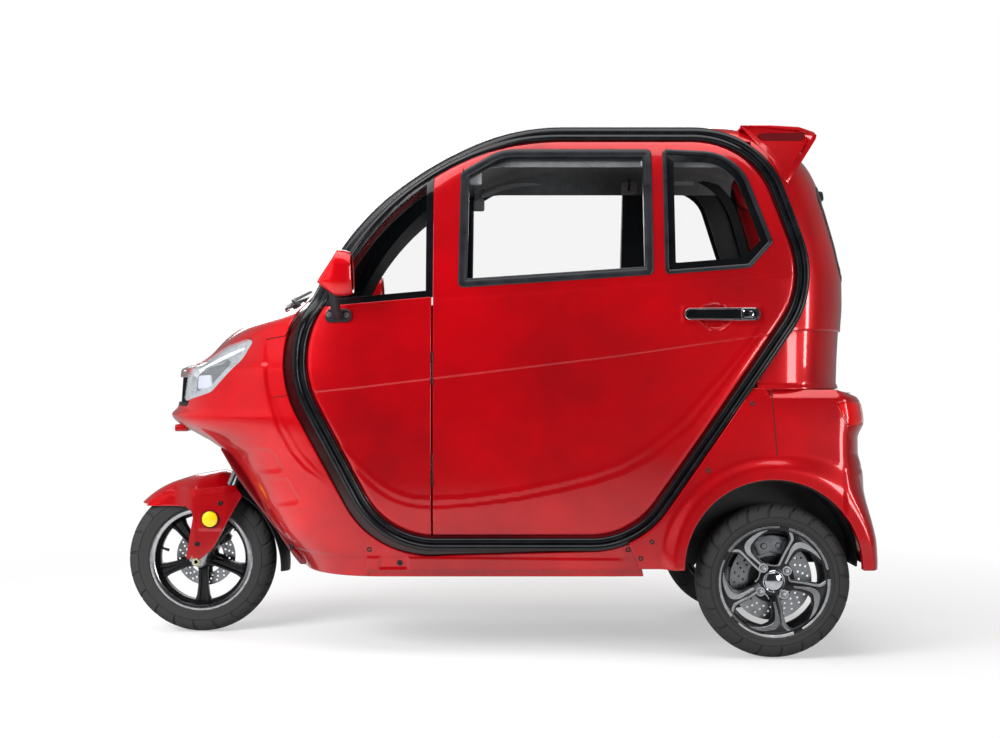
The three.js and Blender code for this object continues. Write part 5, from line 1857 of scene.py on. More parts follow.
@dataclass
class Door:
    """A side door with its two windows, their frames, the lining and the handle."""

    side: Side
    step: float = 6.0
    gap_x: float = HINGE_X - 4.5
    gasket: float = 25.0
    quarter_gasket: float = 12.0
    quarter_border: float = 20.0
    finger_recess: tuple[float, float, float, float] = (-676.0, 1014.0, 54.0, 44.0)
    handle: Outline = Outline((
        (-582, 1001, 20), (-812, 999, 20), (-812, 1044, 20), (-582, 1042, 20)))

    def __post_init__(self) -> None:
        """Names the body that the door's pieces ride on."""
        self.body = f"door_{self.side.word}"

    def relief(self, x: float, z: float) -> float:
        """The pressings of the panel, with the finger recess and the handle's bed.

        Args:
            x: Place along the vehicle, in mm.
            z: Height, in mm.

        Returns:
            The rise, in mm; negative where the panel is sunk.
        """
        rise = PRESSINGS.relief(x, z)
        cx, cz, rx, rz = self.finger_recess
        away = math.hypot((x - cx) / rx, (z - cz) / rz)
        if away < 1.3:
            rise -= 9.0 * (1 - smooth((away - 0.72) / 0.24)) - 0.8 * smooth((away - 0.8) / 0.15) * (
                1 - smooth((away - 1.0) / 0.15))
        bed = max(abs(x + 697) - 120, abs(z - 1021) - 26)
        rise -= 1.8 * (1 - smooth((bed + 3.0) / 4.0))
        return rise

    def build(self) -> None:
        """Makes every piece of the door."""
        panel = Sheet.flat((-930, 350), (170, 1566), self.step)
        panel.trim(DOOR_EDGE.planes(4.0)).trim(box_planes(OPEN, (self.gap_x, None, None)))
        panel.punch(DOOR_WINDOW.planes(5.0)).punch(QUARTER_WINDOW.planes(5.0))
        panel.score(PRESSINGS.waist, (-3.0, 3.0)).tidy().on_side(CABIN, self.relief)
        panel.roll(2.0, 22.0)
        emit_side(panel, self.side, "door_skin", RED, ["door"], body=self.body)
        self.lining()
        self.windows()
        self.grip()

    def lining(self) -> None:
        """The black inner side of the door."""
        lining = Sheet.flat((-930, 350), (170, 1566), 14.0)
        lining.trim(DOOR_EDGE.planes(8.0)).trim(box_planes(OPEN, (self.gap_x, None, None)))
        lining.punch(DOOR_WINDOW.moved(12).planes(10.0)).punch(QUARTER_WINDOW.moved(22).planes(10.0))
        lining.tidy().on_side(CABIN, None, 37.0).roll(1.5, 3.0)
        bmesh.ops.reverse_faces(lining.bm, faces=lining.bm.faces[:])
        emit_side(lining, self.side, "door_lining", BLACK, body=self.body)

    def windows(self) -> None:
        """The sliding window in its frame and the fixed quarter window."""
        wide = self.gasket
        frame_rows = (
            (-1.5, -4.0), (-1.5, 1.2), (1.0, 3.4), (5.0, 4.2), (wide - 9, 3.6), (wide - 6, 1.8),
            (wide - 4, 3.0), (wide - 1, 2.0), (wide, -1.0), (wide, -26.0), (wide - 3, -34.0),
            (8.0, -36.0), (4.0, -30.0))
        frame = band(DOOR_WINDOW, frame_rows, facet=6.0, run=30.0, closed=True)
        emit_side(frame, self.side, "window_frame", WINDOW_RUBBER, body=self.body)
        self.pane(DOOR_WINDOW, wide - 4, "door_window", "door_glass", 8.0)
        slim = self.quarter_gasket
        quarter_rows = (
            (-1.5, -4.0), (-1.5, 1.0), (0.5, 3.0), (4.0, 4.0), (slim - 3, 3.2), (slim - 1, 1.6),
            (slim, -2.0), (slim, -8.0), (2.0, -8.0))
        gasket = band(QUARTER_WINDOW, quarter_rows, facet=6.0, run=30.0, closed=True)
        emit_side(gasket, self.side, "quarter_gasket", WINDOW_RUBBER, body=self.body)
        self.pane(QUARTER_WINDOW, slim - 3, "quarter_window", "door_quarter_glass", 5.0)
        low, high = slim - 2, slim + self.quarter_border
        border = band(QUARTER_WINDOW, ((low, -6.0), (low, -3.4), (high, -3.4), (high, -6.0)),
                      facet=6.0, run=30.0, closed=True)
        emit_side(border, self.side, "quarter_border", GLOSS_BLACK,
                  body=self.body)

    def pane(self, window: Outline, inset: float, name: str, node: str, depth: float) -> None:
        """One pane of glass.

        Args:
            window: The opening that it fills.
            inset: How far inside the opening's edge it ends, in mm.
            name: Its name, to which the side is added.
            node: The CAD node that it stands for, to which the side is added.
            depth: How far under the skin it lies, in mm.
        """
        places = [c[0] for c in window.corners], [c[1] for c in window.corners]
        pane = Sheet.flat((min(places[0]), min(places[1])), (max(places[0]), max(places[1])), 20.0)
        pane.trim(window.moved(inset).planes(8.0)).tidy().on_side(CABIN, None, depth)
        emit_side(pane, self.side, name, GLASS, [node], self.body)

    def grip(self) -> None:
        """The pull handle: a chromed bezel, a dark insert and a lock cylinder."""
        bar = self.handle.moved(3.0)
        rows = ((0.0, -1.0), (0.0, 7.0), (1.5, 8.8), (4.0, 9.0), (5.2, 7.6), (5.4, 6.4))
        bezel = band(bar, rows, facet=8.0, run=8.0)
        emit_side(bezel, self.side, "handle_bezel", CHROME, ["door_handle"],
                  body=self.body)
        insert = Sheet.flat((-812, 999), (-582, 1044), 5.0)
        insert.trim(bar.moved(5.0).planes(8.0)).tidy().on_side(CABIN, lambda x, z: 7.0)
        emit_side(insert, self.side, "handle_insert", GLOSS_BLACK, body=self.body)
        end = Outline(((-752, 1005, 8), (-806, 1005, 17), (-806, 1039, 17), (-752, 1039, 8)))
        rows = ((0.0, 6.0), (0.0, 8.6), (1.0, 9.4), (5.0, 9.6), (7.0, 8.4), (9.0, 8.2))
        keyhole = band(end, rows, facet=10.0, run=8.0)
        barrel = disc_on(CABIN, -782, 1022, ((0.0, 8.0), (1.0, 9.4), (6.5, 9.6), (8.0, 8.8),
                                            (8.4, 6.0)), 24)
        keyhole.join(barrel)
        emit_side(keyhole, self.side, "handle_lock", CHROME, body=self.body)


# A shade lighter than the door seal, so that the two read apart.
WINDOW_RUBBER = Rubber("window_frame_rubber", "#191B1F", 0.34, shade="#24262B")


# -------------------------------------------------------------------------- the nose
class Patch:
    """An outline on a panel, as a measure of how far inside it a place lies."""

    def __init__(self, outline: Outline, facet: float = 6.0,
                 axes: tuple[int, int] = (0, 2)) -> None:
        """Prepares the outline's edges.

        Args:
            outline: The outline, in mm.
            facet: Degrees of arc to an edge in its corners.
            axes: The two axes that it lies along.
        """
        self.edges = [(p[axes[0]] / MM, p[axes[1]] / MM, n[axes[0]], n[axes[1]])
                      for p, n in outline.planes(facet, axes)]

    def depth(self, a: float, b: float) -> float:
        """How far inside the outline a place in mm lies; negative outside."""
        return min((px - a) * nx + (pz - b) * nz for px, pz, nx, nz in self.edges)


def ribbon(form: Form, line: Sequence[Point2], width: float, rise: float = 0.3,
           depth: float = 3.0, run: float = 10.0) -> Sheet:
    """A narrow strip along a line on a form's left side, such as the shadow gap of a seam.

    Args:
        form: The form that it lies on.
        line: The line seen from the side, in mm.
        width: Its width, in mm.
        rise: How far it stands proud, in mm.
        depth: How far it goes into the form, in mm.
        run: Most mm between rings of points.

    Returns:
        The closed strip.
    """
    path: list[Vector] = []
    for a, b in zip(line, line[1:]):
        first, last = Vector(a), Vector(b)
        count = max(1, math.ceil((last - first).length / run))
        path += [first.lerp(last, k / count) for k in range(count)]
    path.append(Vector(line[-1]))
    sheet = Sheet()
    bm = sheet.bm
    loops, ends = [], []
    for i, place in enumerate(path):
        along = (path[min(i + 1, len(path) - 1)] - path[max(i - 1, 0)]).normalized()
        across = Vector((-along.y, along.x)) * (width / 2)
        corners = ((1, -depth), (1, rise), (-1, rise), (-1, -depth))
        ring = [bm.verts.new(on_form(form, *(place + across * s), r)) for s, r in corners]
        loops.append([bm.edges.new((ring[k], ring[(k + 1) % 4])) for k in range(4)])
        ends.append(ring)
    for a, b in zip(loops, loops[1:]):
        bmesh.ops.bridge_loops(bm, edges=a + b)
    bmesh.ops.contextual_create(bm, geom=ends[0])
    bmesh.ops.contextual_create(bm, geom=ends[-1])
    bmesh.ops.recalc_face_normals(bm, faces=bm.faces[:])
    return sheet


@dataclass
class NosePressings:
    """The creases and recesses of the nose, as seen from the side."""

    crease: tuple[Point2, ...] = (
        (672, 960), (664, 880), (660, 820), (650, 770), (622, 680), (585, 612), (545, 565),
        (493, 528), (440, 492))
    fold: tuple[Point2, ...] = ((640, 772), (602, 690), (560, 615), (512, 560), (470, 522))
    foot: tuple[Point2, ...] = ((700, 318), (560, 306), (440, 300), (350, 296))
    recesses: tuple[tuple[Point2, ...], ...] = (
        ((752, 622), (650, 622), (603, 550), (716, 540)),
        ((708, 521), (600, 533), (557, 457), (654, 438)))
    recess_depth: float = 7.0
    recess_round: float = 16.0

    def __post_init__(self) -> None:
        """Prepares the recesses."""
        self.patches = []
        for corners in self.recesses:
            outline = Outline(tuple((x, z, self.recess_round) for x, z in corners))
            self.patches.append((Patch(outline), corners[0][0], corners[2][0]))

    def rise(self, co: Vector) -> float:
        """How far the nose stands proud of the plain form, in mm, at a place in metres.

        Args:
            co: The place, in metres.

        Returns:
            The rise, in mm; negative where the nose is sunk.
        """
        x, z = co.x / MM, co.z / MM
        if co.y < 0.18:
            return 0.0
        rise = 0.0
        for patch, front, rear in self.patches:
            inside = patch.depth(x, z)
            if inside > -8:
                ramp = smooth((front - 10 - x) / (front - rear))
                rise -= self.recess_depth * ramp * smooth((inside + 1) / 9)
                rise += 1.2 * ramp * math.exp(-((inside + 4) / 4) ** 2)
        if 430 < z < 990:
            side = polyline_distance(self.crease, x, z)[0]
            fade = smooth((z - 500) / 90) * smooth((975 - z) / 60)
            rise += 4.5 * fade * smooth((side + 6) / 12) * math.exp(-max(0.0, side) / 60)
        if 500 < z < 780:
            gap = polyline_distance(self.fold, x, z)[0]
            rise += 1.8 * smooth((z - 520) / 60) * smooth((gap + 4) / 8) * math.exp(
                -max(0.0, gap) / 26)
        if z < 340:
            rise -= 3.0 * smooth((polyline_distance(self.foot, x, z)[0] + 4) / 9)
        return rise


HEADLAMP = Outline((
    (702, 957, 12), (812, 931, 60), (900, 880, 34), (932, 850, 16), (950, 757, 10),
    (842, 789, 60), (742, 888, 60)))
LAMP_INNER_Y = 120.0
LAMP_ZONE = box_planes((None, LAMP_INNER_Y, None), OPEN)
GRILLE = Outline(((-300, 744, 12), (300, 744, 12), (266, 873, 10), (-266, 873, 10)))
BONNET_PLAN = Outline((
    (560, 300, 0), (590, 330, 60), (700, 300, 60), (905, 190, 60), (905, -190, 60),
    (700, -300, 60), (590, -330, 60), (560, -300, 0)))
BONNET_LOW = 862.0
WHEEL_WELL = ((582.0, None, None), (None, 240.0, 640.0))
SIDE_ZONE = box_planes((None, SIDE_INNER_Y, None), OPEN)


@dataclass
class Nose:
    """The front shell, the bonnet, the grille, the lip and what is fixed to them."""

    step: float = 5.5
    front_x: float = 360.0
    gap: float = 1.4
    ribs: int = 25
    pressings: NosePressings = field(default_factory=NosePressings)
    flange: tuple[Point2, ...] = (
        (842, 610), (812, 558), (784, 512), (745, 458), (701, 400), (663, 350), (640, 314),
        (612, 273), (590, 246))
    flange_root: tuple[Point2, ...] = (
        (818, 610), (774, 560), (745, 516), (714, 462), (684, 402), (651, 350), (616, 312),
        (580, 271), (564, 246))

    def build(self) -> None:
        """Makes every piece of the nose."""
        self.shell()
        self.bonnet()
        self.grille()
        self.lip()
        for side in Side:
            self.seams(side)

    def openings(self, sheet: Sheet, gap: float) -> Sheet:
        """Cuts what the ring, the lamps and the grille take out of the nose.

        Args:
            sheet: The sheet that is cut.
            gap: Width of the gap round each opening, in mm.

        Returns:
            The same sheet.
        """
        sheet.punch(RECESS.moved(-gap / 2).planes(3.0), SIDE_ZONE)
        sheet.punch(HEADLAMP.moved(-gap).planes(5.0), LAMP_ZONE)
        return sheet.punch(GRILLE.moved(-gap).planes(8.0, (1, 2)),
                           box_planes((850, None, None), OPEN))

    def shell(self) -> None:
        """The nose shell with its flanks."""
        shell = Sheet.wrapped(CABIN, (0.97, 2.0), (240, BELT_Z), self.step)
        shell.trim(box_planes((self.front_x + self.gap / 2, None, None), OPEN))
        self.openings(shell, self.gap)
        shell.punch(BONNET_PLAN.moved(-self.gap).planes(8.0, (0, 1)),
                    box_planes((None, None, BONNET_LOW - self.gap), OPEN))
        shell.punch(box_planes(*WHEEL_WELL)).tidy().face(Vector((1, 1, 0)))
        shell.press(self.pressings.rise)
        shell.roll(2.0, 16.0, where=off_middle)
        emit(shell.doubled(), "nose_skin", RED, "cabin", ["nose_shell"])
        inner = Sheet.wrapped(CABIN, (0.97, 2.0), (242, 700), 16.0, 20.0)
        inner.trim(box_planes((self.front_x + 4, None, None), OPEN))
        inner.punch(RING.moved(-2).planes(6.0), SIDE_ZONE)
        inner.punch(box_planes((578, None, None), (None, 242, 642))).tidy()
        inner.face(Vector((-1, -1, 0)))
        emit(inner.doubled(), "nose_lining", BLACK, "cabin")

    def bonnet(self) -> None:
        """The bonnet between the lamps and the windscreen."""
        top = Sheet.wrapped(CABIN, (1.0, 2.0), (BONNET_LOW, BELT_Z - 1), 6.0)
        top.trim(BONNET_PLAN.planes(8.0, (0, 1)))
        self.openings(top, self.gap)
        top.tidy().face(Vector((1, 1, 1)))
        top.press(self.bulge)
        top.roll(1.6, 12.0, where=off_middle)
        emit(top.doubled(), "bonnet_skin", RED, "cabin", ["bonnet"])

    @staticmethod
    def bulge(co: Vector) -> float:
        """The raised middle of the bonnet, in mm, at a place in metres."""
        half = 0.105 + 0.35 * (0.95 - co.x)
        return 6.0 * smooth((half - co.y) / 0.035) * smooth((0.93 - co.x) / 0.08)

    def grille(self) -> None:
        """The grille: a dark backing, upright ribs, a grey bar over them and a foot."""
        within = box_planes((840, None, None), OPEN)
        back = Sheet.wrapped(CABIN, (1.4, 2.0), (736, 880), 9.0, 26.0)
        back.trim(GRILLE.moved(-6).planes(8.0, (1, 2)) + within)
        back.punch(HEADLAMP.moved(8).planes(5.0), LAMP_ZONE).tidy().face(Vector((1, 0, 0)))
        emit(back.doubled(), "grille_backing", BLACK, "cabin", ["front_grille"])
        ribs = Sheet()
        for i in range(self.ribs):
            y = -262 + 524 * i / (self.ribs - 1)
            low, high = CABIN.sizes(0.752)[0] / MM, CABIN.sizes(0.838)[0] / MM
            bend = 0.00085 * y * y
            rib = plate([(low - 22 - bend, 748), (low - 3 - bend, 748), (high - 2 - bend, 840),
                         (high - 22 - bend, 840)], y - 3.2, y + 3.2, 1.2)
            ribs.join(rib)
        emit(ribs, "grille_ribs", GLOSS_BLACK, "cabin")
        bar = Sheet.wrapped(CABIN, (1.4, 2.0), (836, 874), 5.0, -1.0)
        bar.trim(GRILLE.moved(3).planes(8.0, (1, 2)) + within)
        bar.punch(HEADLAMP.moved(-2).planes(5.0), LAMP_ZONE).tidy().face(Vector((1, 0, 0)))
        bar.roll(3.0, 22.0, where=off_middle)
        emit(bar.doubled(), "grille_bar", BAR_GREY, "cabin")
        foot = Sheet.wrapped(CABIN, (1.4, 2.0), (742, 753), 4.0, 1.0)
        foot.trim(GRILLE.moved(2).planes(8.0, (1, 2)) + within)
        foot.punch(HEADLAMP.moved(-2).planes(5.0), LAMP_ZONE).tidy().face(Vector((1, 0, 0)))
        foot.roll(2.0, 20.0, where=off_middle)
        emit(foot.doubled(), "grille_foot", BLACK, "cabin")

    def lip(self) -> None:
        """The flanges beside the front wheel, in the body red darkened as painted shade, the
        reflectors and the small lamp.
        """
        for side in Side:
            y0, y1 = sorted((side.value * 214.0, side.value * 239.0))
            # The flange is the body red, darkened as painted shade.
            flange = plate([*self.flange, *reversed(self.flange_root)], y0, y1, 5.0, 3)
            emit(flange, f"wheel_well_flange_{side.word}", CHANNEL_SHADE_RED, "cabin")
            reflector = block((954, side.value * 150 - 34, 661), (996, side.value * 150 + 34, 683), 5)
            emit(reflector, f"nose_reflector_{side.word}", RED_LENS, "cabin")
        lamp = turned(((0, -6), (16, -6), (19, 0), (19, 12), (16, 17), (0, 18)), (930, 0, 668), 28,
                      (0.55, 0, -0.83), closed=False)
        emit(lamp, "nose_small_lamp", REFLECTOR, "cabin")

    def seams(self, side: Side) -> None:
        """The seams on one flank.

        Args:
            side: The flank's side.
        """
        lines = ribbon(CABIN, ((736, 757), (690, 765), (650, 773), (592, 780)), 2.2)
        lines.join(ribbon(CABIN, ((704, 946), (660, 949), (606, 958)), 2.6))
        lines.join(ribbon(CABIN, ((606, 958), (590, 985), (566, 1020)), 2.0))
        emit_side(lines, side, "nose_seams", SHADOW)


@dataclass
class Headlamp:
    """A headlamp: clear lens, bright bowl, dark inner part, projector and light strip."""

    side: Side
    strip: tuple[Point2, ...] = ((893, 848), (882, 866), (842, 889), (792, 911), (746, 926))
    dark: Outline = Outline((
        (896, 848, 6), (792, 899, 6), (826, 836, 10), (846, 800, 12), (908, 778, 8)))
    module: Outline = Outline(((894, 836, 5), (852, 838, 5), (846, 803, 5), (896, 799, 5)))

    def build(self) -> None:
        """Makes every piece of the lamp."""
        lens = self.cover(6.0, 0.0, 0.0)
        lens.roll(1.5, 7.0, where=lambda p: p.y > LAMP_INNER_Y * MM + 0.001)
        emit_side(lens, self.side, "headlamp_lens", LENS, ["headlamp"])
        patch = Patch(HEADLAMP)
        bowl = self.cover(5.0, 0.5, 6.0)
        bowl.press(lambda co: -22.0 * smooth((patch.depth(co.x / MM, co.z / MM) - 14) / 14))
        bowl.roll(0.5, 14.0)
        emit_side(bowl, self.side, "headlamp_bowl", REFLECTOR)
        dark = Sheet.wrapped(CABIN, (1.0, 2.0), (760, 930), 5.0, 20.0)
        dark.trim(self.dark.planes(6.0) + LAMP_ZONE).tidy().face(Vector((1, 1, 0))).roll(1.0, 8.0)
        emit_side(dark, self.side, "headlamp_inner", GLOSS_BLACK)
        module = Sheet.wrapped(CABIN, (1.0, 2.0), (790, 850), 5.0, 14.0)
        module.trim(self.module.planes(8.0) + LAMP_ZONE).tidy().face(Vector((1, 1, 0)))
        module.roll(3.0, 10.0)
        emit_side(module, self.side, "headlamp_projector", PROJECTOR)
        path = [tuple(on_form(CABIN, x, z, -11.0) / MM) for x, z in self.strip]
        strip = tube(path, [3, 6, 7, 6, 4], 10, 0.6)
        emit_side(strip, self.side, "headlamp_light_strip", MARKER_WHITE)

    @staticmethod
    def cover(step: float, inset: float, depth: float) -> Sheet:
        """A sheet over the whole lamp.

        Args:
            step: Size of its faces, in mm.
            inset: How far inside the outline it ends, in mm.
            depth: How far under the form it lies, in mm.

        Returns:
            The sheet.
        """
        sheet = Sheet.wrapped(CABIN, (1.0, 2.0), (755, 955), step, depth)
        sheet.trim(HEADLAMP.moved(inset).planes(5.0)
                   + box_planes((None, LAMP_INNER_Y + inset, None), OPEN))
        sheet.punch(RING.moved(-1).planes(3.0), SIDE_ZONE)
        return sheet.tidy().face(Vector((1, 1, 0)))


@dataclass
class Windscreen:
    """The windscreen with its dark border and the wiper."""

    low: float = BELT_Z + 0.5
    high: float = ROOF_FRONT_Z - 1.0
    border: float = 34.0

    def build(self) -> None:
        """Makes the glass, the border and the wiper."""
        glass = self.cover(14.0, 1.0)
        border = glass.copy()
        emit(glass.doubled(), "windscreen_pane", GLASS, "cabin", ["windscreen"])
        middle = RING.moved(self.border)
        border.punch(middle.planes(6.0) + box_planes(
            (None, None, self.low + self.border + 12), (None, None, self.high - self.border)),
            box_planes(OPEN, (None, 212, None)))
        border.lay(lambda p: p + CABIN.normal_at(p.x, p.z) * 0.0008 if p.y > 0.05 else p)
        border.face(Vector((1, 0, 0))).roll(0.5, 5.0, rows=2, where=off_middle)
        emit(border.doubled(), "windscreen_border", GLOSS_BLACK, "cabin")
        self.wiper()

    def cover(self, step: float, depth: float) -> Sheet:
        """A sheet over the whole windscreen.

        Args:
            step: Size of its faces, in mm.
            depth: How far under the form it lies, in mm.

        Returns:
            The sheet.
        """
        sheet = Sheet.wrapped(CABIN, (1.0, 2.0), (self.low, self.high), step, depth)
        sheet.punch(RING.moved(-0.5).planes(4.0), SIDE_ZONE)
        return sheet.tidy().face(Vector((1, 0, 0.5)))

    def wiper(self) -> None:
        """The wiper arm and blade at the foot of the windscreen."""
        foot = (604, 210, 1056)
        arm = tube([foot, (612, 190, 1070), (628, 120, 1078), (620, 30, 1092), (596, -90, 1118)],
                   [9, 8, 6, 5, 4], 10, 0.6)
        arm.join(turned(((0, -8), (13, -8), (14, 0), (12, 9), (0, 12)), foot, 24, (0.7, 0, 0.72),
                        closed=False))
        emit(arm, "wiper_arm", BLACK, "cabin")
        blade = tube([(640, 190, 1048), (646, 60, 1064), (620, -80, 1086), (586, -200, 1112)],
                     [3, 7, 7, 3], 8, 2.0)
        emit(blade, "wiper_blade", BLACK, "cabin")


# The dark line of a gap between two panels.
SHADOW = GrainedPlastic("seam_gap", "#1E0306", 0.6, shade="#120204")
# The grille's bar, a warm metallic grey.
BAR_GREY = CandyLacquer("bronze_grey_lacquer", "#8A7A78", 0.36, 0.4, shade="#77686A")
# The pale glassy eye inside each headlamp.
PROJECTOR = ClearPane("projector_glass", "#A9ADBE", 0.08, opacity=0.95)
# The white strip that edges each headlamp.
MARKER_WHITE = GrainedPlastic("marker_strip_diffuser", "#F6F9FB", 0.25, shade="#E9EEF2")


# ------------------------------------------------------------------------- roof and rear
REAR_PANE = Outline(((-330, 1140, 60), (330, 1140, 60), (330, 1420, 60), (-330, 1420, 60)))
TAIL_LAMP = Outline(((-1030, 762, 8), (-1160, 760, 8), (-1195, 694, 8), (-1064, 690, 10)))
SILL_REAR = ((-430.0, 320.0), (-484.0, 200.0))


def slanted(line: tuple[Point2, Point2], keep_ahead: bool, shift: float = 0.0) -> Plane:
    """The plane of a slanted seam that is seen from the side as a line.

    Args:
        line: Its two points, upper one first, in mm.
        keep_ahead: Whether what lies ahead of it counts as inside.
        shift: How far it is moved to the front, in mm.

    Returns:
        The plane.
    """
    (x0, z0), (x1, z1) = line
    normal = Vector((z0 - z1, 0, x1 - x0)).normalized()
    if (normal.x > 0) == keep_ahead:
        normal.negate()
    return Vector(((x0 + shift) * MM, 0, z0 * MM)), normal


def circle_planes(x: float, z: float, radius: float, count: int = 72) -> list[Plane]:
    """The planes of a round prism across the vehicle, in mm.

    Args:
        x: Place of the axis along the vehicle, in mm.
        z: Height of the axis, in mm.
        radius: Its radius, in mm.
        count: Faces round it.

    Returns:
        The planes, facing outwards.
    """
    planes = []
    for k in range(count):
        turn = math.tau * k / count
        way = Vector((math.cos(turn), 0, math.sin(turn)))
        planes.append((Vector((x, 0, z)) * MM + way * (radius * MM), way))
    return planes


@dataclass
class Roof:
    """The roof panel and the rear spoiler, with dark red sheets on its fins as painted shade in their
    pockets.
    """

    half: float = 372.0
    wing: tuple[Point2, ...] = (
        (-770, 1604), (-860, 1604), (-950, 1599), (-996, 1583), (-1004, 1573), (-999, 1564),
        (-988, 1556), (-960, 1560), (-900, 1574), (-820, 1588), (-770, 1592))
    fin: tuple[Point2, ...] = (
        (-770, 1602), (-990, 1584), (-1003, 1572), (-1000, 1560), (-968, 1508), (-937, 1462),
        (-908, 1420), (-880, 1440), (-862, 1490), (-820, 1540))
    hollow: Outline = Outline(((-800, 1577, 8), (-905, 1522, 14), (-972, 1568, 8), (-960, 1580, 8)))

    def build(self) -> None:
        """Makes the roof and the spoiler."""
        roof = Sheet.flat((ROOF_REAR_X, 0), (70, 392), 7.0, (0, 1))
        for vert in roof.bm.verts:
            vert.co.z = CABIN.top_at(vert.co.x, vert.co.y)
        roof.punch(RING.planes(3.0), SIDE_ZONE)
        roof.trim(box_planes((None, None, ROOF_FRONT_Z), OPEN)).tidy()
        roof.face(Vector((0, 0, 1))).press(self.swage)
        roof.roll(2.0, 14.0, where=off_middle)
        emit(roof.doubled(), "roof_skin", RED, "cabin", ["roof_panel"])
        wing = plate(self.wing, -self.half + 6, self.half - 6, 3.0, 2)
        for sign in (1, -1):
            wing.join(self.end_plate(sign))
        emit(wing, "spoiler_body", RED, "cabin", ["spoiler"], crease=28.0)
        # A flat dark red sheet laid just proud of each fin, as painted shade where the fin's hollow
        # lies.
        pocket = Sheet.flat((-990, -780), (1515, 1590), 6.0)
        pocket.trim(self.hollow.planes(6.0)).tidy()
        for vert in pocket.bm.verts:
            proud = max(self.half * MM, CABIN.half_at(vert.co.x, vert.co.z) + 0.003)
            vert.co.y = proud + 0.001
        pocket.face(Vector((0, 1, 0)))
        for side in Side:
            emit_side(pocket, side, "spoiler_pocket", POCKET_SHADE_RED)

    def end_plate(self, sign: int) -> Sheet:
        """The fin at one end of the spoiler, with its sunk outer face.

        Args:
            sign: 1 on the left, -1 on the right.

        Returns:
            The closed fin.
        """
        fin = plate(self.fin, sign * (self.half - 26), sign * self.half, 0.0)
        outer = [f for f in fin.bm.faces if f.normal.y * sign > 0.9]
        bmesh.ops.inset_region(fin.bm, faces=outer, thickness=0.016, depth=0.0)
        for vert in {v for f in outer for v in f.verts}:
            vert.co.y -= sign * 0.009
            vert.co.z += 0.006
        for vert in fin.bm.verts:
            if vert.co.y * sign > (self.half - 16) * MM:
                clear = CABIN.half_at(vert.co.x, vert.co.z) + 0.003
                vert.co.y = sign * max(abs(vert.co.y), clear)
        return soften(fin, 2.0, 2, 25.0)

    @staticmethod
    def swage(co: Vector) -> float:
        """Two shallow ribs along the roof, in mm."""
        return 2.5 * math.exp(-((abs(co.y) - 0.14) / 0.02) ** 2) * smooth(
            (co.x + 0.72) / 0.12) * smooth((-0.06 - co.x) / 0.12)


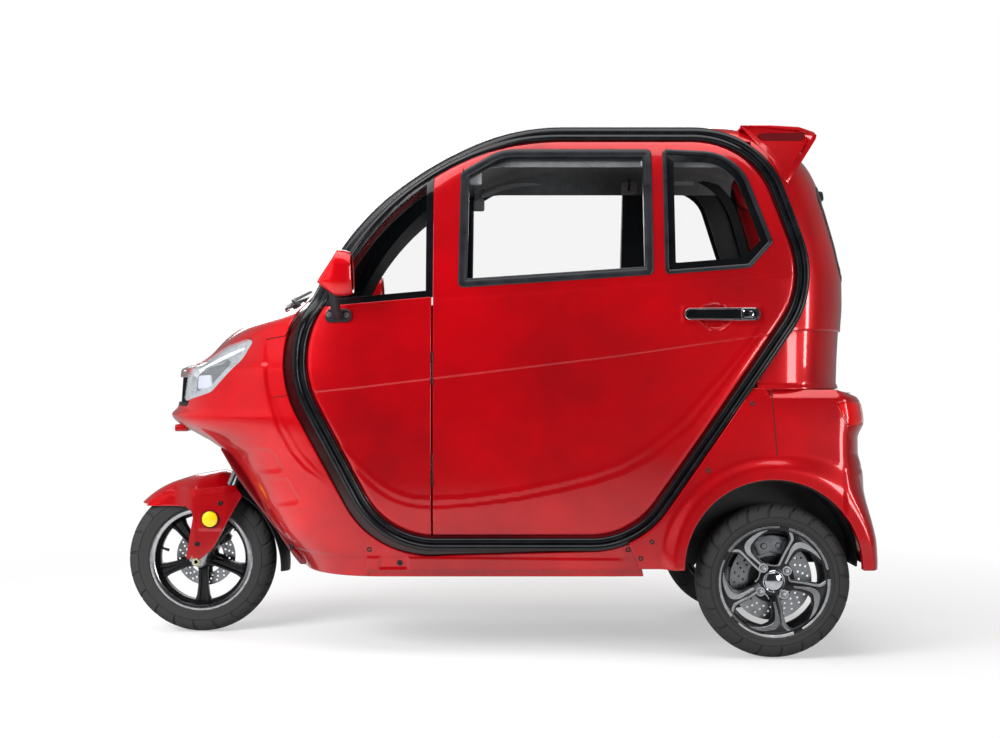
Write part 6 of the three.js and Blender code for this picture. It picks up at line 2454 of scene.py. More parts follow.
@dataclass
class RearShell:
    """The upper rear shell, which carries the rear window, and the lower one round the wheels."""

    step: float = 6.5
    top: float = 800.0
    waist: float = 975.0
    arch: tuple[float, float, float] = (-841.0, 272.0, 264.0)
    lip: float = 25.0
    lip_y: float = 551.0
    seam_x: tuple[Point2, ...] = ((-841, 797), (-846, 700), (-852, 610), (-856, 564))

    def build(self) -> None:
        """Makes both shells and the pieces set into them."""
        self.upper()
        self.window()
        self.lower()
        for side in Side:
            self.seams(side)
            self.lamp(side)

    def upper(self) -> None:
        """The upper shell, in two tiers with a step between them."""
        tiers = Sheet()
        for low, high, depth in ((self.waist + 1, 1606.0, 0.0), (self.top + 1.5, self.waist, 6.0)):
            tier = Sheet.wrapped(CABIN, (-1.0, 0.22), (low, high), self.step, depth)
            tier.trim(box_planes(OPEN, (ROOF_REAR_X - 1.0, None, None)))
            tier.punch(RING.planes(3.0), SIDE_ZONE)
            if depth == 0:
                tier.punch(REAR_PANE.planes(8.0, (1, 2)), box_planes(OPEN, (-900, None, None)))
            tier.tidy().face(Vector((-1, 1, 0)))
            if depth:
                tier.press(lambda co: 6.0 * (1 - smooth((co.z / MM - 802) / 14)))
            tier.roll(2.0, 16.0, where=off_middle)
            tiers.join(tier)
        cap = Sheet.flat((-960, 0), (ROOF_REAR_X - 1, 240), 8.0, (0, 1))
        for vert in cap.bm.verts:
            vert.co.z = CABIN.top_at(vert.co.x, vert.co.y) - 0.001
        tiers.join(cap.face(Vector((0, 0, 1))))
        emit(tiers.doubled(), "rear_upper_skin", RED, "cabin", ["rear_upper_shell"])

    def window(self) -> None:
        """The rear window with its dark border, its rubber and three clamps."""
        pane = Sheet.wrapped(CABIN, (-1.0, -0.2), (1136, 1424), 12.0, 1.0)
        pane.trim(REAR_PANE.moved(3).planes(8.0, (1, 2))).tidy().face(Vector((-1, 0, 0)))
        border = pane.copy()
        emit(pane.doubled(), "rear_window_pane", GLASS, "cabin", ["rear_window"])
        border.punch(REAR_PANE.moved(34).planes(8.0, (1, 2)))
        border.press(lambda co: 0.8)
        border.roll(0.6, 5.0, rows=2, where=off_middle)
        emit(border.doubled(), "rear_window_border", GLOSS_BLACK, "cabin")
        rubber = Sheet.wrapped(CABIN, (-1.0, -0.2), (1130, 1430), 7.0, -1.5)
        rubber.trim(REAR_PANE.moved(-6).planes(8.0, (1, 2)))
        rubber.punch(REAR_PANE.moved(9).planes(8.0, (1, 2))).tidy().face(Vector((-1, 0, 0)))
        rubber.roll(2.5, 7.0, where=off_middle)
        emit(rubber.doubled(), "rear_window_rubber", SEAL, "cabin")
        knobs = Sheet()
        for y, z in ((-200, 1404), (200, 1404), (0, 1158)):
            knobs.join(turned(((0, -4), (15, -4), (17, 2), (14, 9), (0, 11)),
                              (CABIN.sizes(z * MM)[1] / MM * (1.0 - 0.00006 * abs(y)), y, z), 24,
                              (-1, 0, 0.15), closed=False))
        emit(knobs, "rear_window_clamps", BLACK, "cabin")

    def flare(self, co: Vector) -> Vector:
        """Where a point of the lower shell goes, so that it flares out to the arch's lip.

        Args:
            co: The point, in metres.

        Returns:
            Its new place, in metres.
        """
        x, z = co.x / MM, co.z / MM
        cx, cz, radius = self.arch
        reach = math.hypot(x - cx, z - cz)
        back = smooth((cx - x) / 240)
        wide = 44 + 40 * back
        share = smooth((radius + self.lip + wide - reach) / wide)
        y = co.y / MM
        if share > 0 and y > 300:
            y += (self.lip_y - y) * share
        return Vector((co.x, y * MM, co.z))

    def lower(self) -> None:
        """The lower shell with the wheel arches and their flared lips."""
        shell = Sheet.wrapped(TAIL, (-1.0, 1.0), (270, self.top), self.step)
        shell.trim([slanted(SILL_REAR, False, -0.5)])
        shell.punch(RING.planes(3.0), SIDE_ZONE)
        shell.punch(circle_planes(*self.arch, 96), box_planes((None, 300, None), OPEN))
        shell.punch(TAIL_LAMP.moved(-1).planes(8.0), SIDE_ZONE).tidy()
        shell.lay(self.flare).face(Vector((-1, 1, 0))).press(self.pressings)
        shell.roll(3.0, 26.0, where=off_middle)
        emit(shell.doubled(), "rear_lower_skin", RED, "cabin", ["rear_lower_shell"])
        cap = Sheet.flat((-1118, 0), (-780, 510), 10.0, (0, 1))
        height = (self.top - 14) * MM
        cap.lay(lambda p: Vector((p.x, min(p.y, max(0.0, TAIL.half_at(p.x, height) - 0.03)), height)))
        emit(cap.face(Vector((0, 0, 1))).doubled(), "rear_deck", BLACK, "cabin")

    def pressings(self, co: Vector) -> float:
        """The shoulder's step, the number plate's recess and the bumper's line, in mm.

        Args:
            co: The place, in metres.

        Returns:
            The rise, in mm; negative where the shell is sunk.
        """
        y, z = abs(co.y) / MM, co.z / MM
        shoulder = smooth((-825 - co.x / MM) / 12)
        rise = -0.55 * max(0.0, z - 774) * shoulder
        if co.x < -1.05:
            plate_in = min(170 - y, z - 575, 690 - z)
            rise -= 12.0 * smooth((plate_in + 2) / 14)
            rise += 2.5 * smooth((560 - z) / 12) * smooth((z - 300) / 60)
        return rise

    def seams(self, side: Side) -> None:
        """The upright seam over the arch and the round screws on one side.

        Args:
            side: The shell's side.
        """
        lines = ribbon(TAIL, self.seam_x, 2.6, 0.4)
        emit_side(lines, side, "rear_seams", SHADOW)
        screws = Sheet()
        for form, x, z in ((TAIL, -783, 757), (TAIL, -650, 560), (TAIL, -485, 349),
                           (TAIL, -452, 300)):
            screws.join(disc_on(form, x, z, SCREW))
        emit_side(screws, side, "rear_screws", BLACK)

    def lamp(self, side: Side) -> None:
        """A tail lamp: a red lens over a lit red bowl, with a white part at its inner end.

        Args:
            side: The lamp's side.
        """
        outer = self.lamp_sheet(1.5, 0.5).roll(1.5, 18.0)
        emit_side(outer, side, "tail_lamp_lens", TAIL_LENS, ["tail_lamp"])
        inner = self.lamp_sheet(5.0, 6.0)
        inner.roll(1.0, 6.0)
        emit_side(inner, side, "tail_lamp_bowl", TAIL_BOWL)
        white = self.lamp_sheet(14.0, 4.0)
        white.trim(box_planes((None, 250, None), (None, 330, None)))
        white.roll(1.0, 6.0)
        emit_side(white, side, "tail_lamp_white", REFLECTOR)

    @staticmethod
    def lamp_sheet(inset: float, depth: float) -> Sheet:
        """A sheet over a tail lamp, ending an inset inside its outline, at a depth, in mm.

        Args:
            inset: How far inside the outline it ends, in mm.
            depth: How far under the form it lies, in mm.

        Returns:
            The sheet.
        """
        sheet = Sheet.wrapped(TAIL, (-1.0, -0.02), (684, 770), 6.0, depth)
        sheet.trim(TAIL_LAMP.moved(inset).planes(8.0)
                   + box_planes((None, SIDE_INNER_Y + inset, None), OPEN))
        return sheet.tidy().face(Vector((-1, 1, 0)))


@dataclass
class Sill:
    """The sill under one door."""

    side: Side
    recess: Patch = field(default_factory=lambda: Patch(Outline((
        (330, 262, 8), (318, 300, 20), (236, 302, 14), (236, 262, 8)))))

    def build(self) -> None:
        """Makes the sill and its screws."""
        strip = Sheet.flat((-490, 240), (359.3, 470), 5.0)
        strip.trim([slanted(SILL_REAR, True, 0.8)]).punch(RECESS.planes(3.0)).tidy()
        strip.on_side(CABIN, self.relief)
        strip.roll(2.0, 18.0)
        emit_side(strip, self.side, "sill_skin", RED, ["sill"])
        screws = Sheet()
        for x, z in ((352, 322), (262, 281), (-418, 321), (150, 268), (-240, 266)):
            screws.join(disc_on(CABIN, x, z, SCREW))
        emit_side(screws, self.side, "sill_screws", BLACK)

    def relief(self, x: float, z: float) -> float:
        """The sill's crease, its lower edge and the recess at its front end, in mm.

        Args:
            x: Place along the vehicle, in mm.
            z: Height, in mm.

        Returns:
            The rise, in mm; negative where the sill is sunk.
        """
        rise = 2.6 * smooth((300 - z + 0.01 * x) / 9) * smooth((x + 440) / 60)
        rise -= 9.0 * smooth((262 - z) / 16)
        rise -= 5.0 * smooth((self.recess.depth(x, z) + 1) / 6)
        return rise


# Painted shade: a dark red for the sheet laid on the spoiler's fin where its hollow lies in shade.
POCKET_SHADE_RED = CandyLacquer("candy_red_pocket", "#74020B", 0.4, 0.3, shade="#540107")
# A bright red skin over the tail lamp.
TAIL_LENS = LampLens("red_tail_lens", "#FF0A14", 0.1, opacity=0.5, flute=8.0)
# The lit red ground behind that skin.
TAIL_BOWL = CandyLacquer("red_tail_reflector", "#FF0A12", 0.3, 0.2, shade="#E00010")


# ------------------------------------------------------------------------------- wheels
FRONT_AXLE = (939.0, 0.0, 239.34)
REAR_AXLE = (-850.0, 457.5, 228.89)


def polar(axle: Sequence[float], turn: float, radius: float) -> Point2:
    """The place seen from the side at a turn in degrees from upright towards the rear, in mm."""
    angle = math.radians(turn)
    return axle[0] - radius * math.sin(angle), axle[2] + radius * math.cos(angle)


def smooth_line(points: Sequence[Sequence[float]], steps: int = 6) -> list[Vector]:
    """A smooth line through points of any size.

    Args:
        points: The points, each with as many numbers as the first.
        steps: Pieces between two points.

    Returns:
        Points along the line, with the given ones among them.
    """
    places = [Vector(p) for p in points]
    line = []
    for i in range(len(places) - 1):
        a, b = places[i], places[i + 1]
        before, after = places[max(0, i - 1)], places[min(len(places) - 1, i + 2)]
        for k in range(steps):
            t = k / steps
            line.append(0.5 * (2 * a + (b - before) * t
                               + (2 * before - 5 * a + 4 * b - after) * t * t
                               + (3 * a - before - 3 * b + after) * t ** 3))
    return line + [places[-1]]


def stroke(axle: Sequence[float], points: Sequence[tuple[float, float, float]],
           steps: int = 6) -> list[Point2]:
    """The outline of a brush stroke on a wheel's face.

    Args:
        axle: Middle of the wheel, in mm.
        points: Its middle line as (turn in degrees, radius, width).
        steps: Pieces between two points.

    Returns:
        The outline, in mm.
    """
    line = smooth_line([(*polar(axle, turn, radius), width) for turn, radius, width in points],
                       steps)
    left, right = [], []
    for i, place in enumerate(line):
        along = (line[min(i + 1, len(line) - 1)] - line[max(i - 1, 0)]).xy.normalized()
        across = Vector((-along.y, along.x)) * (max(place.z, 0.8) / 2)
        left.append(tuple(place.xy + across))
        right.append(tuple(place.xy - across))
    return left + right[::-1]


def around(sheet: Sheet, axle: Sequence[float], count: int, start: float = 0.0) -> Sheet:
    """Copies of a piece, evenly turned about a wheel's axle.

    Args:
        sheet: The piece; it stays as it is.
        axle: Middle of the wheel, in mm.
        count: How many copies.
        start: Turn of the first copy, in degrees.

    Returns:
        All the copies as one sheet.
    """
    whole = Sheet()
    for i in range(count):
        piece = sheet.copy()
        turn = Matrix.Rotation(math.radians(start) + math.tau * i / count, 3, "Y")
        bmesh.ops.rotate(piece.bm, cent=Vector(axle) * MM, matrix=turn, verts=piece.bm.verts[:])
        whole.join(piece)
    return whole


@dataclass
class Tyre:
    """A tyre with grooves round its tread and slanted grooves over its shoulders."""

    radius: float
    half: float
    columns: int
    spacing: int
    slant: float
    seat: float = 152.6

    def build(self, axle: Sequence[float]) -> Sheet:
        """Makes the tyre round an axle at the middle of the wheel.

        Args:
            axle: Middle of the wheel, in mm.

        Returns:
            The closed tyre.
        """
        r, h = self.radius, self.half
        tread = ((r, 0.0), (r, 0.16 * h), (r - 0.3, 0.2 * h), (r - 5, 0.22 * h), (r - 5, 0.28 * h),
                 (r - 0.8, 0.30 * h), (r - 1.6, 0.42 * h), (r - 3.4, 0.55 * h), (r - 6.4, 0.68 * h),
                 (r - 10.5, 0.79 * h), (r - 16, 0.88 * h), (r - 23, 0.95 * h), (r - 31, 0.99 * h))
        wall = ((r - 36, h), (r - 37.5, h - 2.4), (r - 40, h - 2.4), (r - 41.5, 0.992 * h),
                (r - 46, 0.985 * h), (r - 52, 0.96 * h), (176, 0.9 * h),
                (173, 0.905 * h), (170.5, 0.88 * h), (167.6, 0.80 * h), (160, 0.71 * h),
                (self.seat, 0.66 * h))
        half = [*tread, *wall]
        profile = [*half, *((x, -y) for x, y in reversed(half[1:]))]
        sheet = turned(profile, axle, self.columns, closed=True)
        for vert in sheet.bm.verts:
            self.groove(vert, Vector(axle) * MM)
        bmesh.ops.recalc_face_normals(sheet.bm, faces=sheet.bm.faces[:])
        return sheet

    def groove(self, vert: bmesh.types.BMVert, centre: Vector) -> None:
        """Slants a point along the tread and sinks it where a groove runs, sideways on the wall.

        Args:
            vert: The point that is moved.
            centre: Middle of the wheel, in metres.
        """
        place = vert.co - centre
        radius, across = math.hypot(place.x, place.z), abs(place.y) / MM / self.half
        step = math.tau / self.columns
        turn = math.atan2(place.z, place.x)
        column = round(turn / step) % self.spacing
        sunk = 0.0
        if across > 0.34 and radius / MM > self.radius - 37 and column < 3:
            sunk = 5.5 if across < 0.9 else 4.0
        offset = self.spacing // 2
        if 0.52 < across < 0.84 and offset <= column < offset + 2:
            sunk = 3.5
        turn += math.radians(self.slant) * min(across, 1.0) ** 1.6
        sideways = smooth((across - 0.8) / 0.15)
        radius -= sunk * (1 - 0.7 * sideways) * MM
        y = place.y - math.copysign(sunk * sideways * MM, place.y)
        vert.co = centre + Vector((radius * math.cos(turn), y, radius * math.sin(turn)))


def rim_barrel(axle: Sequence[float], seat_side: float, lip: float = 5.0) -> Sheet:
    """The band of a wheel, with its lips and its sunk middle.

    Args:
        axle: Middle of the wheel, in mm.
        seat_side: How far from the middle the tyre's bead ends, in mm.
        lip: Thickness of the lips, in mm.

    Returns:
        The closed band.
    """
    s, e = seat_side, seat_side + lip
    half = ((144.5, 0), (144.5, s - 14), (151, s - 4), (152, s), (163, s + 0.3), (167, s + 1.2),
            (168.4, s + 3), (167.4, e), (164, e + 0.6), (158, e - 0.4), (153, e - 3), (149, e - 8),
            (146, e - 18), (140, e - 26), (139, 0))
    outer = [(r, y) for r, y in half]
    profile = [*outer, *((r, -y) for r, y in reversed(outer) if y)]
    return turned(profile, axle, 120)


def drilled_disc(axle: Sequence[float], y0: float, thick: float, inner: float, outer: float,
                 rows: Sequence[tuple[float, int, float]], hole: float) -> Sheet:
    """A brake disc with rows of holes.

    Args:
        axle: Middle of the wheel, in mm.
        y0: Place of its inner face, in mm.
        thick: Its thickness, in mm.
        inner: Radius of its bore.
        outer: Its outer radius.
        rows: Rows of holes as (radius, count, first turn in degrees).
        hole: Radius of a hole.

    Returns:
        The disc.
    """
    cx, _, cz = axle
    sheet = Sheet.flat((cx - outer - 2, cz - outer - 2), (cx + outer + 2, cz + outer + 2), 6.0)
    sheet.trim(circle_planes(cx, cz, outer, 72)).punch(circle_planes(cx, cz, inner, 48))
    for radius, count, start in rows:
        for k in range(count):
            x, z = polar(axle, start + 360 * k / count, radius)
            sheet.punch(circle_planes(x, z, hole, 8))
    sheet.tidy(0.2)
    bmesh.ops.translate(sheet.bm, vec=(0, y0 * MM, 0), verts=sheet.bm.verts[:])
    sheet.face(Vector((0, -1, 0)))
    bmesh.ops.solidify(sheet.bm, geom=sheet.bm.faces[:], thickness=-thick * MM)
    bmesh.ops.recalc_face_normals(sheet.bm, faces=sheet.bm.faces[:])
    return sheet


@dataclass
class FrontWheel:
    """The steered wheel: black five-spoke casting, turned lips, disc, valve and tyre."""

    axle: tuple[float, float, float] = FRONT_AXLE
    body: str = "front_wheel"

    def build(self) -> None:
        """Makes every piece of the wheel."""
        tyre = Tyre(239.34, 54.6, 560, 28, 5.5).build(self.axle)
        emit(tyre, "front_tyre_moulding", TYRE, self.body, ["front_tyre"], 40.0)
        casting = rim_barrel(self.axle, 37.7)
        casting.join(around(self.spoke(), self.axle, 5, 180.0))
        casting.join(turned(((10.8, 43), (27, 43), (30, 40), (30, 14), (36, 9), (36, -9),
                             (30, -14), (30, -41), (44, -43), (44, -44.6), (10.8, -44.6)),
                            self.axle, 48))
        emit(casting, "front_wheel_casting", POWDER, self.body, ["front_rim"])
        lips = Sheet()
        for sign in (1, -1):
            lips.join(turned(((150.5, sign * 37.0), (152, sign * 41.6), (157, sign * 44.6),
                              (164, sign * 45.6), (168.4, sign * 44.6), (170.4, sign * 42.2),
                              (169.4, sign * 40.0), (160, sign * 40.0)), self.axle, 144))
        emit(lips, "front_rim_lips", FRONT_CUT, self.body)
        disc = drilled_disc(self.axle, 45.0, 4.0, 58.0, 97.0,
                            ((67, 20, 0), (78, 20, 6), (88, 20, 12)), 3.2)
        emit(disc.copy(True), "front_brake_disc", DISC_STEEL, self.body)
        carrier = Sheet()
        for k in range(5):
            arm = stroke(self.axle, ((k * 72 + 10, 26, 22), (k * 72 + 20, 46, 16),
                                     (k * 72 + 22, 66, 13)))
            carrier.join(plate(arm, 45.4, 50.0, 1.0))
            x, z = polar(self.axle, k * 72 + 22, 63)
            carrier.join(turned(((0, 52.6), (4.2, 52.6), (5, 51.6), (5, 48)), (x, 0, z), 12,
                                closed=False))
        emit(carrier.copy(True), "front_disc_carrier", POWDER, self.body)
        valve = [(*polar(self.axle, -76, r), y) for r, y in ((141, 16), (128, 24), (112, 30))]
        stem = tube([(x, y, z) for x, z, y in valve], [4.5, 4.0, 5.0], 10)
        emit(stem, "front_valve", BLACK, self.body)

    def spoke(self) -> Sheet:
        """One spoke, upright, with a groove along its middle.

        Returns:
            The closed spoke.
        """
        x, _, z = self.axle
        side = ((26, 18), (44, 15), (70, 15), (98, 17), (122, 20), (136, 25), (144, 30))
        outline = [(x + half, z + r) for r, half in side] + [
            (x - half, z + r) for r, half in reversed(side)]
        spoke = plate(outline, -13, 13, 3.0, 2)
        for face in (1, -1):
            for edge in (1, -1):
                ridge = [(x + edge * a, z + r) for a, r in (
                    (3, 34), (4.5, 80), (8, 126), (12, 143), (22, 143), (17.5, 124), (13, 80),
                    (11, 34))]
                y0, y1 = sorted((face * 11.0, face * 21.0))
                spoke.join(plate(ridge, y0, y1, 3.5, 3))
        return spoke


@dataclass
class RearWheel:
    """A driven wheel: black casting with five turned double blades, cap, nuts and disc."""

    side: Side
    face: float = 35.0
    nut_turns: tuple[float, ...] = (-38, -128, -218, -308)
    nut_circle: float = 50.0
    dish: float = 8.5
    arc: tuple[tuple[float, float, float], ...] = tuple(
        (-56.8 + 62.2 * k / 8, 162.4, 9.5 - 0.4 * k) for k in range(9))
    strokes: tuple[tuple[tuple[float, float, float], ...], ...] = (
        ((-54, 49, 6), (-50.5, 90, 7), (-48.9, 122, 7.5), (-49.5, 140, 9), (-56.4, 162, 7)),
        ((-38, 62, 7), (-41, 92, 9), (-41, 115, 15), (-36, 133, 19), (-25, 143, 14),
         (-13, 151, 8), (-2, 158, 2)),
        ((-93, 56, 4), (-84, 48, 4.5), (-68, 46, 4.5), (-54, 49, 6)))
    web: tuple[Point2, ...] = (
        (-60, 44), (-55, 70), (-52.5, 100), (-51.5, 128), (-54, 142), (-59, 153), (-40, 153),
        (-20, 153), (6, 154), (0, 151), (-12, 143), (-22, 134.5), (-29, 124), (-32.5, 110),
        (-33.5, 92), (-31, 70), (-22, 46), (-40, 40))

    def build(self) -> None:
        """Makes every piece of the wheel on the left; each is mirrored for the right side."""
        self.axle = REAR_AXLE
        self.body = f"rear_wheel_{self.side.word}"
        middle = self.axle[1]
        tyre = Tyre(228.89, 62.0, 520, 26, -6.5).build(self.axle)
        self.show(tyre, "tyre_moulding", TYRE, ["rear_tyre"], 40.0)
        casting = rim_barrel(self.axle, 42.8)
        web = [polar(self.axle, turn, radius) for turn, radius in self.web]
        blade = self.dished(plate(web, middle + 12, middle + self.face, 2.5, 2))
        casting.join(around(blade, self.axle, 5))
        casting.join(turned(((15.5, -39.5), (44, -39.5), (47, -36), (47, 12), (47, 29), (44, 33),
                             (33, 36.5), (31, 34), (0, 34)), self.axle, 60, closed=False))
        for turn in self.nut_turns:
            x, z = polar(self.axle, turn, self.nut_circle)
            casting.join(turned(((0, 36.5), (13.5, 36.5), (16, 34), (16, 14)),
                                (x, middle, z), 28, closed=False))
        self.show(casting, "wheel_casting", POWDER, ["rear_rim"])
        cut = Sheet()
        for line in (self.arc, *self.strokes):
            near = middle + (47.6 if line is self.arc else self.face - 0.6)
            piece = plate(stroke(self.axle, line), near, near + 2.2, 0.7, 1)
            cut.join(piece if line is self.arc else self.dished(piece))
        self.show(around(cut, self.axle, 5), "wheel_turned_faces", REAR_CUT)
        cap = turned(((0, 45.5), (12, 44.8), (22, 42.5), (27, 40), (29, 37), (29, 30)), self.axle,
                     48, closed=False)
        ring = turned(((29, 34), (29.4, 41), (31, 42), (33, 40.5), (33.4, 34)), self.axle, 48)
        self.show(cap.join(ring), "wheel_cap", CHROME)
        nuts = Sheet()
        for turn in self.nut_turns:
            x, z = polar(self.axle, turn, self.nut_circle)
            spot = (x, self.axle[1], z)
            nuts.join(turned(((0, 50), (4, 49.4), (7, 46.5), (8.2, 42), (8.4, 35)), spot, 6,
                             closed=False))
            nuts.join(turned(((8, 36), (11, 38.2), (13.6, 38.2), (14.6, 36), (14.6, 33)), spot, 24,
                             closed=False))
        self.show(nuts, "wheel_nuts", NUT_STEEL, crease=25.0)
        disc = drilled_disc(self.axle, middle - 12, 4.0, 66.0, 122.0,
                            ((84, 24, 0), (97, 24, 5), (110, 24, 10)), 3.4)
        self.show(disc, "brake_disc", DISC_PLAIN)
        carrier = turned(((47, -14), (69, -14), (69, -6), (47, -6)), self.axle, 48)
        self.show(carrier, "disc_carrier", POWDER)
        self.caliper()

    def show(self, sheet: Sheet, name: str, finish: Finish,
             nodes: Sequence[str] = (), crease: float = 35.0) -> None:
        """Hands a piece of this wheel over, mirrored on the right side."""
        emit_side(sheet, self.side, f"rear_{name}", finish, nodes, self.body, crease)

    def dished(self, sheet: Sheet) -> Sheet:
        """Bends a piece of the face outwards towards the rim.

        Args:
            sheet: The piece that is bent.

        Returns:
            The same sheet.
        """
        for vert in sheet.bm.verts:
            reach = math.hypot(vert.co.x / MM - self.axle[0], vert.co.z / MM - self.axle[2])
            vert.co.y += self.dish * MM * smooth((reach - 55) / 110)
        return sheet

    def caliper(self) -> None:
        """The caliper over the rear part of the disc, fixed to the axle."""
        middle = self.axle[1]
        piece = Sheet()
        for y0, y1 in ((-30, -15), (-5, 6)):
            arc = stroke(self.axle, ((-28, 103, 46), (-2, 108, 50), (24, 103, 46)))
            piece.join(plate(arc, middle + y0, middle + y1, 4.0, 2))
        arc = stroke(self.axle, ((-24, 130, 7), (-2, 131, 7), (20, 130, 7)))
        piece.join(plate(arc, middle - 28, middle + 4, 2.0, 1))
        for turn in (-14, 10):
            x, z = polar(self.axle, turn, 104)
            piece.join(turned(((0, 10), (7, 9.5), (10, 6), (10, 2)), (x, middle, z), 20,
                              closed=False))
        emit_side(piece, self.side, "rear_caliper", CAST)


# Plain steel behind the rear spokes.
DISC_PLAIN = CastMetal("brake_disc_steel_rear", "#A4A7AB", 0.3, 1.0, shade="#8D9094")
# The yellowish zinc of the front axle's nuts.
NUT_CREAM = CastMetal("yellow_zinc_nut", "#DED9BE", 0.36, 0.7, shade="#CFC9A8")
# The cool zinc of the rear wheel nuts.
NUT_STEEL = CastMetal("zinc_plated_nut", "#D6D8DC", 0.32, 0.85, shade="#BFC2C7")


# ------------------------------------------------------------------------ steering and fork
RAKE = math.radians(24)
STEER_FOOT = (900.0, 239.34)
AXLE_LEAD = (FRONT_AXLE[0] - STEER_FOOT[0]) * math.cos(RAKE)


def steered(up: float, ahead: float, y: float = 0.0) -> tuple[float, float, float]:
    """A place in the steering frame, up its axis and ahead of it, in mm."""
    return (STEER_FOOT[0] - up * math.sin(RAKE) + ahead * math.cos(RAKE), y,
            STEER_FOOT[1] + up * math.cos(RAKE) + ahead * math.sin(RAKE))


STEER_AXIS = Vector(steered(1, 0)) - Vector(steered(0, 0))


@dataclass
class Steering:
    """The fork, the mudguard with its side covers, the brake caliper and the handlebar."""

    leg_y: float = 92.0
    body: str = "steering"
    hull: Outline = Outline((
        (34, 7, 16), (-8, 7, 18), (-50, 40, 40), (-143, 211, 8), (-119, 244.8, 6), (109, 222, 0),
        (130, 210, 0), (147, 198.5, 0), (164, 184.7, 0), (177, 172, 0)))
    notch: Outline = Outline(((4, 176, 34), (46, -30, 0), (420, -30, 0), (420, 176, 0)))
    crown: Profile = field(default_factory=lambda: Profile(
        (36, 53, 72, 93, 106, 122, 150, 188), (270, 268, 267.5, 280, 297, 290, 282, 290)))
    tail: Profile = field(default_factory=lambda: Profile(
        (112, 122, 150, 188), (260.6, 260, 256, 272)))
    flap_angle: float = 118.0
    crown_half: float = 62.0

    def build(self) -> None:
        """Makes every piece that steers, apart from the wheel."""
        self.fork()
        self.mudguard()
        self.caliper()
        self.handlebar()

    def fork(self) -> None:
        """The legs, the crown, the stem and the front axle."""
        sleeves, tubes = Sheet(), Sheet()
        for sign in (1, -1):
            foot = steered(0, AXLE_LEAD, sign * self.leg_y)
            sleeves.join(turned(((0, -33), (17, -33), (20, -29), (21, -6), (24, 6), (24, 168),
                                 (22.5, 176), (23.5, 180), (23.5, 193), (17.5, 195)), foot, 40,
                                STEER_AXIS, closed=False))
            tubes.join(turned(((0, 150), (16.6, 150), (16.6, 303), (0, 303)), foot, 40, STEER_AXIS,
                              closed=False))
            y0, y1 = sorted((sign * (self.leg_y - 20), sign * (self.leg_y + 26)))
            block_points = [steered(u, AXLE_LEAD + a) for u, a in (
                (-24, -24), (-24, 24), (40, 24), (40, -24))]
            sleeves.join(plate([(p[0], p[2]) for p in block_points], y0, y1, 4.0, 2))
        emit(sleeves, "fork_sleeves", SATIN, self.body, ["fork"])
        emit(tubes, "fork_tubes", CHROME, self.body)
        crown = [steered(u, a) for u, a in ((300, -30), (300, 60), (332, 60), (332, -30))]
        yoke = plate([(p[0], p[2]) for p in crown], -114, 114, 8.0, 3)
        yoke.join(turned(((0, 300), (25, 300), (25, 690), (22, 694), (0, 694)), steered(0, 0), 40,
                         STEER_AXIS, closed=False))
        yoke.join(tube([steered(-15.9 + 258, AXLE_LEAD), steered(300, AXLE_LEAD - 8)], 20, 24))
        emit(yoke, "fork_crown", POWDER, self.body)
        axle = Sheet()
        axle.join(turned(((0, -128), (6, -128), (10, -125), (10, 125), (6, 128), (0, 128)),
                         FRONT_AXLE, 32, closed=False))
        for sign in (1, -1):
            axle.join(turned(((0, sign * 118), (12.5, sign * 118), (12.5, sign * 126),
                              (10.5, sign * 128), (0, sign * 128)), FRONT_AXLE, 6))
            axle.join(turned(((9, sign * 117.6), (15, sign * 117.6), (15, sign * 119.4),
                              (9, sign * 119.4)), FRONT_AXLE, 32))
        emit(axle, "front_axle", NUT_CREAM, self.body, crease=25.0)

    def crease(self, angle: float) -> float:
        """How far from the axle the crown's side edge runs, at an angle from ahead, in mm.

        Args:
            angle: The angle, in degrees.

        Returns:
            The distance, in mm.
        """
        if angle <= 63.8:
            return 247.0
        if angle <= 112:
            turn = math.radians(angle)
            return 232.9 / (math.sin(turn) + 0.1 * math.cos(turn))
        return self.tail.at(angle)

    def crown_part(self, first: float, last: float) -> Sheet:
        """The mudguard's crown between two angles from ahead of the axle, in degrees.

        Args:
            first: Angle of its front end, in degrees.
            last: Angle of its rear end, in degrees.

        Returns:
            The sheet.
        """
        cx, _, cz = FRONT_AXLE
        part = Sheet.flat((first, -self.crown_half), (last, self.crown_half), 1.0)
        for vert in part.bm.verts:
            angle, y = vert.co.x / MM, vert.co.z / MM
            share = min(1.0, abs(y) / self.crown_half)
            top, turn = self.crown.at(angle), math.radians(angle)
            y *= self.shoulder(self.crease(angle) * math.cos(turn)) / self.crown_half
            radius = top - (top - self.crease(angle)) * share ** 2.2
            vert.co = Vector((cx + radius * math.cos(turn), y, cz + radius * math.sin(turn))) * MM
        return part

    def mudguard(self) -> None:
        """The red crown of the mudguard, its black tail and the two side covers."""
        cx, _, cz = FRONT_AXLE
        crown = self.crown_part(36, self.flap_angle)
        tip = (Vector((cx, 0, cz + 174)) * MM, Vector((-0.05, 0, 1)).normalized())
        crown.punch([tip], box_planes((cx + 60, None, None), OPEN))
        crown.tidy().face(Vector((0.2, 0, 1)))
        crown.roll(1.0, 4.0)
        emit(crown, "mudguard_crown", RED, self.body, ["front_mudguard"])
        tail = self.crown_part(self.flap_angle - 2, 188)
        tail.lay(lambda p: p - (p - Vector(FRONT_AXLE) * MM).normalized() * 0.003)
        tail.face(Vector((-0.5, 0, 1))).roll(1.0, 4.0)
        emit(tail, "mudguard_tail", BLACK, self.body)
        for side in Side:
            self.cover(side)

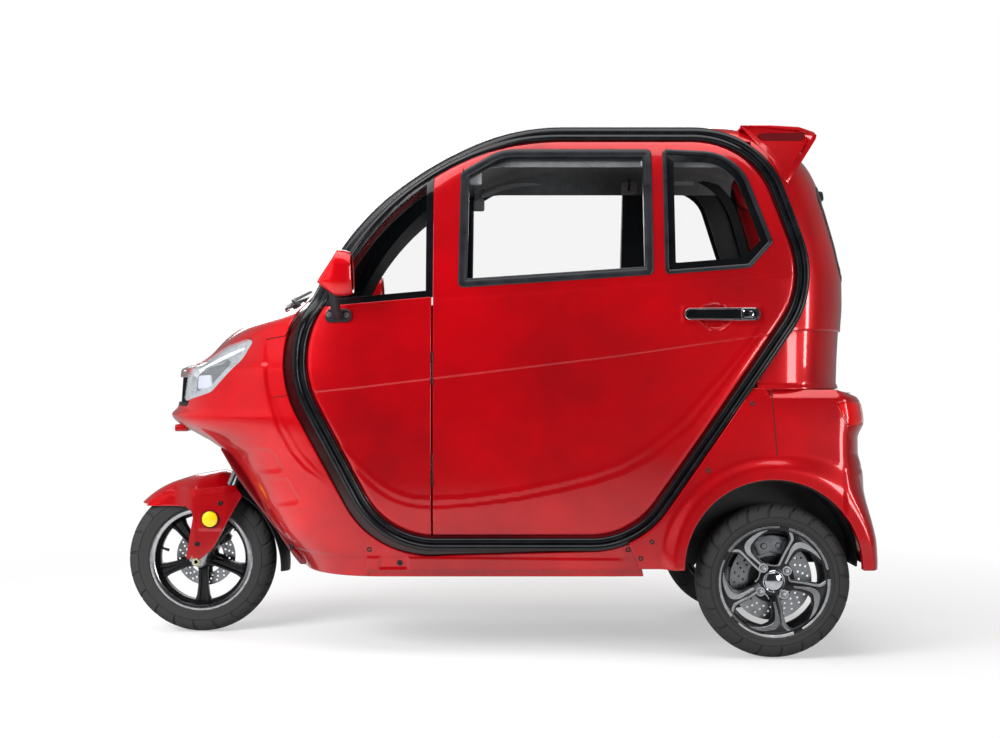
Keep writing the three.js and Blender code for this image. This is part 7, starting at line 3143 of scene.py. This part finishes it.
    def cover(self, side: Side) -> None:
        """One side cover with its amber reflector and screws.

        Args:
            side: The cover's side.
        """
        cx, _, cz = FRONT_AXLE
        cover = Sheet.flat((cx - 150, cz), (cx + 214, cz + 268), 4.0)
        cover.trim(Outline(tuple((x + cx, z + cz, r) for x, z, r in self.hull.corners)).planes(6.0))
        notch = Outline(tuple((x + cx, z + cz, r) for x, z, r in self.notch.corners))
        cover.punch(notch.planes(6.0)).tidy()
        for vert in cover.bm.verts:
            vert.co.y = self.cover_y(vert.co.x / MM - cx, vert.co.z / MM - cz) * MM
        cover.face(Vector((0, 1, 0))).roll(1.6, 10.0)
        emit_side(cover, side, "fork_cover", RED, ["fork_shroud"], body=self.body)
        lamp = turned(((0, 132), (18, 131.4), (24, 129), (25.5, 126.5), (26, 119)),
                      (cx - 44, 0, cz + 137), 40, closed=False)
        emit_side(lamp, side, "fork_reflector", AMBER, body=self.body)
        rim = turned(((26, 119), (26, 127), (27.5, 128), (29, 126.5), (29, 119)),
                     (cx - 44, 0, cz + 137), 40)
        for x, z in ((-77, 188), (-2, 57)):
            rim.join(turned(((0, 119), (0.01, 121.5), (3.4, 121.8), (4.2, 124.2), (6.6, 124.4),
                             (8, 122.5), (8, 118)), (cx + x, 0, cz + z), 20, closed=False))
        emit_side(rim, side, "fork_cover_screws", BLACK, body=self.body)

    def shoulder(self, x: float) -> float:
        """How far out the crown's side edge lies at a place ahead of the axle, in mm."""
        return (self.crown_half + 54 * (1 - smooth((x - 4) / 84))
                - 16 * smooth((-86 - x) / 60) - 34 * smooth((-146 - x) / 60))

    def cover_y(self, x: float, z: float) -> float:
        """How far out the cover lies at a place from the axle, in mm.

        Args:
            x: Place ahead of the axle, in mm.
            z: Height over the axle, in mm.

        Returns:
            The distance from the middle line, in mm.
        """
        below = min(222 + 0.1 * (109 - x) - z, 247 - math.hypot(x, z) if x > 100 else 1e9)
        y = self.shoulder(x) + 4 * smooth(below / 26)
        bed = max(abs(x + 44) - 36, abs(z - 137) - 34)
        return y + 1.4 * (1 - smooth((bed + 2) / 4))

    def caliper(self) -> None:
        """The front brake caliper over the disc on the right, with its hose up the leg."""
        piece = Sheet()
        for y0, y1 in ((34, 43), (51.5, 64)):
            arc = stroke(FRONT_AXLE, ((20, 78, 40), (38, 82, 44), (56, 78, 40)))
            piece.join(plate(arc, y0, y1, 3.0, 2))
        arc = stroke(FRONT_AXLE, ((22, 102, 8), (38, 103, 8), (54, 102, 8)))
        piece.join(plate(arc, 36, 62, 2.0, 1))
        arm = stroke(FRONT_AXLE, ((6, 60, 20), (14, 100, 18), (22, 118, 12)))
        piece.join(plate(arm, 56, 70, 2.0, 1))
        emit(piece.copy(True), "front_caliper", POWDER, self.body)
        hose = tube([(*steered(95, AXLE_LEAD - 50)[:1], 60, steered(95, AXLE_LEAD - 50)[2]),
                     steered(170, AXLE_LEAD - 60, 62), steered(250, AXLE_LEAD - 44, 66),
                     steered(305, AXLE_LEAD - 34, 60)], 3.6, 10)
        emit(hose.copy(True), "front_brake_hose", SEAL, self.body)

    def handlebar(self) -> None:
        """The bar, the grips with their switches, the clamp and the meter pod."""
        bends = ((13, 6, 0), (15, 6, 70), (52, -14, 165), (58, -60, 235), (52, -112, 300))
        bar = Sheet()
        for sign in (1, -1):
            path = [steered(700 + u, a, sign * y) for u, a, y in bends]
            bar.join(tube(path, 10.8, 20))
        emit(bar, "handlebar_tube", POWDER, self.body, ["handlebar"])
        grips = Sheet()
        for sign in (1, -1):
            start, end = steered(756, -74, sign * 248), steered(752, -118, sign * 306)
            mid = (Vector(start) + Vector(end)) / 2
            way = Vector(end) - Vector(start)
            half = way.length / 2
            ribs = [(0, -half - 4), (15, -half - 4), (17.5, -half - 2), (17.5, -half + 2)]
            for k in range(8):
                y = -half + 5 + k * (2 * half - 10) / 8
                ribs += [(15.4, y), (16.6, y + 1.5), (16.6, y + 4.5), (15.4, y + 6)]
            ribs += [(16.5, half - 2), (15, half), (0, half)]
            grips.join(turned(ribs, mid, 32, way, closed=False))
            switch = tube([steered(758, -36, sign * 205), steered(757, -62, sign * 238)], [19, 20],
                          20, 0.85)
            grips.join(switch)
        emit(grips, "handlebar_grips", SEAL, self.body)
        clamp = turned(((0, -50), (33, -50), (36, -46), (36, 20), (32, 24), (0, 24)),
                       steered(700, 0), 40, STEER_AXIS, closed=False)
        emit(clamp, "handlebar_clamp", BLACK, self.body)
        outline = [steered(u, a) for u, a in ((738, -40), (754, -32), (752, 28), (736, 36))]
        pod = plate([(p[0], p[2]) for p in outline], -70, 70, 5.0, 3)
        emit(pod, "meter_pod", GLOSS_BLACK, self.body)


# ------------------------------------------------------------------------------- mirrors
@dataclass
class Mirror:
    """A mirror on its bent arm: red housing, glass, black neck and bolted foot."""

    side: Side
    middle: tuple[float, float, float] = (432.0, 592.0, 1138.0)
    half: tuple[float, float, float] = (66.0, 54.0, 67.0)
    rear_x: float = 393.0
    squareness: float = 2.6
    glass_share: float = 0.79
    foot: Outline = Outline(((404, 998, 16), (485, 997, 12), (471, 1036, 12), (404, 1036, 16)))

    def build(self) -> None:
        """Makes every piece of the mirror."""
        housing = self.housing()
        emit_side(housing, self.side, "mirror_housing", RED, ["mirror"], crease=24.0)
        glass = self.face_sheet(0.9, self.rear_x + 4.0)
        emit_side(glass, self.side, "mirror_glass", MIRROR_SILVER)
        neck = tube([(441, 486, 1012), (446, 522, 1030), (450, 562, 1078), (446, 588, 1112)],
                    [17, 17, 16, 17], 24, 0.8)
        emit_side(neck, self.side, "mirror_neck", BLACK)
        rows = ((-0.5, -3.0), (-0.5, 8.0), (1.5, 11.0), (5.0, 12.5), (9.0, 13.0))
        foot = band(self.foot, rows, facet=8.0, run=8.0)
        lid = Sheet.flat((400, 992), (490, 1040), 5.0)
        lid.trim(self.foot.moved(8.8).planes(8.0)).tidy().on_side(CABIN, lambda x, z: 12.9)
        foot.join(lid)
        emit_side(foot, self.side, "mirror_foot", BLACK)
        bolts = disc_on(CABIN, 417, 1017, BOLT, 24)
        bolts.join(disc_on(CABIN, 468, 1017, BOLT, 24))
        emit_side(bolts, self.side, "mirror_bolts", SATIN)

    def housing(self) -> Sheet:
        """The shell: a pointed egg cut off at the glass, with two creases along it.

        Returns:
            The shell, open at the rear.
        """
        sheet = Sheet()
        bmesh.ops.create_uvsphere(sheet.bm, u_segments=96, v_segments=60, radius=1.0)
        mx, my, mz = self.middle
        for vert in sheet.bm.verts:
            x, y, z = vert.co
            square = sum(abs(v) ** self.squareness for v in (x, y, z)) ** (-1 / self.squareness)
            x, y, z = x * square, y * square, z * square
            if x > 0:
                # The nose is low: the shell slopes up and back from it, and tucks in below.
                x *= 1.0 - 0.67 * max(0.0, z + 0.43) - 0.9 * max(0.0, -0.43 - z)
            reach = [v * h for v, h in zip((x, y, z), self.half)]
            swell = 1.0 + 0.05 * self.crease(y, z, 18.0) + 0.04 * self.crease(y, z, -58.0)
            shrink = 1.0 - 0.1 * smooth((x - 0.1) / 0.9) * (1 + 0.6 * z)
            vert.co = Vector((mx + reach[0] + 3.0 * z, my + reach[1] * swell * shrink,
                              mz + reach[2] * swell * shrink)) * MM
        rear = [(Vector((self.rear_x, 0, mz)) * MM, Vector((-1, 0, 0.05)).normalized())]
        sheet.trim(rear).tidy(0.3).roll(2.5, 9.0)
        bmesh.ops.recalc_face_normals(sheet.bm, faces=sheet.bm.faces[:])
        return sheet

    @staticmethod
    def crease(y: float, z: float, turn: float) -> float:
        """How near a place round the shell is to a crease that runs along it, from 0 to 1.

        Args:
            y: Place across the shell, from -1 to 1.
            z: Height on the shell, from -1 to 1.
            turn: Turn of the crease round the shell, in degrees.

        Returns:
            The nearness.
        """
        angle = math.degrees(math.atan2(z, y))
        gap = abs((angle - turn + 180) % 360 - 180)
        return math.exp(-gap / 16.0)

    def face_sheet(self, share: float, x: float) -> Sheet:
        """A flat oval across the housing's open end.

        Args:
            share: Its size as a share of the opening.
            x: Where it stands along the vehicle, in mm.

        Returns:
            The oval.
        """
        sheet = Sheet()
        bmesh.ops.create_circle(sheet.bm, cap_ends=True, segments=64, radius=1.0)
        _, my, mz = self.middle
        for vert in sheet.bm.verts:
            a, b = vert.co.x, vert.co.y
            vert.co = Vector((x + 3.0 * b, my + a * self.half[1] * self.glass_share * share,
                              mz + b * self.half[2] * self.glass_share * share)) * MM
        return sheet.face(Vector((-1, 0, 0)))


BOLT = ((0.0, 16.4), (4.6, 16.4), (5.4, 15.4), (5.4, 13.6), (8.2, 13.4), (8.4, 12.0))
# The silver face of a mirror.
MIRROR_SILVER = Chrome("mirror_silver", "#C9CED3", 0.03, 1.0, shade="#BCC2C8")


@dataclass
class Hinge:
    """Two door hinges on one side: the outer barrels on the frame, the middle one on the door."""

    side: Side
    heights: tuple[float, ...] = (560.0, 860.0)
    y: float = 504.0
    radius: float = 4.0
    length: float = 100.0
    play: float = 0.6

    def build(self) -> None:
        """Makes the barrels with their leaves."""
        word = self.side.word
        for name, body, spans, way in (("frame", "cabin", ((0, 1), (2, 3)), 1),
                                       ("door", f"door_{word}", ((1, 2),), -1)):
            sheet = Sheet()
            for z in self.heights:
                for a, b in spans:
                    sheet.join(self.knuckle(z - self.length / 2, a / 3, b / 3, way))
            emit_side(sheet, self.side, f"hinge_{name}", POWDER, body=body)

    def knuckle(self, low: float, start: float, end: float, way: int) -> Sheet:
        """One barrel and the leaf that it carries, ahead of the pin or behind it.

        Args:
            low: Height of the hinge's foot, in mm.
            start: Where the barrel starts, as a share of the hinge's length.
            end: Where it ends, as a share of that length.
            way: 1 for a leaf ahead of the pin, -1 behind it.

        Returns:
            The barrel with its leaf.
        """
        r, a, b = self.radius, self.length * start + self.play, self.length * end - self.play
        barrel = turned(((0, a), (r - 1, a), (r, a + 1), (r, b - 1), (r - 1, b), (0, b)),
                        (HINGE_X, self.y, low), 24, (0, 0, 1), closed=False)
        x0, x1 = sorted((HINGE_X + way * 2.0, HINGE_X + way * 14.0))
        barrel.join(block((x0, self.y - 5.5, low + a), (x1, self.y - 1.5, low + b), 0.8, 1))
        return barrel


# -------------------------------------------------------------------------------- seats
@dataclass
class Cushion:
    """A foam pad under sewn leathercloth, blown up as cloth from a slightly smaller block.

    Its channels and seams are pressed in after the blow, which would have smoothed them away.
    """

    name: str
    low: tuple[float, float, float]
    high: tuple[float, float, float]
    lean: float = 0.0
    fall: float = 0.0
    up: int = 2
    channels: tuple[float, ...] = ()
    across: tuple[float, ...] = ()
    shrink: float = 17.0
    cap: float = 24.0
    voxel: float = 6.0
    fill: float = 0.75
    pressure: float = 4.0
    frames: int = 20
    channel_sink: float = 7.0
    seam_sink: float = 6.0
    groove: float = 7.0

    def build(self, nodes: Sequence[str] = ()) -> None:
        """Args:
            nodes: The CAD nodes that the pad stands for.
        """
        low = [v + self.shrink for v in self.low]
        high = [v - self.shrink for v in self.high]
        start = block(low, high, 26.0, 4)
        bmesh.ops.subdivide_edges(start.bm, edges=start.bm.edges[:], cuts=2, use_grid_fill=True)
        start.lay(self.taper)
        pad = emit(start, self.name, LEATHER, "cabin", nodes, 60.0)
        self.blow(pad)
        self.sew(pad)

    def taper(self, co: Vector) -> Vector:
        """Narrows the block so that its sides pull in between the corners.

        Args:
            co: The point, in metres.

        Returns:
            Its new place, in metres.
        """
        size = [b - a for a, b in zip(self.low, self.high)]
        mid = [(a + b) / 2 for a, b in zip(self.low, self.high)]
        share = [2 * (c / MM - m) / s for c, m, s in zip(co, mid, size)]
        waist = 1.0 - 0.035 * (1 - min(1.0, share[0 if self.up == 2 else 2] ** 2))
        return Vector((co.x, (mid[1] + (co.y / MM - mid[1]) * waist) * MM, co.z))

    def blow(self, pad: bpy.types.Object) -> None:
        """Remeshes the block finely and lets air pressure swell it, within a cap.

        Args:
            pad: The pad.
        """
        scene = bpy.context.scene
        remesh = pad.modifiers.new("fine", "REMESH")
        remesh.mode, remesh.voxel_size = "VOXEL", self.voxel * MM
        self.apply(pad)
        before = np.zeros(len(pad.data.vertices) * 3)
        pad.data.vertices.foreach_get("co", before)
        cloth = pad.modifiers.new("air", "CLOTH")
        cloth.settings.use_pressure = True
        cloth.settings.uniform_pressure_force = self.pressure
        cloth.settings.quality = 4
        cloth.settings.effector_weights.gravity = 0.0
        cloth.point_cache.frame_start, cloth.point_cache.frame_end = 1, self.frames
        for frame_number in range(1, self.frames + 1):
            scene.frame_set(frame_number)
        self.apply(pad)
        scene.frame_set(1)
        after = np.zeros(len(before))
        pad.data.vertices.foreach_get("co", after)
        before, after = before.reshape(-1, 3), after.reshape(-1, 3)
        move = after - before
        length = np.linalg.norm(move, axis=1, keepdims=True)
        move *= np.minimum(1.0, self.cap * MM / np.maximum(length, 1e-9))
        after = before + move
        for axis in range(3):
            after[:, axis] = np.clip(after[:, axis], self.low[axis] * MM, self.high[axis] * MM)
        pad.data.vertices.foreach_set("co", after.reshape(-1))
        pad.data.update()

    @staticmethod
    def apply(pad: bpy.types.Object) -> None:
        """Replaces the pad's mesh by what its modifiers make of it.

        Args:
            pad: The pad.
        """
        bpy.context.view_layer.update()
        seen = pad.evaluated_get(bpy.context.evaluated_depsgraph_get())
        made = bpy.data.meshes.new_from_object(seen)
        old, name = pad.data, pad.data.name
        pad.modifiers.clear()
        pad.data = made
        bpy.data.meshes.remove(old)
        made.name = name

    def sew(self, pad: bpy.types.Object) -> None:
        """Refines the pad, presses its channels and seams in, leans it and smooths it.

        Args:
            pad: The pad.
        """
        bm = bmesh.new()
        bm.from_mesh(pad.data)
        bmesh.ops.subdivide_edges(bm, edges=bm.edges[:], cuts=1, use_grid_fill=True, smooth=0.6)
        bm.normal_update()
        size = [b - a for a, b in zip(self.low, self.high)]
        moves = []
        for vert in bm.verts:
            x, y, z = (c / MM for c in vert.co)
            along = z if self.up == 0 else x
            face = vert.normal[self.up]
            dip = 0.0
            for channel in self.channels:
                dip += self.channel_sink * math.exp(-((y - channel) / self.groove) ** 2)
            for line in self.across:
                dip += self.seam_sink * math.exp(-((along - line) / self.groove) ** 2)
            dip *= smooth((face - 0.3) / 0.4)
            welt = self.high[self.up] - 0.34 * size[self.up]
            gap = abs((x, y, z)[self.up] - welt)
            dip += (3.0 * math.exp(-(gap / 3.5) ** 2) - 1.6 * math.exp(-((gap - 6) / 3.0) ** 2)) * (
                1 - smooth((abs(face) - 0.5) / 0.2))
            moves.append((vert, vert.normal * (-dip * MM)))
        for vert, move in moves:
            vert.co += move
        for vert in bm.verts:
            rise = (vert.co.z / MM - self.low[2]) / size[2]
            ahead = (vert.co.x / MM - self.low[0]) / size[0]
            vert.co.x -= self.lean * rise * MM
            vert.co.z -= self.fall * (1 - ahead) * rise * MM
        bm.to_mesh(pad.data)
        bm.free()
        pad.data.polygons.foreach_set("use_smooth", [True] * len(pad.data.polygons))
        if not pad.data.materials:
            pad.data.materials.append(LEATHER.material())


@dataclass
class Seats:
    """The driver's seat and the rear bench, each a cushion and a backrest."""

    def build(self) -> None:
        """Makes the four pads."""
        Cushion("driver_cushion", (-150, -224, 481), (189, 224, 594), fall=16.0,
                channels=(-110, 0, 110)).build(["driver_seat"])
        Cushion("driver_backrest", (-262, -222, 560), (-140, 222, 1049), lean=84.0, up=0,
                channels=(-110, 0, 110), across=(940.0,)).build()
        Cushion("bench_cushion", (-684, -338, 561), (-311, 338, 679), fall=16.0, voxel=7.0,
                channels=(-170, 0, 170)).build(["rear_seat"])
        Cushion("bench_backrest", (-800, -336, 650), (-672, 336, 1074), lean=84.0, up=0, voxel=7.0,
                channels=(-170, 0, 170), across=(980.0,)).build()


# ------------------------------------------------------------------------------ trimmings
@dataclass
class Cabin:
    """The headliner, the rails and brackets beside it, and the vents on the dashboard."""

    def build(self) -> None:
        """Makes every piece of the interior that isn't a seat."""
        self.headliner()
        self.dash()
        for side in Side:
            self.rails(side)
            self.handle(side)

    def headliner(self) -> None:
        """The moulded lining under the roof."""
        lining = Sheet.flat((-850, 0), (50, 372), 14.0, (0, 1))
        for vert in lining.bm.verts:
            x, y = vert.co.x, vert.co.y
            sag = 0.010 * math.exp(-((y - 0.30) / 0.03) ** 2)
            vert.co.z = CABIN.top_at(x, y, 0.030) - 0.004 - sag
        lining.trim(box_planes((None, None, 1430), OPEN)).tidy()
        lining.face(Vector((0, 0, -1))).roll(3.0, 5.0, where=off_middle)
        emit(lining.doubled(), "headliner_lining", HEADLINER, "cabin")

    def rails(self, side: Side) -> None:
        """The light trim along the edge of the headliner over one door.

        Args:
            side: The door's side.
        """
        path = [(x, 372 - drop, CABIN.top_at(x * MM, 0.372) / MM - 46 - drop * 0.4)
                for x, drop in ((30, 26), (-90, 8), (-260, 0), (-460, 0), (-600, 4), (-720, 22))]
        rail = tube(path, [8, 15, 17, 17, 16, 8], 16, 0.7)
        emit_side(rail, side, "roof_rail", RAIL_GREY)

    def handle(self, side: Side) -> None:
        """The grey bracket with its coat hook behind one door window, and one at the front.

        Args:
            side: The door's side.
        """
        bracket = block((-520, 352, 1474), (-466, 388, 1542), 10.0, 3)
        bracket.join(block((18, 372, 1418), (58, 392, 1462), 7.0, 3))
        emit_side(bracket, side, "grab_brackets", RAIL_GREY)
        hooks = tube([(-494, 350, 1522), (-492, 338, 1508), (-490, 348, 1488)], [4, 4, 4], 12)
        emit_side(hooks, side, "coat_hook", BLACK)

    def dash(self) -> None:
        """The round vents on the dashboard."""
        vents = Sheet()
        for y in (-150, 150):
            vents.join(turned(((0, 4), (28, 4), (31, 7), (35, 7), (37, 3), (37, 0)), (688, y, 950),
                              32, (-1, 0, 0.15), closed=False))
            for k in (-1, 0, 1):
                vents.join(block((679, y - 26, 948 + 13 * k), (685, y + 26, 951 + 13 * k), 1.0, 1))
        emit(vents, "dash_vents", BLACK, "cabin")


RAIL_GREY = GrainedPlastic("moulded_grey_trim", "#C6C8CB", 0.5, shade="#AFB2B6")


def dress_cad() -> None:
    """Gives the CAD pieces that keep their shape the finish of what they are made of."""
    finishes = {
        "chassis_frame": ENAMEL, "rear_axle": ENAMEL, "drive_motor": CAST, "floor_tray": CARPET,
        "driver_seat_base": TRIM, "rear_bench_base": TRIM, "dashboard": TRIM,
        "battery_pack": BLACK, "front_liner": BLACK, "wheel_liner_left": BLACK,
        "wheel_liner_right": BLACK}
    for name, finish in finishes.items():
        for place in frame["nodes"][name].material_slots:
            place.material = finish.material()


def main() -> None:
    """Builds the studio and then every sub-assembly."""
    logging.basicConfig(level=logging.INFO, format="%(message)s")
    Studio().build()
    Nose().build()
    Windscreen().build()
    Roof().build()
    RearShell().build()
    FrontWheel().build()
    Steering().build()
    Seats().build()
    Cabin().build()
    for side in Side:
        RearWheel(side).build()
        Headlamp(side).build()
        Sill(side).build()
        DoorRing(side).build()
        FrontSidePanel(side).build()
        Door(side).build()
        Hinge(side).build()
        Mirror(side).build()
    dress_cad()


if __name__ == "__main__":
    main()
